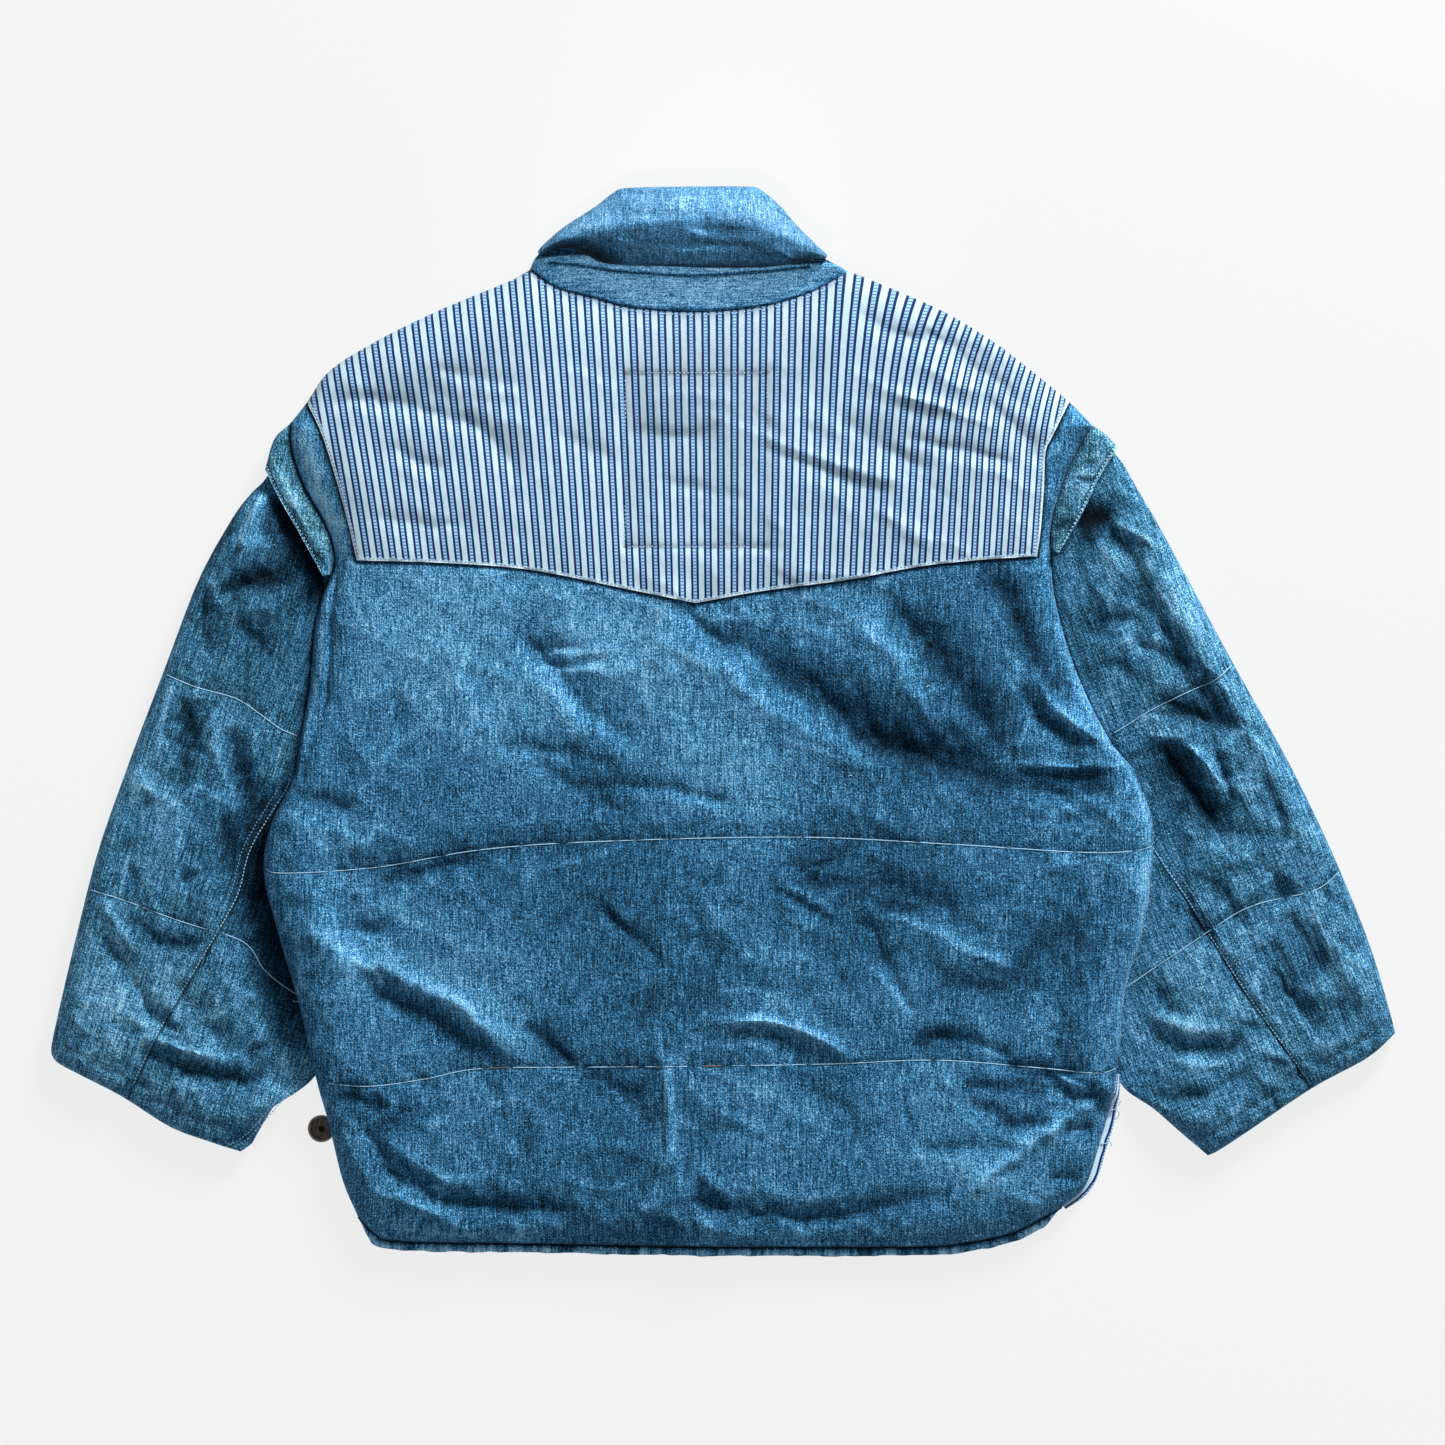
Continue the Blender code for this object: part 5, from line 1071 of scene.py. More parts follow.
def ring_faces(rings, sides):
    """Faces of a solid through rings of points, closed at both ends."""
    faces = []
    for ring in range(rings - 1):
        for k in range(sides):
            a, b = ring * sides + k, ring * sides + (k + 1) % sides
            faces.append((a, b, b + sides, a + sides))
    last = (rings - 1) * sides
    return faces + [tuple(range(sides))[::-1], tuple(range(last, last + sides))]


def with_height(plan, z):
    return np.concatenate([plan, np.broadcast_to(z, plan.shape[:-1])[..., None]], axis=-1)


def add_joined(name, parts, material):
    """One piece out of the points and faces of several small solids."""
    vertices, faces, done = [], [], 0
    for points, cells in parts:
        vertices.append(points)
        faces += [tuple(i + done for i in cell) for cell in cells]
        done += len(points)
    return placed(add_mesh(name, np.vstack(vertices), faces, material), ())


def placed(piece, nodes):
    """The piece rides on the jacket and stands for its CAD nodes."""
    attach(piece, "root")
    if nodes:
        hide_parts(*nodes)
    return piece


# Threads

def line_3d(line, height, lifted):
    """Points of a plan line on a surface, lifted above it."""
    return np.column_stack([line, height(line[:, 0], line[:, 1]) + lifted])


# Each stitch is thin at both ends: share of its length, of its radius, and rise in radii
STITCH_PROFILE = ((0.0, 0.45, -0.9), (0.25, 1.0, 0.1), (0.75, 1.0, 0.1), (1.0, 0.45, -0.9))


def stitches(points, pitch, share, radius, seed):
    """Separate stitches along a line of points: the points and faces of each."""
    steps = np.linalg.norm(np.diff(points, axis=0), axis=1)
    at = np.concatenate([[0], np.cumsum(steps)])
    count = max(int(at[-1] / pitch), 1)
    chance = np.random.RandomState(seed)
    parts = []
    for k in range(count):
        start = at[-1] * (k + 0.5 * (1 - share)) / count
        length = at[-1] * share / count * chance.uniform(0.85, 1.0)
        sway = chance.uniform(-0.35, 0.35) * radius
        places = [start + length * q for q, _, _ in STITCH_PROFILE]
        middle = np.stack([np.interp(places, at, points[:, i]) for i in range(3)], axis=1)
        run = middle[-1] - middle[0]
        across = np.array([-run[1], run[0], 0]) / max(np.hypot(run[0], run[1]), 1e-6)
        vertices = []
        for (_, wide, rise), centre in zip(STITCH_PROFILE, middle):
            centre = centre + across * sway + np.array([0, 0, rise * radius])
            for side, up in ((1, 0), (0, 1), (-1, 0), (0, -1)):
                vertices.append(centre + (across * side + np.array([0, 0, up])) * radius * wide)
        parts.append((np.array(vertices), ring_faces(len(STITCH_PROFILE), 4)))
    return parts


def add_threads(name, lines, material, pitch, share, radius):
    """One joined piece for the stitches along several lines."""
    parts = [part for number, points in enumerate(lines)
             for part in stitches(points, pitch, share, radius, 40 + number)]
    return add_joined(name, parts, material)


def tube_along(points, radius):
    """A thin four-sided tube along points."""
    across = np.cross(np.gradient(points, axis=0), [0, 0, 1.0])
    across *= radius / np.maximum(np.linalg.norm(across, axis=1), 1e-6)[:, None]
    up = np.array([0, 0, radius])
    rings = np.stack([points + across, points + up, points - across, points - up], axis=1)
    return rings.reshape(-1, 3), ring_faces(len(points), 4)


def add_tubes(name, lines, radius, material):
    """One joined piece for thin threads along several lines."""
    return add_joined(name, [tube_along(points, radius) for points in lines], material)


# Materials

def add(tree, kind, inputs=None, **settings):
    """A shader node; an input may be a value or another node's output."""
    node = tree.nodes.new(kind)
    for key, value in settings.items():
        setattr(node, key, value)
    for key, value in (inputs or {}).items():
        if isinstance(value, bpy.types.NodeSocket):
            tree.links.new(value, node.inputs[key])
        else:
            node.inputs[key].default_value = value
    return node


def maths(tree, operation, *values):
    return add(tree, "ShaderNodeMath", dict(enumerate(values)), operation=operation).outputs[0]


def attribute(tree, name):
    """A value that is kept on the points of the mesh."""
    return add(tree, "ShaderNodeAttribute", attribute_name=name).outputs["Fac"]


def dimmed(tree, colour, share):
    """The colour times a share of its light."""
    return add(tree, "ShaderNodeVectorMath", {0: colour, "Scale": share}, operation="SCALE").outputs[0]


def blank_material(name, roughness, sheen=0.0, specular=0.25):
    """A material with its tree and its main shader."""
    material = bpy.data.materials.new(name)
    material.use_nodes = True
    shader = material.node_tree.nodes["Principled BSDF"]
    shader.inputs["Roughness"].default_value = roughness
    shader.inputs["Metallic"].default_value = 0
    shader.inputs["Specular IOR Level"].default_value = specular
    shader.inputs["Sheen Weight"].default_value = sheen
    shader.inputs["Sheen Roughness"].default_value = 0.5
    return material, material.node_tree, shader


def finished(material, colour, bump=None):
    """The material, with the colour and the bump on its main shader."""
    inputs = material.node_tree.nodes["Principled BSDF"].inputs
    material.node_tree.links.new(colour, inputs["Base Color"])
    if bump:
        material.node_tree.links.new(bump.outputs[0], inputs["Normal"])
    return material


def place_node(tree, turn=0.0):
    """Places on the object in millimetres, turned about Z."""
    places = add(tree, "ShaderNodeTexCoord").outputs["Object"]
    inputs = {"Vector": places, "Scale": (1 / MM, 1 / MM, 1 / MM), "Rotation": (0, 0, turn)}
    return add(tree, "ShaderNodeMapping", inputs).outputs[0]


def noise(tree, place, size, detail=2.0, rough=0.55):
    """Noise from 0 to 1 with bumps of the size (across, along, up) in millimetres."""
    scaled = add(tree, "ShaderNodeMapping", {"Vector": place, "Scale": tuple(1 / s for s in size)})
    inputs = {"Vector": scaled.outputs[0], "Scale": 1.0, "Detail": detail, "Roughness": rough}
    return add(tree, "ShaderNodeTexNoise", inputs).outputs["Fac"]


def ramp_node(tree, value, stops):
    node = add(tree, "ShaderNodeValToRGB", {"Fac": value})
    elements = node.color_ramp.elements
    while len(elements) < len(stops):
        elements.new(0.5)
    for element, (position, colour) in zip(elements, stops):
        element.position = position
        element.color = (*colour, 1)
    return node.outputs["Color"]


def linear(*colour):
    """Linear light for a colour given in ordinary 0 to 255 steps."""
    shares_of = [c / 255 for c in colour]
    return tuple(c / 12.92 if c <= 0.04045 else ((c + 0.055) / 1.055) ** 2.4 for c in shares_of)


DENIM_SHADES = ((-0.3, (2, 16, 26)), (0.0, (9, 35, 50)), (0.25, (24, 69, 96)), (0.5, (46, 106, 147)),
                (0.75, (77, 148, 200)), (1.0, (134, 197, 237)), (1.4, (190, 232, 252)))
DENIM_LOW, DENIM_HIGH = -0.3, 1.4
DARK_SHIFT = 0.40             # how far a dark tone moves along the shades
DARK_SHARE = 0.15             # what a tone of -1 leaves of the light
DARK_TINT = (0.60, 0.90, 1.05)
DENIM_MIDDLE = 0.47           # where plain cloth lies among the shades
CREASE_TURN = 0.55            # heading of the faint creases against the warp, in radians
CREASE_LIGHT = 0.16           # how much lighter they are


def denim(name, turn=0.0, lighter=0.0, warm=0.04, grain=1.0, tint=(1.10, 1.0, 0.84)):
    """Washed denim: heathered grain, slubs along the warp, mottled wash and a twill bump."""
    material, tree, _ = blank_material(name, 0.92, 0.03, 0.10)
    place = place_node(tree, turn)
    speckle = noise(tree, place, (0.85, 1.1, 0.85), 2.0, 0.7)
    slub = noise(tree, place, (1.0, 15, 6), 1.0)
    weft = noise(tree, place, (13, 0.95, 6), 1.0)
    mottle = noise(tree, place, (9, 12, 9), 3.0, 0.6)
    broad = noise(tree, place, (60, 80, 60), 2.0)
    tone = attribute(tree, "tone")
    total = maths(tree, "MULTIPLY_ADD", speckle, 3.0 * grain, -1.5 * grain)
    for value, amount in ((slub, 1.10 * grain), (weft, 0.55 * grain), (mottle, 0.28), (broad, 0.25)):
        total = maths(tree, "MULTIPLY_ADD", maths(tree, "SUBTRACT", value, 0.5), amount, total)
    creased = noise(tree, place_node(tree, turn + CREASE_TURN), (46, 13, 30), 1.0)
    lines = band(tree, creased, 0.5, 0.0, 0.020)
    here = ramp_node(tree, noise(tree, place, (44, 52, 44), 1.0), ((0.45, (0, 0, 0)), (0.60, (1, 1, 1))))
    crinkle = maths(tree, "MULTIPLY", lines, here)
    total = maths(tree, "MULTIPLY_ADD", crinkle, CREASE_LIGHT, total)
    # The tone carries wear together with painted light and shade: it moves the colour along the shades, dims
    # it and cools it where dark
    darker = maths(tree, "MINIMUM", tone, 0.0)
    total = maths(tree, "ADD", total, maths(tree, "MAXIMUM", tone, 0.0))
    total = maths(tree, "MULTIPLY_ADD", darker, DARK_SHIFT, total)
    total = maths(tree, "ADD", total, DENIM_MIDDLE + lighter - DENIM_LOW)
    total = maths(tree, "DIVIDE", total, DENIM_HIGH - DENIM_LOW)
    stops = [((at - DENIM_LOW) / (DENIM_HIGH - DENIM_LOW), linear(*shade)) for at, shade in DENIM_SHADES]
    colour = ramp_node(tree, total, stops)
    dark = maths(tree, "MULTIPLY", darker, -1.0)
    colour = dimmed(tree, colour, maths(tree, "POWER", DARK_SHARE, dark))
    colour = mix_colour(tree, dark, colour, DARK_TINT, "MULTIPLY")
    patches = maths(tree, "MULTIPLY", noise(tree, place, (38, 50, 38), 2.0), 2 * warm)
    colour = mix_colour(tree, patches, colour, tint, "MULTIPLY")
    twill_inputs = {"Vector": place, "Scale": 0.155, "Distortion": 1.0, "Detail": 1.0, "Detail Scale": 0.6}
    twill = add(tree, "ShaderNodeTexWave", twill_inputs, wave_type="BANDS", bands_direction="DIAGONAL")
    weave = maths(tree, "MULTIPLY_ADD", twill.outputs["Fac"], 0.45, speckle)
    crinkled = add(tree, "ShaderNodeBump", {"Height": crinkle, "Strength": 0.5, "Distance": 0.9 * MM})
    bump = add(tree, "ShaderNodeBump", {"Height": weave, "Strength": 0.6, "Distance": 0.28 * MM,
                                        "Normal": crinkled.outputs[0]})
    return finished(material, colour, bump)


def band(tree, value, centre, half_width, soft):
    """1 where the value is within the half width of the centre, with soft edges."""
    off = maths(tree, "ABSOLUTE", maths(tree, "SUBTRACT", value, centre))
    inputs = {"Value": off, "From Min": half_width - soft, "From Max": half_width + soft, "To Min": 1.0,
              "To Max": 0.0}
    return add(tree, "ShaderNodeMapRange", inputs).outputs[0]


def mix_colour(tree, share, low, high, blend_type="MIX"):
    """A mix of two colours, each of which may be another node's output."""
    ends = [value if isinstance(value, bpy.types.NodeSocket) else (*value, 1) for value in (low, high)]
    inputs = {0: share, 6: ends[0], 7: ends[1]}
    return add(tree, "ShaderNodeMix", inputs, data_type="RGBA", blend_type=blend_type).outputs[2]


TICKING_REPEAT = 10.3         # from one light blue stripe to the next
TICKING_AT = -22.6            # middle of one light blue stripe
TICKING_SWAY = 0.36           # how far a line wanders to and fro
TICKING_HALF = 2.20           # from there to the middle of its navy line
NAVY_HALF = 0.90
CHAIN_LINK = 2.4


def ticking(name):
    """Twill ticking: navy lines on both sides of a light blue chain stripe, on white."""
    material, tree, _ = blank_material(name, 0.85, 0.04)
    place = place_node(tree)
    warp = attribute(tree, "warp")
    sway = noise(tree, place, (3, 9, 3), 1.0)
    warp = maths(tree, "MULTIPLY_ADD", sway, TICKING_SWAY, maths(tree, "SUBTRACT", warp, TICKING_SWAY / 2))
    shifted = maths(tree, "SUBTRACT", warp, TICKING_AT - TICKING_REPEAT / 2)
    repeats = maths(tree, "DIVIDE", shifted, TICKING_REPEAT)
    across = maths(tree, "MULTIPLY", maths(tree, "FRACT", repeats), TICKING_REPEAT)
    middle = TICKING_REPEAT / 2
    blue = band(tree, across, middle, TICKING_HALF, 0.10)
    navy = maths(tree, "MAXIMUM", band(tree, across, middle - TICKING_HALF, NAVY_HALF, 0.14),
                 band(tree, across, middle + TICKING_HALF, NAVY_HALF, 0.14))
    weft_place = add(tree, "ShaderNodeSeparateXYZ", {"Vector": place}).outputs["Y"]
    chain_wave = maths(tree, "SINE", maths(tree, "MULTIPLY", weft_place, 2 * np.pi / CHAIN_LINK))
    swing = maths(tree, "ABSOLUTE", maths(tree, "SUBTRACT", across, middle))
    link = maths(tree, "MULTIPLY", chain_wave, maths(tree, "SINE", maths(tree, "MULTIPLY", swing, 2.6)))
    chain = add(tree, "ShaderNodeMapRange", {"Value": link, "From Min": -0.15, "From Max": 0.45}).outputs[0]
    speckle = noise(tree, place, (0.9, 0.7, 0.9), 1.0, 0.6)
    blue_colour = mix_colour(tree, chain, linear(154, 198, 230), linear(46, 94, 154))
    diagonal = add(tree, "ShaderNodeTexWave", {"Vector": place, "Scale": 0.30, "Distortion": 0.4},
                   wave_type="BANDS", bands_direction="DIAGONAL").outputs["Fac"]
    white_colour = mix_colour(tree, diagonal, linear(164, 194, 213), linear(198, 223, 236))
    tone = attribute(tree, "tone")
    shaded = maths(tree, "MULTIPLY", maths(tree, "MINIMUM", tone, 0.0), -2.2)
    white_colour = mix_colour(tree, shaded, white_colour, linear(160, 180, 194))
    ground = mix_colour(tree, blue, white_colour, blue_colour)
    lined = mix_colour(tree, navy, ground, linear(0, 30, 80))
    turned_edge = attribute(tree, "turned_edge")
    lined = mix_colour(tree, maths(tree, "MULTIPLY", turned_edge, 0.85), lined, linear(216, 234, 246))
    dust = maths(tree, "MULTIPLY_ADD", maths(tree, "SUBTRACT", speckle, 0.5), 0.5, 1.0)
    old = noise(tree, place, (40, 50, 40), 3.0, 0.6)
    aged = maths(tree, "MULTIPLY_ADD", maths(tree, "SUBTRACT", old, 0.5), 0.22, dust)
    colour = dimmed(tree, lined, maths(tree, "ADD", aged, tone))
    weave = maths(tree, "ADD", diagonal, speckle)
    bump = add(tree, "ShaderNodeBump", {"Height": weave, "Strength": 0.4, "Distance": 0.16 * MM})
    return finished(material, colour, bump)


def thread(name, colour):
    """Twisted cotton thread."""
    material, tree, _ = blank_material(name, 0.8)
    place = place_node(tree)
    twist = noise(tree, place, (0.4, 0.4, 0.4), 1.0)
    low = tuple(c * 0.72 for c in colour)
    return finished(material, mix_colour(tree, twist, low, colour))


def horn(name):
    """Dark horn-like button with faint streaks."""
    material, tree, _ = blank_material(name, 0.35, specular=0.5)
    place = place_node(tree)
    worn = attribute(tree, "tone")
    streaks = maths(tree, "ADD", noise(tree, place, (1.2, 7, 3), 4.0, 0.6), worn)
    colour = ramp_node(tree, streaks, ((0.3, linear(40, 32, 28)), (0.55, linear(86, 72, 58)),
                                       (0.85, linear(150, 138, 126))))
    return finished(material, colour)


# Tone and stripes

def stripe_lean(x):
    """How far a stripe moves to the right for each millimetre down the yoke."""
    return np.interp(x, [-310, -221, -115, -20, 100, 250], [0.21, 0.14, 0.08, 0.015, -0.050, -0.085])


STRIPE_LEVEL = 250.0


def warp_of(x, y):
    """Place across the ticking's warp, which bends outwards over the right shoulder."""
    bent = 0.0026 * np.maximum(y - 190, 0) ** 2 * ramp(x - 60, 200)
    closer = 0.15 * np.maximum(x - 165, 0)
    return x - stripe_lean(x) * (STRIPE_LEVEL - y) - bent + closer


# The tone of folds: painted lighter where the cloth is raised, partly as wear, and darker where it is sunk,
# as painted shade
TONE_SHARE = 0.038            # lighter for each millimetre that the cloth is raised


def fold_tone(raised, most=6):
    """Raised folds are painted lighter, partly as rubbed wear and partly as painted light, and sunk ones are
    painted darker as shade.
    """
    return TONE_SHARE * np.clip(raised, -7, most)


# Body pieces

def add_back(body, material):
    x, y = split(body.plan)
    over, raised = body.back_over(x, y)
    inside = np.zeros(x.shape)
    yoke_part = (slice(body.first_yoke_row, None), body.yoke_columns)
    inside[yoke_part] = ramp(distance_to(x[yoke_part], y[yoke_part], body.yoke_outline[::3]) - 2.5, 3)
    outer = with_height(body.plan, over - YOKE_SUNK * inside)
    rows, columns = coarse(x.shape[0]), coarse(x.shape[1])
    plain = body.plan[np.ix_(rows, columns)]
    px, py = split(plain)
    inner = with_height(plain, body.back_under(px, py, body.edge(px, py)))
    # Painted shadow beside the yoke's edges, painted shade along the quilting lines, the left armhole and
    # the hem, and painted light along the right armhole
    yoke_edge_shadow = 0.75 * near(x, y, body.yoke_outline[::3], 1.9)
    quilting_shade = sum(0.05 * near(x, y, line[::3], 1.6) for line in (body.upper_quilt, body.lower_quilt))
    uneven = 1 + rumple(x, y, 6, 91)
    armhole_shade_and_light = sum(dark * uneven * near(x, y, smooth(line), 1.3)
                      for line, dark in ((LEFT_ARMHOLE, 0.24), (RIGHT_ARMHOLE, -0.22)))
    hem_groove_shade = 0.4 * near(x, y, body.plan[0][::3], 1.8)
    tone = fold_tone(raised) + washed_and_lit(x, y, BACK_WASH_AND_LIGHT) + body.worn
    tone += crease_heights(x, y, EDGE_HIGHLIGHTS_AND_WEAR + BACK_PAINTED_SHADE) + FINE_WEAR_AND_SHADE * crease_heights(x, y, BACK_FINE)
    tone -= yoke_edge_shadow + quilting_shade + armhole_shade_and_light + hem_groove_shade
    piece = add_wall("back_cloth", outer, inner, material, {"tone": tone}, rows, columns)
    placed(piece, ("back_panel",))
    return over, raised


def add_yoke(body, over, raised, material):
    part = (slice(body.first_yoke_row, None), body.yoke_columns)
    plan = body.plan[part]
    x, y = split(plan)
    edge = distance_to(x, y, body.yoke_outline[::3])
    turned = 0.8 + 0.2 * bulge(edge, 0.8)
    outer = with_height(plan, over[part] + YOKE_CLEAR + YOKE_CLOTH * turned)
    yoke_edge = plan[0][::3]
    rows, columns = coarse(plan.shape[0], 2), coarse(plan.shape[1], 2)
    inner = with_height(plan, over[part] + YOKE_CLEAR - 0.5 * ramp(edge - 2.5, 3))[np.ix_(rows, columns)]
    tone = fold_tone(raised[part], 3) + FINE_WEAR_AND_SHADE * crease_heights(x, y, BACK_FINE)
    # Painted shade along the stitched rectangle's lines, most along its top and bottom
    for side, dark in zip(rectangle_sides(2), RECTANGLE_SHADE):
        tone -= dark * near(x, y, side, 1.4)
    (left, top), (right, bottom) = STITCHED_RECTANGLE[0], STITCHED_RECTANGLE[2]
    tone -= 0.06 * ((x > left) & (x < right) & (y > bottom) & (y < top))
    # Painted shade near the neck, below the collar, and painted light along the yoke's lower edge
    tone -= 0.16 * near(x, y, body.plan[-1][::3], 6)
    tone += washed_and_lit(x, y, YOKE_WASH_AND_LIGHT) + 0.15 * near(x, y, yoke_edge, 1.8)
    turned_lines = (plan[0], plan[:, 0], plan[:, -1])
    turned_edge = np.maximum.reduce([near(x, y, line[::3], 1.6, 4) for line in turned_lines])
    piece = add_wall("yoke_cloth", outer, inner, material,
                     {"tone": tone, "warp": warp_of(x, y), "turned_edge": turned_edge}, rows, columns)
    placed(piece, ("back_yoke",))


def add_fronts(body, material):
    """Two fronts that meet at the centre, flat where they rest."""
    rows = coarse(body.plan.shape[0], FRONT_STEP)
    last = body.plan.shape[1] - 1
    left = coarse(body.middle + 1, FRONT_STEP)
    right = [body.middle + k for k in coarse(last - body.middle + 1, FRONT_STEP)]
    for side, outward, columns in (("left", -1, left), ("right", 1, right)):
        plan = body.plan[np.ix_(rows, columns)].copy()
        flank = body.left if outward < 0 else body.right
        by_flank = 1 - np.clip(distance_to(*split(plan), flank[::3]) / SLIT_REACH, 0, 1)
        inset = by_flank * ramp(SLIT_TOP - plan[..., 1], SLIT_FADE)
        plan[..., 0] -= outward * SLIT_INSET * inset
        plan[:, 0 if outward == 1 else -1, 0] += outward * SEAM / 2
        x, y = split(plan)
        edge = body.edge(x, y)
        over = body.front_over(x, y, edge) - SLIT_DROP * inset - 0.8 * (1 - bulge(edge, 3))
        inner = with_height(plan, body.front_under(x, y))
        piece = add_wall("front_%s_cloth" % side, with_height(plan, over), inner, material, {"tone": 0 * x})
        placed(piece, ("front_" + side,))


# A folded strip: share of its width, of its upper face's height and of its lower face's
STRIP_PROFILE = ((0.0, 0.35, 0.0), (0.15, 0.9, 0.0), (0.4, 1.15, 0.1), (0.7, 1.0, 0.25), (0.92, 0.6, 0.4),
                 (1.0, 0.35, 0.5))


def strip(first, last, low, high, ripple):
    """Outer and inner grids of a folded strip along a seam."""
    share, rise, sink = np.array(STRIP_PROFILE).T[..., None]
    plan = first + (last - first) * share[..., None]
    thick = high - low
    over = low + thick * rise + ripple * np.sin(np.pi * np.clip(share, 0.1, 0.95))
    under = low + 0.3 * thick * sink
    return with_height(plan, np.maximum(over, under + 0.4)), with_height(plan, under)


def add_hem(body, material):
    """The narrow puckered binding of the hem, on the back and on both fronts."""
    line = along(body.plan[0], np.linspace(0, 1, 460))
    s = np.linspace(0, length_of(line), len(line))
    ripple = 1.0 * rumple(s, 0 * s, 3.4, 21) + 0.7 * rumple(s, 0 * s, 7.5, 22)
    wave = 0.7 * rumple(s, 0 * s, 7.0, 23)
    end = ramp(np.minimum(s, s[-1] - s), 22)[:, None]
    x, y = line[:, 0], line[:, 1]
    under = body.back_under(x, y, np.zeros(len(x)))
    first, last = moved_out(line, -0.05), moved_out(line, -(BINDING_WIDTH + wave))
    last = first + (last - first) * (0.12 + 0.88 * end)
    outer, inner = strip(first, last, under + SEAM, under + BACK_EDGE, ripple)
    across = np.linspace(0, 1, outer.shape[0])[:, None]
    # Painted light on the raised ripples and along the binding's middle, and painted shade in its dips and
    # in the groove at its near edge
    tone = 0.42 * ripple[None] + 0.35 * fade(across, 0.3, 0.6) - 0.8 * fade(across, 0.14)
    piece = add_wall("hem_binding_cloth", outer, inner, material, {"tone": tone})
    placed(piece, ("hem_binding_back",))
    cut = int(len(line) * SLIT_SHARE)
    middle = len(line) // 2
    for side, part in (("left", slice(cut, middle)), ("right", slice(middle, len(line) - cut))):
        low = np.full(len(s[part]), 0.05)
        outer, inner = strip(first[part], last[part], low, under[part] - 0.9, 0.4 * ripple[part])
        plain = {"tone": 0 * outer[..., 0]}
        piece = add_wall("front_binding_%s_cloth" % side, outer, inner, material, plain)
        placed(piece, ("hem_binding_front_" + side,))


# The facing: share of its width and of its height at the seam
FACING_PROFILE = ((0.0, 1.0), (0.3, 0.95), (0.6, 0.75), (0.85, 0.5), (1.0, 0.32))


def add_facing(body, material):
    """The ticking facing at the right side slit, wider and narrower along its length."""
    edge = body.plan[1:, -1]
    edge = along(edge[edge[:, 1] < FACING_TOP], np.linspace(0, 1, 60))
    q = np.linspace(0, 1, 60)
    shown = 3.6 + 2.6 * np.sin(np.pi * q) + 0.5 * rumple(90 * q, 0 * q, 9, 31)
    tucked = (FACING_TUCKED + SEAM) * ramp(SLIT_TOP - edge[:, 1], SLIT_FADE) - SEAM
    seam = body.lift(edge[:, 0], edge[:, 1]) + FRONT_EDGE + 2 * SEAM - FACING_CLOTH
    share, level = np.array(FACING_PROFILE).T[..., None]
    plan = np.stack([moved_out(edge, tucked * (1 - part) - shown * part) for part, _ in FACING_PROFILE])
    x, y = split(plan)
    under = np.maximum(seam * level + 0.2 * rumple(x, y, 5, 32), 0.1)
    warp = FACING_WARP + FACING_SPREAD * share + 0.6 * rumple(x, y, 7, 33)
    outer, inner = with_height(plan, under + FACING_CLOTH), with_height(plan, under)
    # The facing's tone is raised as painted light, since it lies in the body's shade
    piece = add_wall("facing_cloth", outer, inner, material, {"tone": 0 * under + 0.35, "warp": warp})
    placed(piece, ("vent_facing_right",))


# Sleeves

def ring_side(w):
    """Place across a flattened tube and whether it is on the upper layer."""
    w = np.mod(w, 2)
    return np.where(w <= 1, w, 2 - w), w <= 1


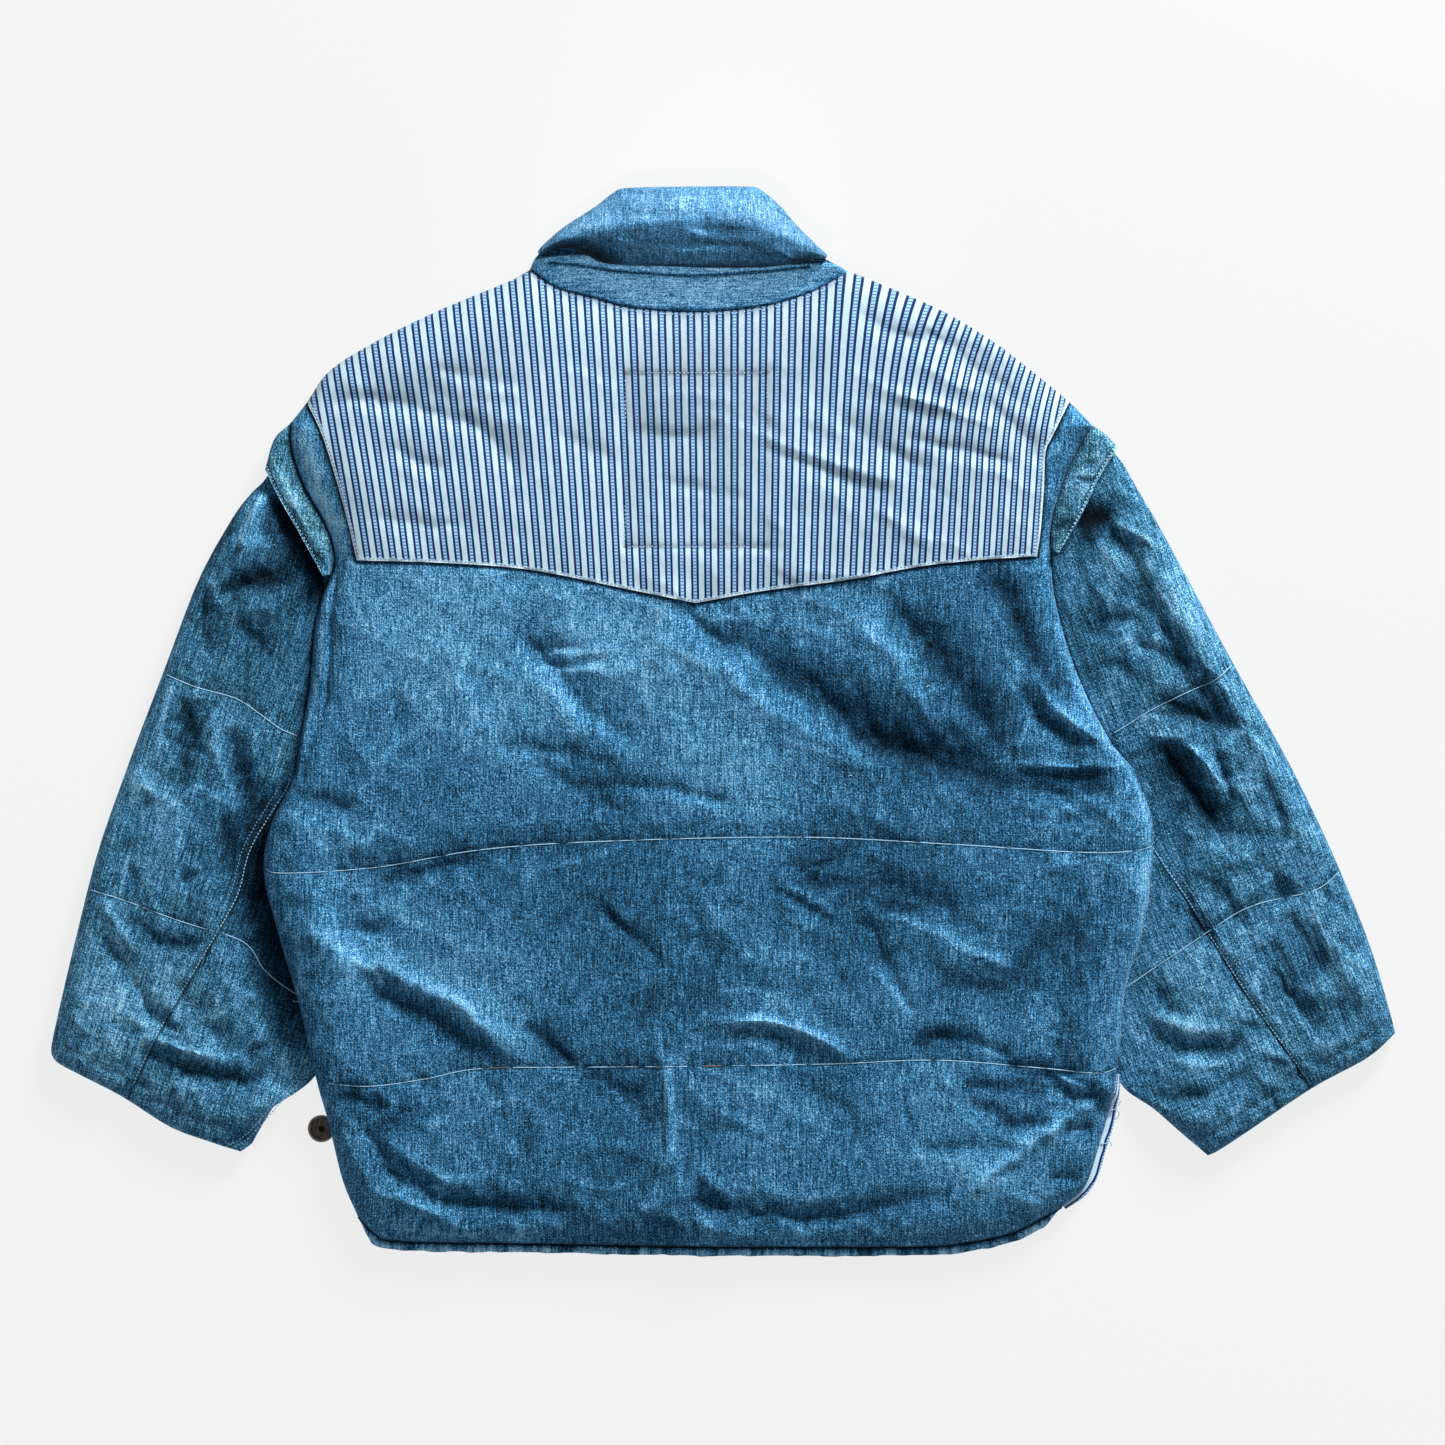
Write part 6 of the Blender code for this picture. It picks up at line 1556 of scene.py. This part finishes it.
class SleeveForm:
    """Plan and heights of one sleeve, from its head to its cuff."""

    def __init__(self, shape, head, cap_lower, side):
        self.shape, self.head, self.cap_lower, self.side = shape, head, cap_lower, side
        self.outer, self.inner = smooth(shape.outer), smooth(shape.inner)
        self.outer[0], self.inner[0] = head[0], head[-1]
        self.quilting = [smooth(shape.upper_quilt), smooth(shape.lower_quilt)]
        self.row_lines = [shape.upper_quilt[:-2], shape.lower_quilt[:-1]]
        self.cuff, self.seam = smooth(shape.cuff), smooth(shape.seam)
        self.flank = smooth(LEFT_SIDE if side < 0 else RIGHT_SIDE)
        self.seams = [Seam(line, 0.6, 2.0, 1.5, 9, 0.5, 6.5, 9) for line in self.quilting]
        self.seams.append(Seam(self.seam, 1.5, 1.9, 0.8, 8, 0.75, 8.0, 10))
        self.seams.append(Seam(moved_out(self.seam, side * 7.5), -0.5, 3.2, 0, 1, 0, 8.0, 1))
        self.seams.append(Seam(self.cuff, -0.9, 5.0, 0, 1, 1.1, 6.0, 14))
        self.seams.append(Seam(self.cuff_line(13), 1.0, 1.8, 0.5, 6, 0.7, 5.5, 8))
        if side < 0:
            self.seams.append(Seam(smooth(LEFT_SECOND_SEAM), 1.4, 1.8, 0.6, 6, 0.7, 7, 8))
        self.wrinkles = shape.thin + scattered(shape.wrinkles, 83 + side)

    def cuff_line(self, distance):
        """A line along the cuff, the distance up from its edge."""
        return moved_out(self.cuff, -self.side * distance)[2:-2]

    def band_lines(self):
        """The three bands of the sleeve as lines across and stretches of both edges."""
        outer_at = [nearest_index(self.outer, 1, line[0][1]) for line in self.row_lines]
        inner_at = [nearest_index(self.inner, 1, y) for y in self.shape.quilt_ends]
        lines = [self.head]
        for line, start, end in zip(self.row_lines, outer_at, inner_at):
            lines.append(smooth([tuple(self.outer[start])] + line[1:] + [tuple(self.inner[end])]))
        lines.append(self.cuff)
        return lines, [0] + outer_at + [len(self.outer) - 1], [0] + inner_at + [len(self.inner) - 1]

    def plan(self, places):
        """Plan points for a table of places across, with a line for each row of the sleeve."""
        lines, outer_at, inner_at = self.band_lines()
        rows = []
        for band_number, count in enumerate(SLEEVE_ROWS):
            for t in eased(count)[1 if band_number else 0:]:
                row = patch(lines[band_number], lines[band_number + 1],
                            self.outer[outer_at[band_number]:outer_at[band_number + 1] + 1],
                            self.inner[inner_at[band_number]:inner_at[band_number + 1] + 1],
                            places[len(rows)], np.array([t]))
                rows.append(row[0])
        return np.array(rows)

    def seam_places(self):
        """Where the long seam crosses each row, as a share of the way across."""
        across = np.linspace(0, 1, 161)
        rows = self.plan([across] * (sum(SLEEVE_ROWS) + 1))
        gaps = distance_to(*split(rows), self.seam)
        found = np.minimum(across[np.argmin(gaps, axis=1)], SEAM_FURTHEST)
        padded = np.concatenate([np.full(6, found[0]), found, np.full(6, found[-1])])
        return np.convolve(padded, np.full(13, 1 / 13), "valid")

    def height(self, x, y):
        """Full height of the stuffed sleeve over its underside."""
        from_head = distance_to(x, y, self.head[::3])
        from_cuff = distance_to(x, y, self.cuff[::3])
        grown = SLEEVE_HEAD_HEIGHT + (SLEEVE_HEIGHT - SLEEVE_HEAD_HEIGHT) * ramp(from_head, HEAD_REACH)
        ended = SLEEVE_CUFF_HEIGHT + (SLEEVE_HEIGHT - SLEEVE_CUFF_HEIGHT) * bulge(from_cuff, CUFF_REACH)
        beyond_body = (x - np.interp(y, self.flank[:, 1], self.flank[:, 0])) * self.side
        tucked = SLEEVE_TUCKED + (SLEEVE_HEIGHT - SLEEVE_TUCKED) * ramp(beyond_body - TUCK_MARGIN, TUCK_RUN)
        above_cuff = ramp(y - (self.inner[:, 1].min() + 30), 30)
        below_head = 1 - ramp(y + 30, 40)
        tucked = SLEEVE_HEIGHT + (tucked - SLEEVE_HEIGHT) * above_cuff * below_head
        return np.minimum(np.minimum(grown, ended), tucked)

    def underside(self, x, y):
        """The sleeve rests on the cap's lower layer near the shoulder tip."""
        from_head = distance_to(x, y, self.head[::3])
        near_head = 1 - ramp(from_head - CAP_LIFT_REACH, CAP_LIFT_RUN)
        return CAP_LIFT * near_head * ramp(y - (self.cap_lower - CAP_BELOW), 22)

    def side_gap(self, x, y):
        return np.minimum(distance_to(x, y, self.outer[::3]), distance_to(x, y, self.inner[::3]))

    def level(self, x, y, side_gap):
        """The lower inner face, and the slack to the upper one."""
        low, height = self.underside(x, y), self.height(x, y)
        slack = SLEEVE_SLACK * (height - low) / SLEEVE_HEIGHT * bulge(side_gap - SLEEVE_SIDE_WALL, 24)
        return low, height, low + UNDER_SHARE * (height - low), slack

    def over(self, x, y):
        """The upper outer face, and how much each place is raised by folds."""
        side_gap = self.side_gap(x, y)
        low, height, level, slack = self.level(x, y, side_gap)
        rise = bulge(side_gap, SLEEVE_SIDE_REACH)
        folds = SLEEVE_FOLD_DEPTH * crease_heights(x, y, self.shape.creases) * ramp(side_gap, 14)
        wrinkled = crease_heights(x, y, self.wrinkles) * ramp(side_gap, 8)
        sewn = seam_heights(x, y, self.seams) * (0.25 + 0.75 * ramp(side_gap, 8))
        loose = 0.6 * rumple(x, y, 48, 7) + 0.3 * rumple(x + 0.5 * y, y, 17, 8) + 0.14 * rumple(x, y, 7, 9)
        free = ramp(height - 8, 8)
        facets, worn = crumpled(x, y, self.shape.heading, 131 + self.side)
        facets = facets * ramp(side_gap, 14)
        raised = (folds + WRINKLE_WEAR_AND_SHADE * wrinkled + sewn + 0.7 * facets + worn / TONE_SHARE) * free
        moved = (folds + wrinkled + sewn + facets) * free
        top = low + (height - low) * (SIDE_LEVEL + (1 - SIDE_LEVEL) * rise) + moved + loose * free * rise
        return np.where(rise > 0.9, np.maximum(top, np.minimum(level + slack + 2.2, height)), top), raised

    def top_height(self, x, y):
        return self.over(x, y)[0]

    def surfaces(self, plan, w, inside):
        """Outer or inner points of the tube at ring places w."""
        x, y = split(plan)
        _, above = ring_side(w)
        side_gap = self.side_gap(x, y)
        low, height, level, slack = self.level(x, y, side_gap)
        if inside:
            return with_height(plan, np.where(above, level + slack, level)), 0 * x
        over, raised = self.over(x, y)
        under = low + (height - low) * SIDE_LEVEL * (1 - bulge(side_gap, SLEEVE_UNDER_REACH))
        return with_height(plan, np.where(above, over, under)), np.where(above, raised, 0)

    def add_piece(self, name, rings, material, node):
        """One cut piece of the sleeve, between two ring places on each row."""
        places, _ = ring_side(rings)
        sides = self.plan(np.tile([0.0, 1.0], (len(rings), 1)))
        width = np.hypot(*(sides[:, 1] - sides[:, 0]).T)
        inset = np.clip(SLEEVE_SIDE_WALL / np.maximum(width, 40), 0, 0.2)[:, None]
        rows, columns = coarse(len(rings)), coarse(rings.shape[1], 4)
        inner_plan = self.plan(inset + places * (1 - 2 * inset))[np.ix_(rows, columns)]
        outer, raised = self.surfaces(self.plan(places), rings, False)
        inner, _ = self.surfaces(inner_plan, rings[np.ix_(rows, columns)], True)
        x, y = split(outer)
        tone = fold_tone(raised) + washed_and_lit(x, y, SLEEVE_WASH_AND_LIGHT)
        tone += crease_heights(x, y, SLEEVE_PAINTED_SHADE) + FINE_WEAR_AND_SHADE * crease_heights(x, y, self.shape.thin)
        # Painted shade along the long seam and along the sleeve head, under the body's edge and the cap
        for line, dark in ((self.seam, 0.14), (self.head, 0.45)):
            tone -= dark * near(x, y, line[::3], 1.4)
        piece = add_wall(name, outer, inner, material, {"tone": tone}, rows, columns)
        placed(piece, (node,))


def add_sleeve(name, shape, edge, side, cap_lower, material):
    """The outer piece of a sleeve and the narrower under piece."""
    underarm = nearest_index(edge, 1, shape.inner[0][1])
    head = moved_out(edge[underarm:len(edge) - 1], -side * ARMHOLE_SEAM)[::-1]
    form = SleeveForm(shape, head, cap_lower, side)
    count = sum(SLEEVE_ROWS) + 1
    seam_at = form.seam_places()[:, None]
    stations = np.linspace(0, count - 1, len(shape.under_seam))
    under_at = np.interp(np.arange(count), stations, shape.under_seam)[:, None]
    under_at[0] = 1.05
    gap = SEAM / 2 / SLEEVE_WIDTH
    below = np.linspace(0, 1, SLEEVE_BELOW_COLUMNS) ** 1.6
    top = (seam_at - gap) * eased(SLEEVE_TOP_COLUMNS - 1)
    outer_rings = np.hstack([-(2 - under_at - gap) * below[:0:-1], top])
    under_rings = seam_at + gap + (under_at - seam_at - 2 * gap) * eased(UNDER_COLUMNS - 1)
    form.add_piece("sleeve_%s_cloth" % name, outer_rings, material, "sleeve_%s_outer" % name)
    form.add_piece("sleeve_%s_under_cloth" % name, under_rings, material, "sleeve_%s_under" % name)
    return form, head


def add_cap(name, shape, head, material):
    """A shoulder cap wraps over the sleeve head, above and below it. Returns its rim in the round."""
    lower = nearest_index(head, 1, shape.lower_y)
    tip = head[0] + (head[0] - head[3]) * 0.4
    seam_side = np.vstack([tip, head[:lower + 1]])
    fold = smooth([tuple(tip)] + shape.fold)
    rim = smooth(shape.rim)
    end = np.array([seam_side[-1], rim[-1]])
    length = length_of(seam_side)
    places = eased(64) ** 1.3
    across = np.linspace(0, 1, 34)
    plan = patch(seam_side, rim, fold, end, places, across)
    inset = CAP_UNDER_CLOTH / length
    plan_inside = patch(seam_side, rim, fold, end, inset + places * (1 - inset), across)
    turn = bulge(places * length, 2 * CAP_TURN)[None]
    open_inside = np.clip(places * length / CAP_TURN, 0, 1)[None]
    t = across[:, None]
    puffed = 1.6 * np.sin(np.pi * t) - fade(t, 0.05, CAP_STITCHED)
    high = CAP_SEAM_HEIGHT + (CAP_RIM_HEIGHT - CAP_SEAM_HEIGHT) * t ** 0.8
    x, y = split(plan)
    rough = 0.7 * rumple(x, y, 14, 51) + 0.4 * rumple(x + y, y - x, 7, 52)
    rough += crease_heights(x, y, CAP_CREASES)
    middle = 0.45 * high
    over = middle + (high + (puffed + rough) * ramp(places * length, 14)[None] - middle) * turn
    under = middle * (1 - turn) + 0 * x
    closed = (CAP_UNDER_CLOTH + 1.4) * (1 - open_inside)
    inside_over = (high - CAP_CLOTH) * open_inside + closed
    inside_under = CAP_UNDER_CLOTH * open_inside + closed + 0 * x
    outer = np.concatenate([with_height(plan, under)[:, :0:-1], with_height(plan, over)], axis=1)
    inner = np.concatenate([with_height(plan_inside, inside_under)[:, :0:-1],
                            with_height(plan_inside, inside_over)], axis=1)
    # Painted shade along the armhole seam and in the groove inside the stitched line, and lighter along the
    # rim
    shade = CAP_WEAR_AND_SHADE * rough + 0.25 * fade(t, 0.04, 0.97) - shape.seam_dark * fade(t, 0.05)
    shade += crease_heights(x, y, CAP_PAINTED_LIGHT_AND_SHADE) - 0.35 * fade(t, 0.035, 0.88)
    tone = np.concatenate([0 * x[:, :0:-1], shade], axis=1)
    piece = add_wall("cap_%s_cloth" % name, outer, inner, material, {"tone": tone})
    placed(piece, ("cap_" + name,))
    stitched = int(CAP_STITCHED * (len(across) - 1))
    return with_height(plan, over)[stitched], with_height(plan, over)[2]


# Collar

def loop_plans(bottom, top, places, t, inset):
    """Plan points of the outer and the inner face of a flattened loop between two lines."""
    left, right = np.array([bottom[0], top[0]]), np.array([bottom[-1], top[-1]])
    inner_places = inset + places * (1 - 2 * inset)
    return [patch(bottom, top, left, right, across, t) for across in (places, inner_places)]


def add_collar_band(body, material):
    """The band stands between the neck seam and the fall."""
    first, last = BODY_COLUMNS[0] + BODY_COLUMNS[1], sum(BODY_COLUMNS[:3]) + 1
    neck = moved_out(body.plan[-1][first:last], 0.05)
    seen_top, top = smooth(BAND_TOP), smooth(BAND_FOLD)
    back = np.linspace(0, 1, 110)
    half = back[back <= 0.5 - FRONT_OPENING][::3]
    front = 2 - back[back >= 0.5 + FRONT_OPENING][::-1][::3]
    rings = np.concatenate([-half[:0:-1], back, front[1:]])
    places, above = ring_side(rings)
    t = np.linspace(0, 1, 42)
    plan, inside = loop_plans(neck, top, places, t, BAND_INSET)
    up = ramp(t, 0.55)[:, None]
    turn = bulge(np.minimum(places, 1 - places), 0.04)[None]
    high = BAND_LOW + (BAND_HIGH - BAND_LOW) * up
    low = BAND_FRONT_LIFT * up
    middle, half_height = (high + low) / 2, (high - low) / 2
    facing = np.where(above, 1, -1)
    x, y = split(plan)
    seams = [Seam(smooth(BAND_SEAM), 1.0, 1.3, 0.6, 4, 0.4, 6, 6), Seam(neck, 1.0, 2.0, 0, 1, 0.5, 7, 8)]
    beyond = np.maximum(y - np.interp(x, seen_top[:, 0], seen_top[:, 1]), 0)
    hidden = ramp(beyond, 4)
    relief = (seam_heights(x, y, seams) + 0.5 * rumple(x, y, 13, 61) + 0.25 * rumple(x, y, 5, 62)) * above
    drop = BAND_INSIDE_DROP * hidden * above
    outer_z = middle + facing * half_height * (0.4 + 0.6 * turn)
    outer_z += np.minimum(relief, 0.4) * (1 - hidden) - drop
    inner_z = middle + facing * np.maximum(half_height - BAND_CLOTH, 0.3) * turn
    from_neck = distance_to(x, y, neck[::3])
    # Painted shade along the band's seam, where it goes in under the fall and along the neck seam, less the
    # painted light on the whole band
    dark = 0.75 * near(x, y, smooth(BAND_SEAM), 1.1) + 0.75 * hidden - BAND_PAINTED_LIGHT
    dark += 0.5 * fade(from_neck, 1.2) + 0.20 * fade(from_neck, 9)
    piece = add_wall("collar_band_cloth", with_height(plan, outer_z), with_height(inside, inner_z), material,
                     {"tone": 0.03 * relief - dark})
    placed(piece, ("collar_band",))


def add_collar_fall(material):
    """The fall is a thick padded roll at the back of the neck and a flat leaf in front."""
    free, top = smooth(FALL_FREE), smooth(FALL_TOP)
    back = eased(COLLAR_COLUMNS)
    half = np.linspace(0, 0.5 - FRONT_OPENING, COLLAR_COLUMNS // 3)[1:]
    rings = np.concatenate([-half[::-1], back, 1 + half])
    places, above = ring_side(rings)
    t = eased(56) ** 1.15
    plan, inside = loop_plans(free, top, places, t, FALL_INSET)
    x, y = split(plan)
    from_free, from_top = distance_to(x, y, free), distance_to(x, y, top)
    lip = FALL_LIP + (FALL_CREST - FALL_LIP) * bulge(from_free, 20)
    rim = FALL_RIM + (FALL_CREST - FALL_RIM) * bulge(from_top, 30)
    folds = crease_heights(x, y, COLLAR_CREASES)
    loose = 0.5 * rumple(x, y, 16, 71) + 0.3 * rumple(1.6 * x, y, 7, 72)
    gathers = 0.5 * rumple(x, 0 * x, 7, 73) * fade(from_top, 14)
    relief = (folds + loose) * ramp(np.minimum(from_free, from_top), 7) + gathers * ramp(from_top, 4)
    over = np.minimum(lip, rim) + relief
    under = 2.0 * (1 - bulge(from_top, 8))
    outer = with_height(plan, np.where(above, over, under))
    rows, columns = coarse(len(t), 4), coarse(len(rings), 3)
    few = inside[np.ix_(rows, columns)]
    opened = ramp(distance_to(*split(few), top), 24)
    low, high = (closed + (wide - closed) * opened for closed, wide in zip(FALL_CLOSED, FALL_OPEN))
    inner = with_height(few, np.where(above[columns], high, low))
    # Painted light on the upper side of the roll, less near its top, and painted shade on its lower side
    line = smooth(FALL_TURN)
    above_turn = ramp(y - np.interp(x, line[:, 0], line[:, 1]) + 7, 9)
    pale = above_turn * (0.27 - 0.20 * fade(from_top, 9)) - 0.20 * (1 - above_turn)
    pale += crease_heights(x, y, FALL_PAINTED_LIGHT_AND_SHADE)
    tone = {"tone": fold_tone(relief) + pale}
    piece = add_wall("collar_fall_cloth", outer, inner, material, tone, rows, columns)
    placed(piece, ("collar_fall",))


# Buttons

def turned(centre, shape, profile, sides):
    """A turned solid from a profile of (share of radius, share of thickness) rows."""
    angles = np.linspace(0, 2 * np.pi, sides, endpoint=False)
    points = [(centre[0] + shape.radius * r * np.cos(a), centre[1] + shape.radius * r * np.sin(a),
               shape.base + shape.thickness * z) for r, z in profile for a in angles]
    return points, ring_faces(len(profile), sides)


BUTTON_PROFILE = ((0.80, 0.0), (0.93, 0.10), (1.0, 0.35), (1.0, 0.60), (0.96, 0.85), (0.89, 0.98),
                  (0.82, 1.0), (0.76, 0.90), (0.70, 0.74), (0.60, 0.68), (0.30, 0.66))
BUTTON_RIM_WEAR = 0.32


def add_buttons(body, material, dark_thread):
    """The side button with its sewing thread, and the five under the front opening."""
    places = [("side_button", SIDE_BUTTON_AT, SIDE_BUTTON, 48)]
    for number, y in enumerate(FRONT_BUTTON_HEIGHTS, start=1):
        x = np.interp(y, body.centre[:, 1], body.centre[:, 0]) + FRONT_BUTTON.radius + 2
        places.append(("front_button_%d" % number, (x, y), FRONT_BUTTON, 32))
    for node, centre, shape, sides in places:
        points, faces = turned(centre, shape, BUTTON_PROFILE, sides)
        worn = np.repeat([BUTTON_RIM_WEAR if r > 0.85 else 0.0 for r, _ in BUTTON_PROFILE], sides)
        placed(add_mesh(node + "_turned", points, faces, material, {"tone": worn}), (node,))
    x, y = SIDE_BUTTON_AT
    top = SIDE_BUTTON.base + THREAD_SEAT * SIDE_BUTTON.thickness
    bars = [np.array([[x + dx, y - 2.6, top], [x + dx, y, top + 0.5], [x + dx, y + 2.6, top]])
            for dx in (-1.5, -0.5, 0.5, 1.5)]
    add_threads("button_thread", bars, dark_thread, pitch=6, share=1.0, radius=0.55)


# Sewing

QUILTING_RADIUS = 0.37
QUILTING_RISE = 0.12
THREAD_BREAKS = [(-170, -156), (-15, -1)]
LINT = [(147.5, 25), (90.9, -39.8)]


def shares_at(line, span):
    """Shares along the line between two places across."""
    return np.linspace(*np.interp(span, line[:, 0], shares(line)), 12)


def unbroken(line):
    """The stretches of a sewn line between the breaks of its thread."""
    stops = [line[1, 0]] + [x for span in THREAD_BREAKS for x in span] + [line[-2, 0]]
    return [line[(line[:, 0] >= low) & (line[:, 0] <= high)] for low, high in zip(stops[::2], stops[1::2])]


def add_sewing(body, forms, rims, cap_seam, pale, blue, brown, indigo):
    """Quilting threads, top-stitching and seam stitching."""
    over = body.top_height
    sewn = [body.upper_quilt[1:-1]] + unbroken(body.lower_quilt)
    quilting = [line_3d(line, over, QUILTING_RISE) for line in sewn]
    for form in forms:
        quilting += [line_3d(line[1:-1], form.top_height, QUILTING_RISE) for line in form.quilting]
    add_tubes("quilting_threads", quilting, QUILTING_RADIUS, pale)
    knots = [line_3d(along(body.lower_quilt, shares_at(body.lower_quilt, span)), over, 0.3)
             for span in THREAD_BREAKS]
    add_tubes("thread_breaks", knots, 0.5, brown)
    lint = [line_3d(np.array([(x, y), (x + 1.6, y + 1.0), (x + 2.8, y + 0.4)]), over, 0.3) for x, y in LINT]
    add_tubes("lint", lint, 0.35, pale)

    def on_yoke(x, y):
        return over(x, y) + YOKE_CLEAR + YOKE_CLOTH

    yoke = body.plan[body.first_yoke_row:, body.yoke_columns]
    edges = [moved_out(yoke[0], 1.7), moved_out(yoke[:, 0], -1.7), moved_out(yoke[:, -1], 1.7)]
    first, last = BODY_COLUMNS[1], BODY_COLUMNS[1] + BODY_COLUMNS[2] + 1
    edges.append(moved_out(yoke[-1][first:last], -2.2))
    edges += rectangle_sides(60)
    add_threads("yoke_stitching", [line_3d(line[2:-2], on_yoke, 0.05) for line in edges], pale,
                pitch=2.9, share=0.72, radius=0.42)

    side_seam = smooth(RIGHT_SIDE_SEAM)
    seams = [line_3d(moved_out(side_seam, off)[2:-2], over, 0.05) for off in (-1.6, -5.4)]
    edge_rows = []
    for form in forms:
        lines = [moved_out(form.seam, form.side * 6.4)[4:-2], form.cuff_line(13)]
        edge_rows.append(line_3d(moved_out(form.seam, form.side * 1.3)[4:-2], form.top_height, 0.15))
        if form.side < 0:
            lines += [moved_out(smooth(LEFT_SECOND_SEAM), off) for off in (1.8, 5.0)]
        seams += [line_3d(line, form.top_height, 0.05) for line in lines]
    add_threads("seam_stitching", seams, blue, pitch=2.7, share=0.72, radius=0.36)
    add_threads("seam_edge_stitching", edge_rows, pale, pitch=2.7, share=0.85, radius=0.42)
    add_threads("cap_seam_stitching", [cap_seam[3:] + np.array([0, 0, 0.5])], indigo,
                pitch=3.4, share=0.6, radius=0.4)
    add_threads("cap_stitching", [rim[2:] + np.array([0, 0, 0.1]) for rim in rims], pale,
                pitch=2.9, share=0.74, radius=0.6)


LOOSE_THREADS = [
    [(-432, -258, 9), (-427, -262, 10), (-424, -261, 9.5), (-419, -265, 7), (-415, -262, 8)],
    [(282, -284, 6), (286, -283, 3.5), (289, -286, 1.5), (287, -290, 1.0), (283, -289, 2.0)],
    [(275, -306, 5), (279, -308, 3), (282, -306, 1.5), (284, -310, 1.0)],
    [(283, -279, 6), (288, -280, 3.0), (290, -277, 1.5)],
    [(-308, -203, 10), (-311, -204, 9.5), (-313, -203.5, 9.3)],
]


def add_loose_threads(pale):
    """Frayed ends at the slit and the cuff."""
    routes = []
    for route in LOOSE_THREADS:
        flat = smooth([point[:2] for point in route], 8)
        rise = np.interp(np.linspace(0, 1, len(flat)), np.linspace(0, 1, len(route)), [p[2] for p in route])
        routes.append(np.column_stack([flat, rise]))
    add_tubes("loose_threads", routes, 0.32, pale)


# Studio, in metres
FLOOR_HALF = 6.0
FLOOR_LEVEL = -0.0004
FLOOR_GLOW = 0.815


def add_floor():
    material, _, shader = blank_material("pale_floor", 0.9, specular=0.0)
    shader.inputs["Base Color"].default_value = (0.09, 0.09, 0.09, 1)
    shader.inputs["Emission Color"].default_value = (1, 1, 1, 1)
    shader.inputs["Emission Strength"].default_value = FLOOR_GLOW
    corners = [(-1, -1), (1, -1), (1, 1), (-1, 1)]
    mesh = bpy.data.meshes.new("floor")
    mesh.from_pydata([(FLOOR_HALF * x, FLOOR_HALF * y, FLOOR_LEVEL) for x, y in corners], [], [(0, 1, 2, 3)])
    mesh.materials.append(material)
    add_object("floor", mesh)


def add_light(name, place, size, power, target=(0, 0, 0), spread=180):
    """A square area light that faces its target, with its light kept within the spread."""
    data = bpy.data.lights.new(name, "AREA")
    data.shape = "SQUARE"
    data.size = size
    data.energy = power
    data.spread = np.radians(spread)
    lamp = add_object(name, data)
    lamp.location = place
    lamp.rotation_mode = "QUATERNION"
    lamp.rotation_quaternion = (Vector(place) - Vector(target)).to_track_quat("Z", "Y")


def add_studio():
    add_light("window", (1.35, 2.65, 1.30), size=1.0, power=190)
    add_light("collar_fill", (-0.30, -0.60, 1.30), size=0.15, power=0.085, target=(-0.02, 0.33, 0.01),
              spread=13)
    world = bpy.data.worlds.new("studio")
    world.use_nodes = True
    background = world.node_tree.nodes["Background"]
    background.inputs["Color"].default_value = (0.96, 0.98, 1.0, 1)
    background.inputs["Strength"].default_value = 0.30
    bpy.context.scene.world = world
    bpy.context.scene.view_settings.view_transform = "Standard"


def add_camera():
    data = bpy.data.cameras.new("camera")
    data.sensor_width = SENSOR
    data.lens = SENSOR * CAMERA_HEIGHT / (PHOTO_PIXELS * PIXEL)
    data.clip_end = 50
    camera = add_object("camera", data)
    camera.location = (PHOTO_CENTRE[0] * MM, PHOTO_CENTRE[1] * MM, CAMERA_HEIGHT * MM)
    bpy.context.scene.camera = camera


def main():
    body = Body()
    cloth = denim("denim_back_cloth", warm=0.5, tint=(0.90, 0.99, 0.97))
    dark_cloth = denim("denim_front_cloth", lighter=-0.05)
    binding = denim("denim_binding_cloth", lighter=-0.04, warm=0.2)
    collar = denim("denim_collar_cloth", warm=0.6, grain=0.66, tint=(1.70, 1.02, 0.88))
    # A lighter copy of the denim: painted light on the band, which lies in the fall's shadow
    band_cloth = denim("denim_band_cloth", turn=np.pi / 2, lighter=0.15)
    cap_cloth = denim("denim_cap_cloth", lighter=0.02, warm=0.6, tint=(1.42, 1.06, 0.74))
    stripes = ticking("ticking_cloth")
    pale = thread("pale_thread", linear(164, 208, 236))
    blue = thread("blue_thread", linear(132, 178, 208))
    dark_thread = thread("black_thread", linear(28, 27, 30))

    over, raised = add_back(body, cloth)
    add_yoke(body, over, raised, stripes)
    add_fronts(body, dark_cloth)
    add_hem(body, binding)
    add_facing(body, stripes)
    forms, rims = [], []
    for name, shape, cap, edge, side in (("left", LEFT_SLEEVE, LEFT_CAP, body.plan[:, 0], -1),
                                         ("right", RIGHT_SLEEVE, RIGHT_CAP, body.plan[:, -1], 1)):
        sleeve_cloth = denim("denim_sleeve_%s_cloth" % name, turn=shape.grain, lighter=0.01, warm=0.5)
        form, head = add_sleeve(name, shape, edge, side, cap.lower_y, sleeve_cloth)
        forms.append(form)
        rim, cap_seam = add_cap(name, cap, head, cap_cloth)
        rims.append(rim)
    add_collar_band(body, band_cloth)
    add_collar_fall(collar)
    add_buttons(body, horn("horn_turned"), dark_thread)
    brown = thread("brown_thread", linear(120, 104, 96))
    indigo = thread("indigo_thread", linear(46, 84, 112))
    add_sewing(body, forms, rims, cap_seam, pale, blue, brown, indigo)
    add_loose_threads(pale)
    add_floor()
    add_studio()
    add_camera()


main()
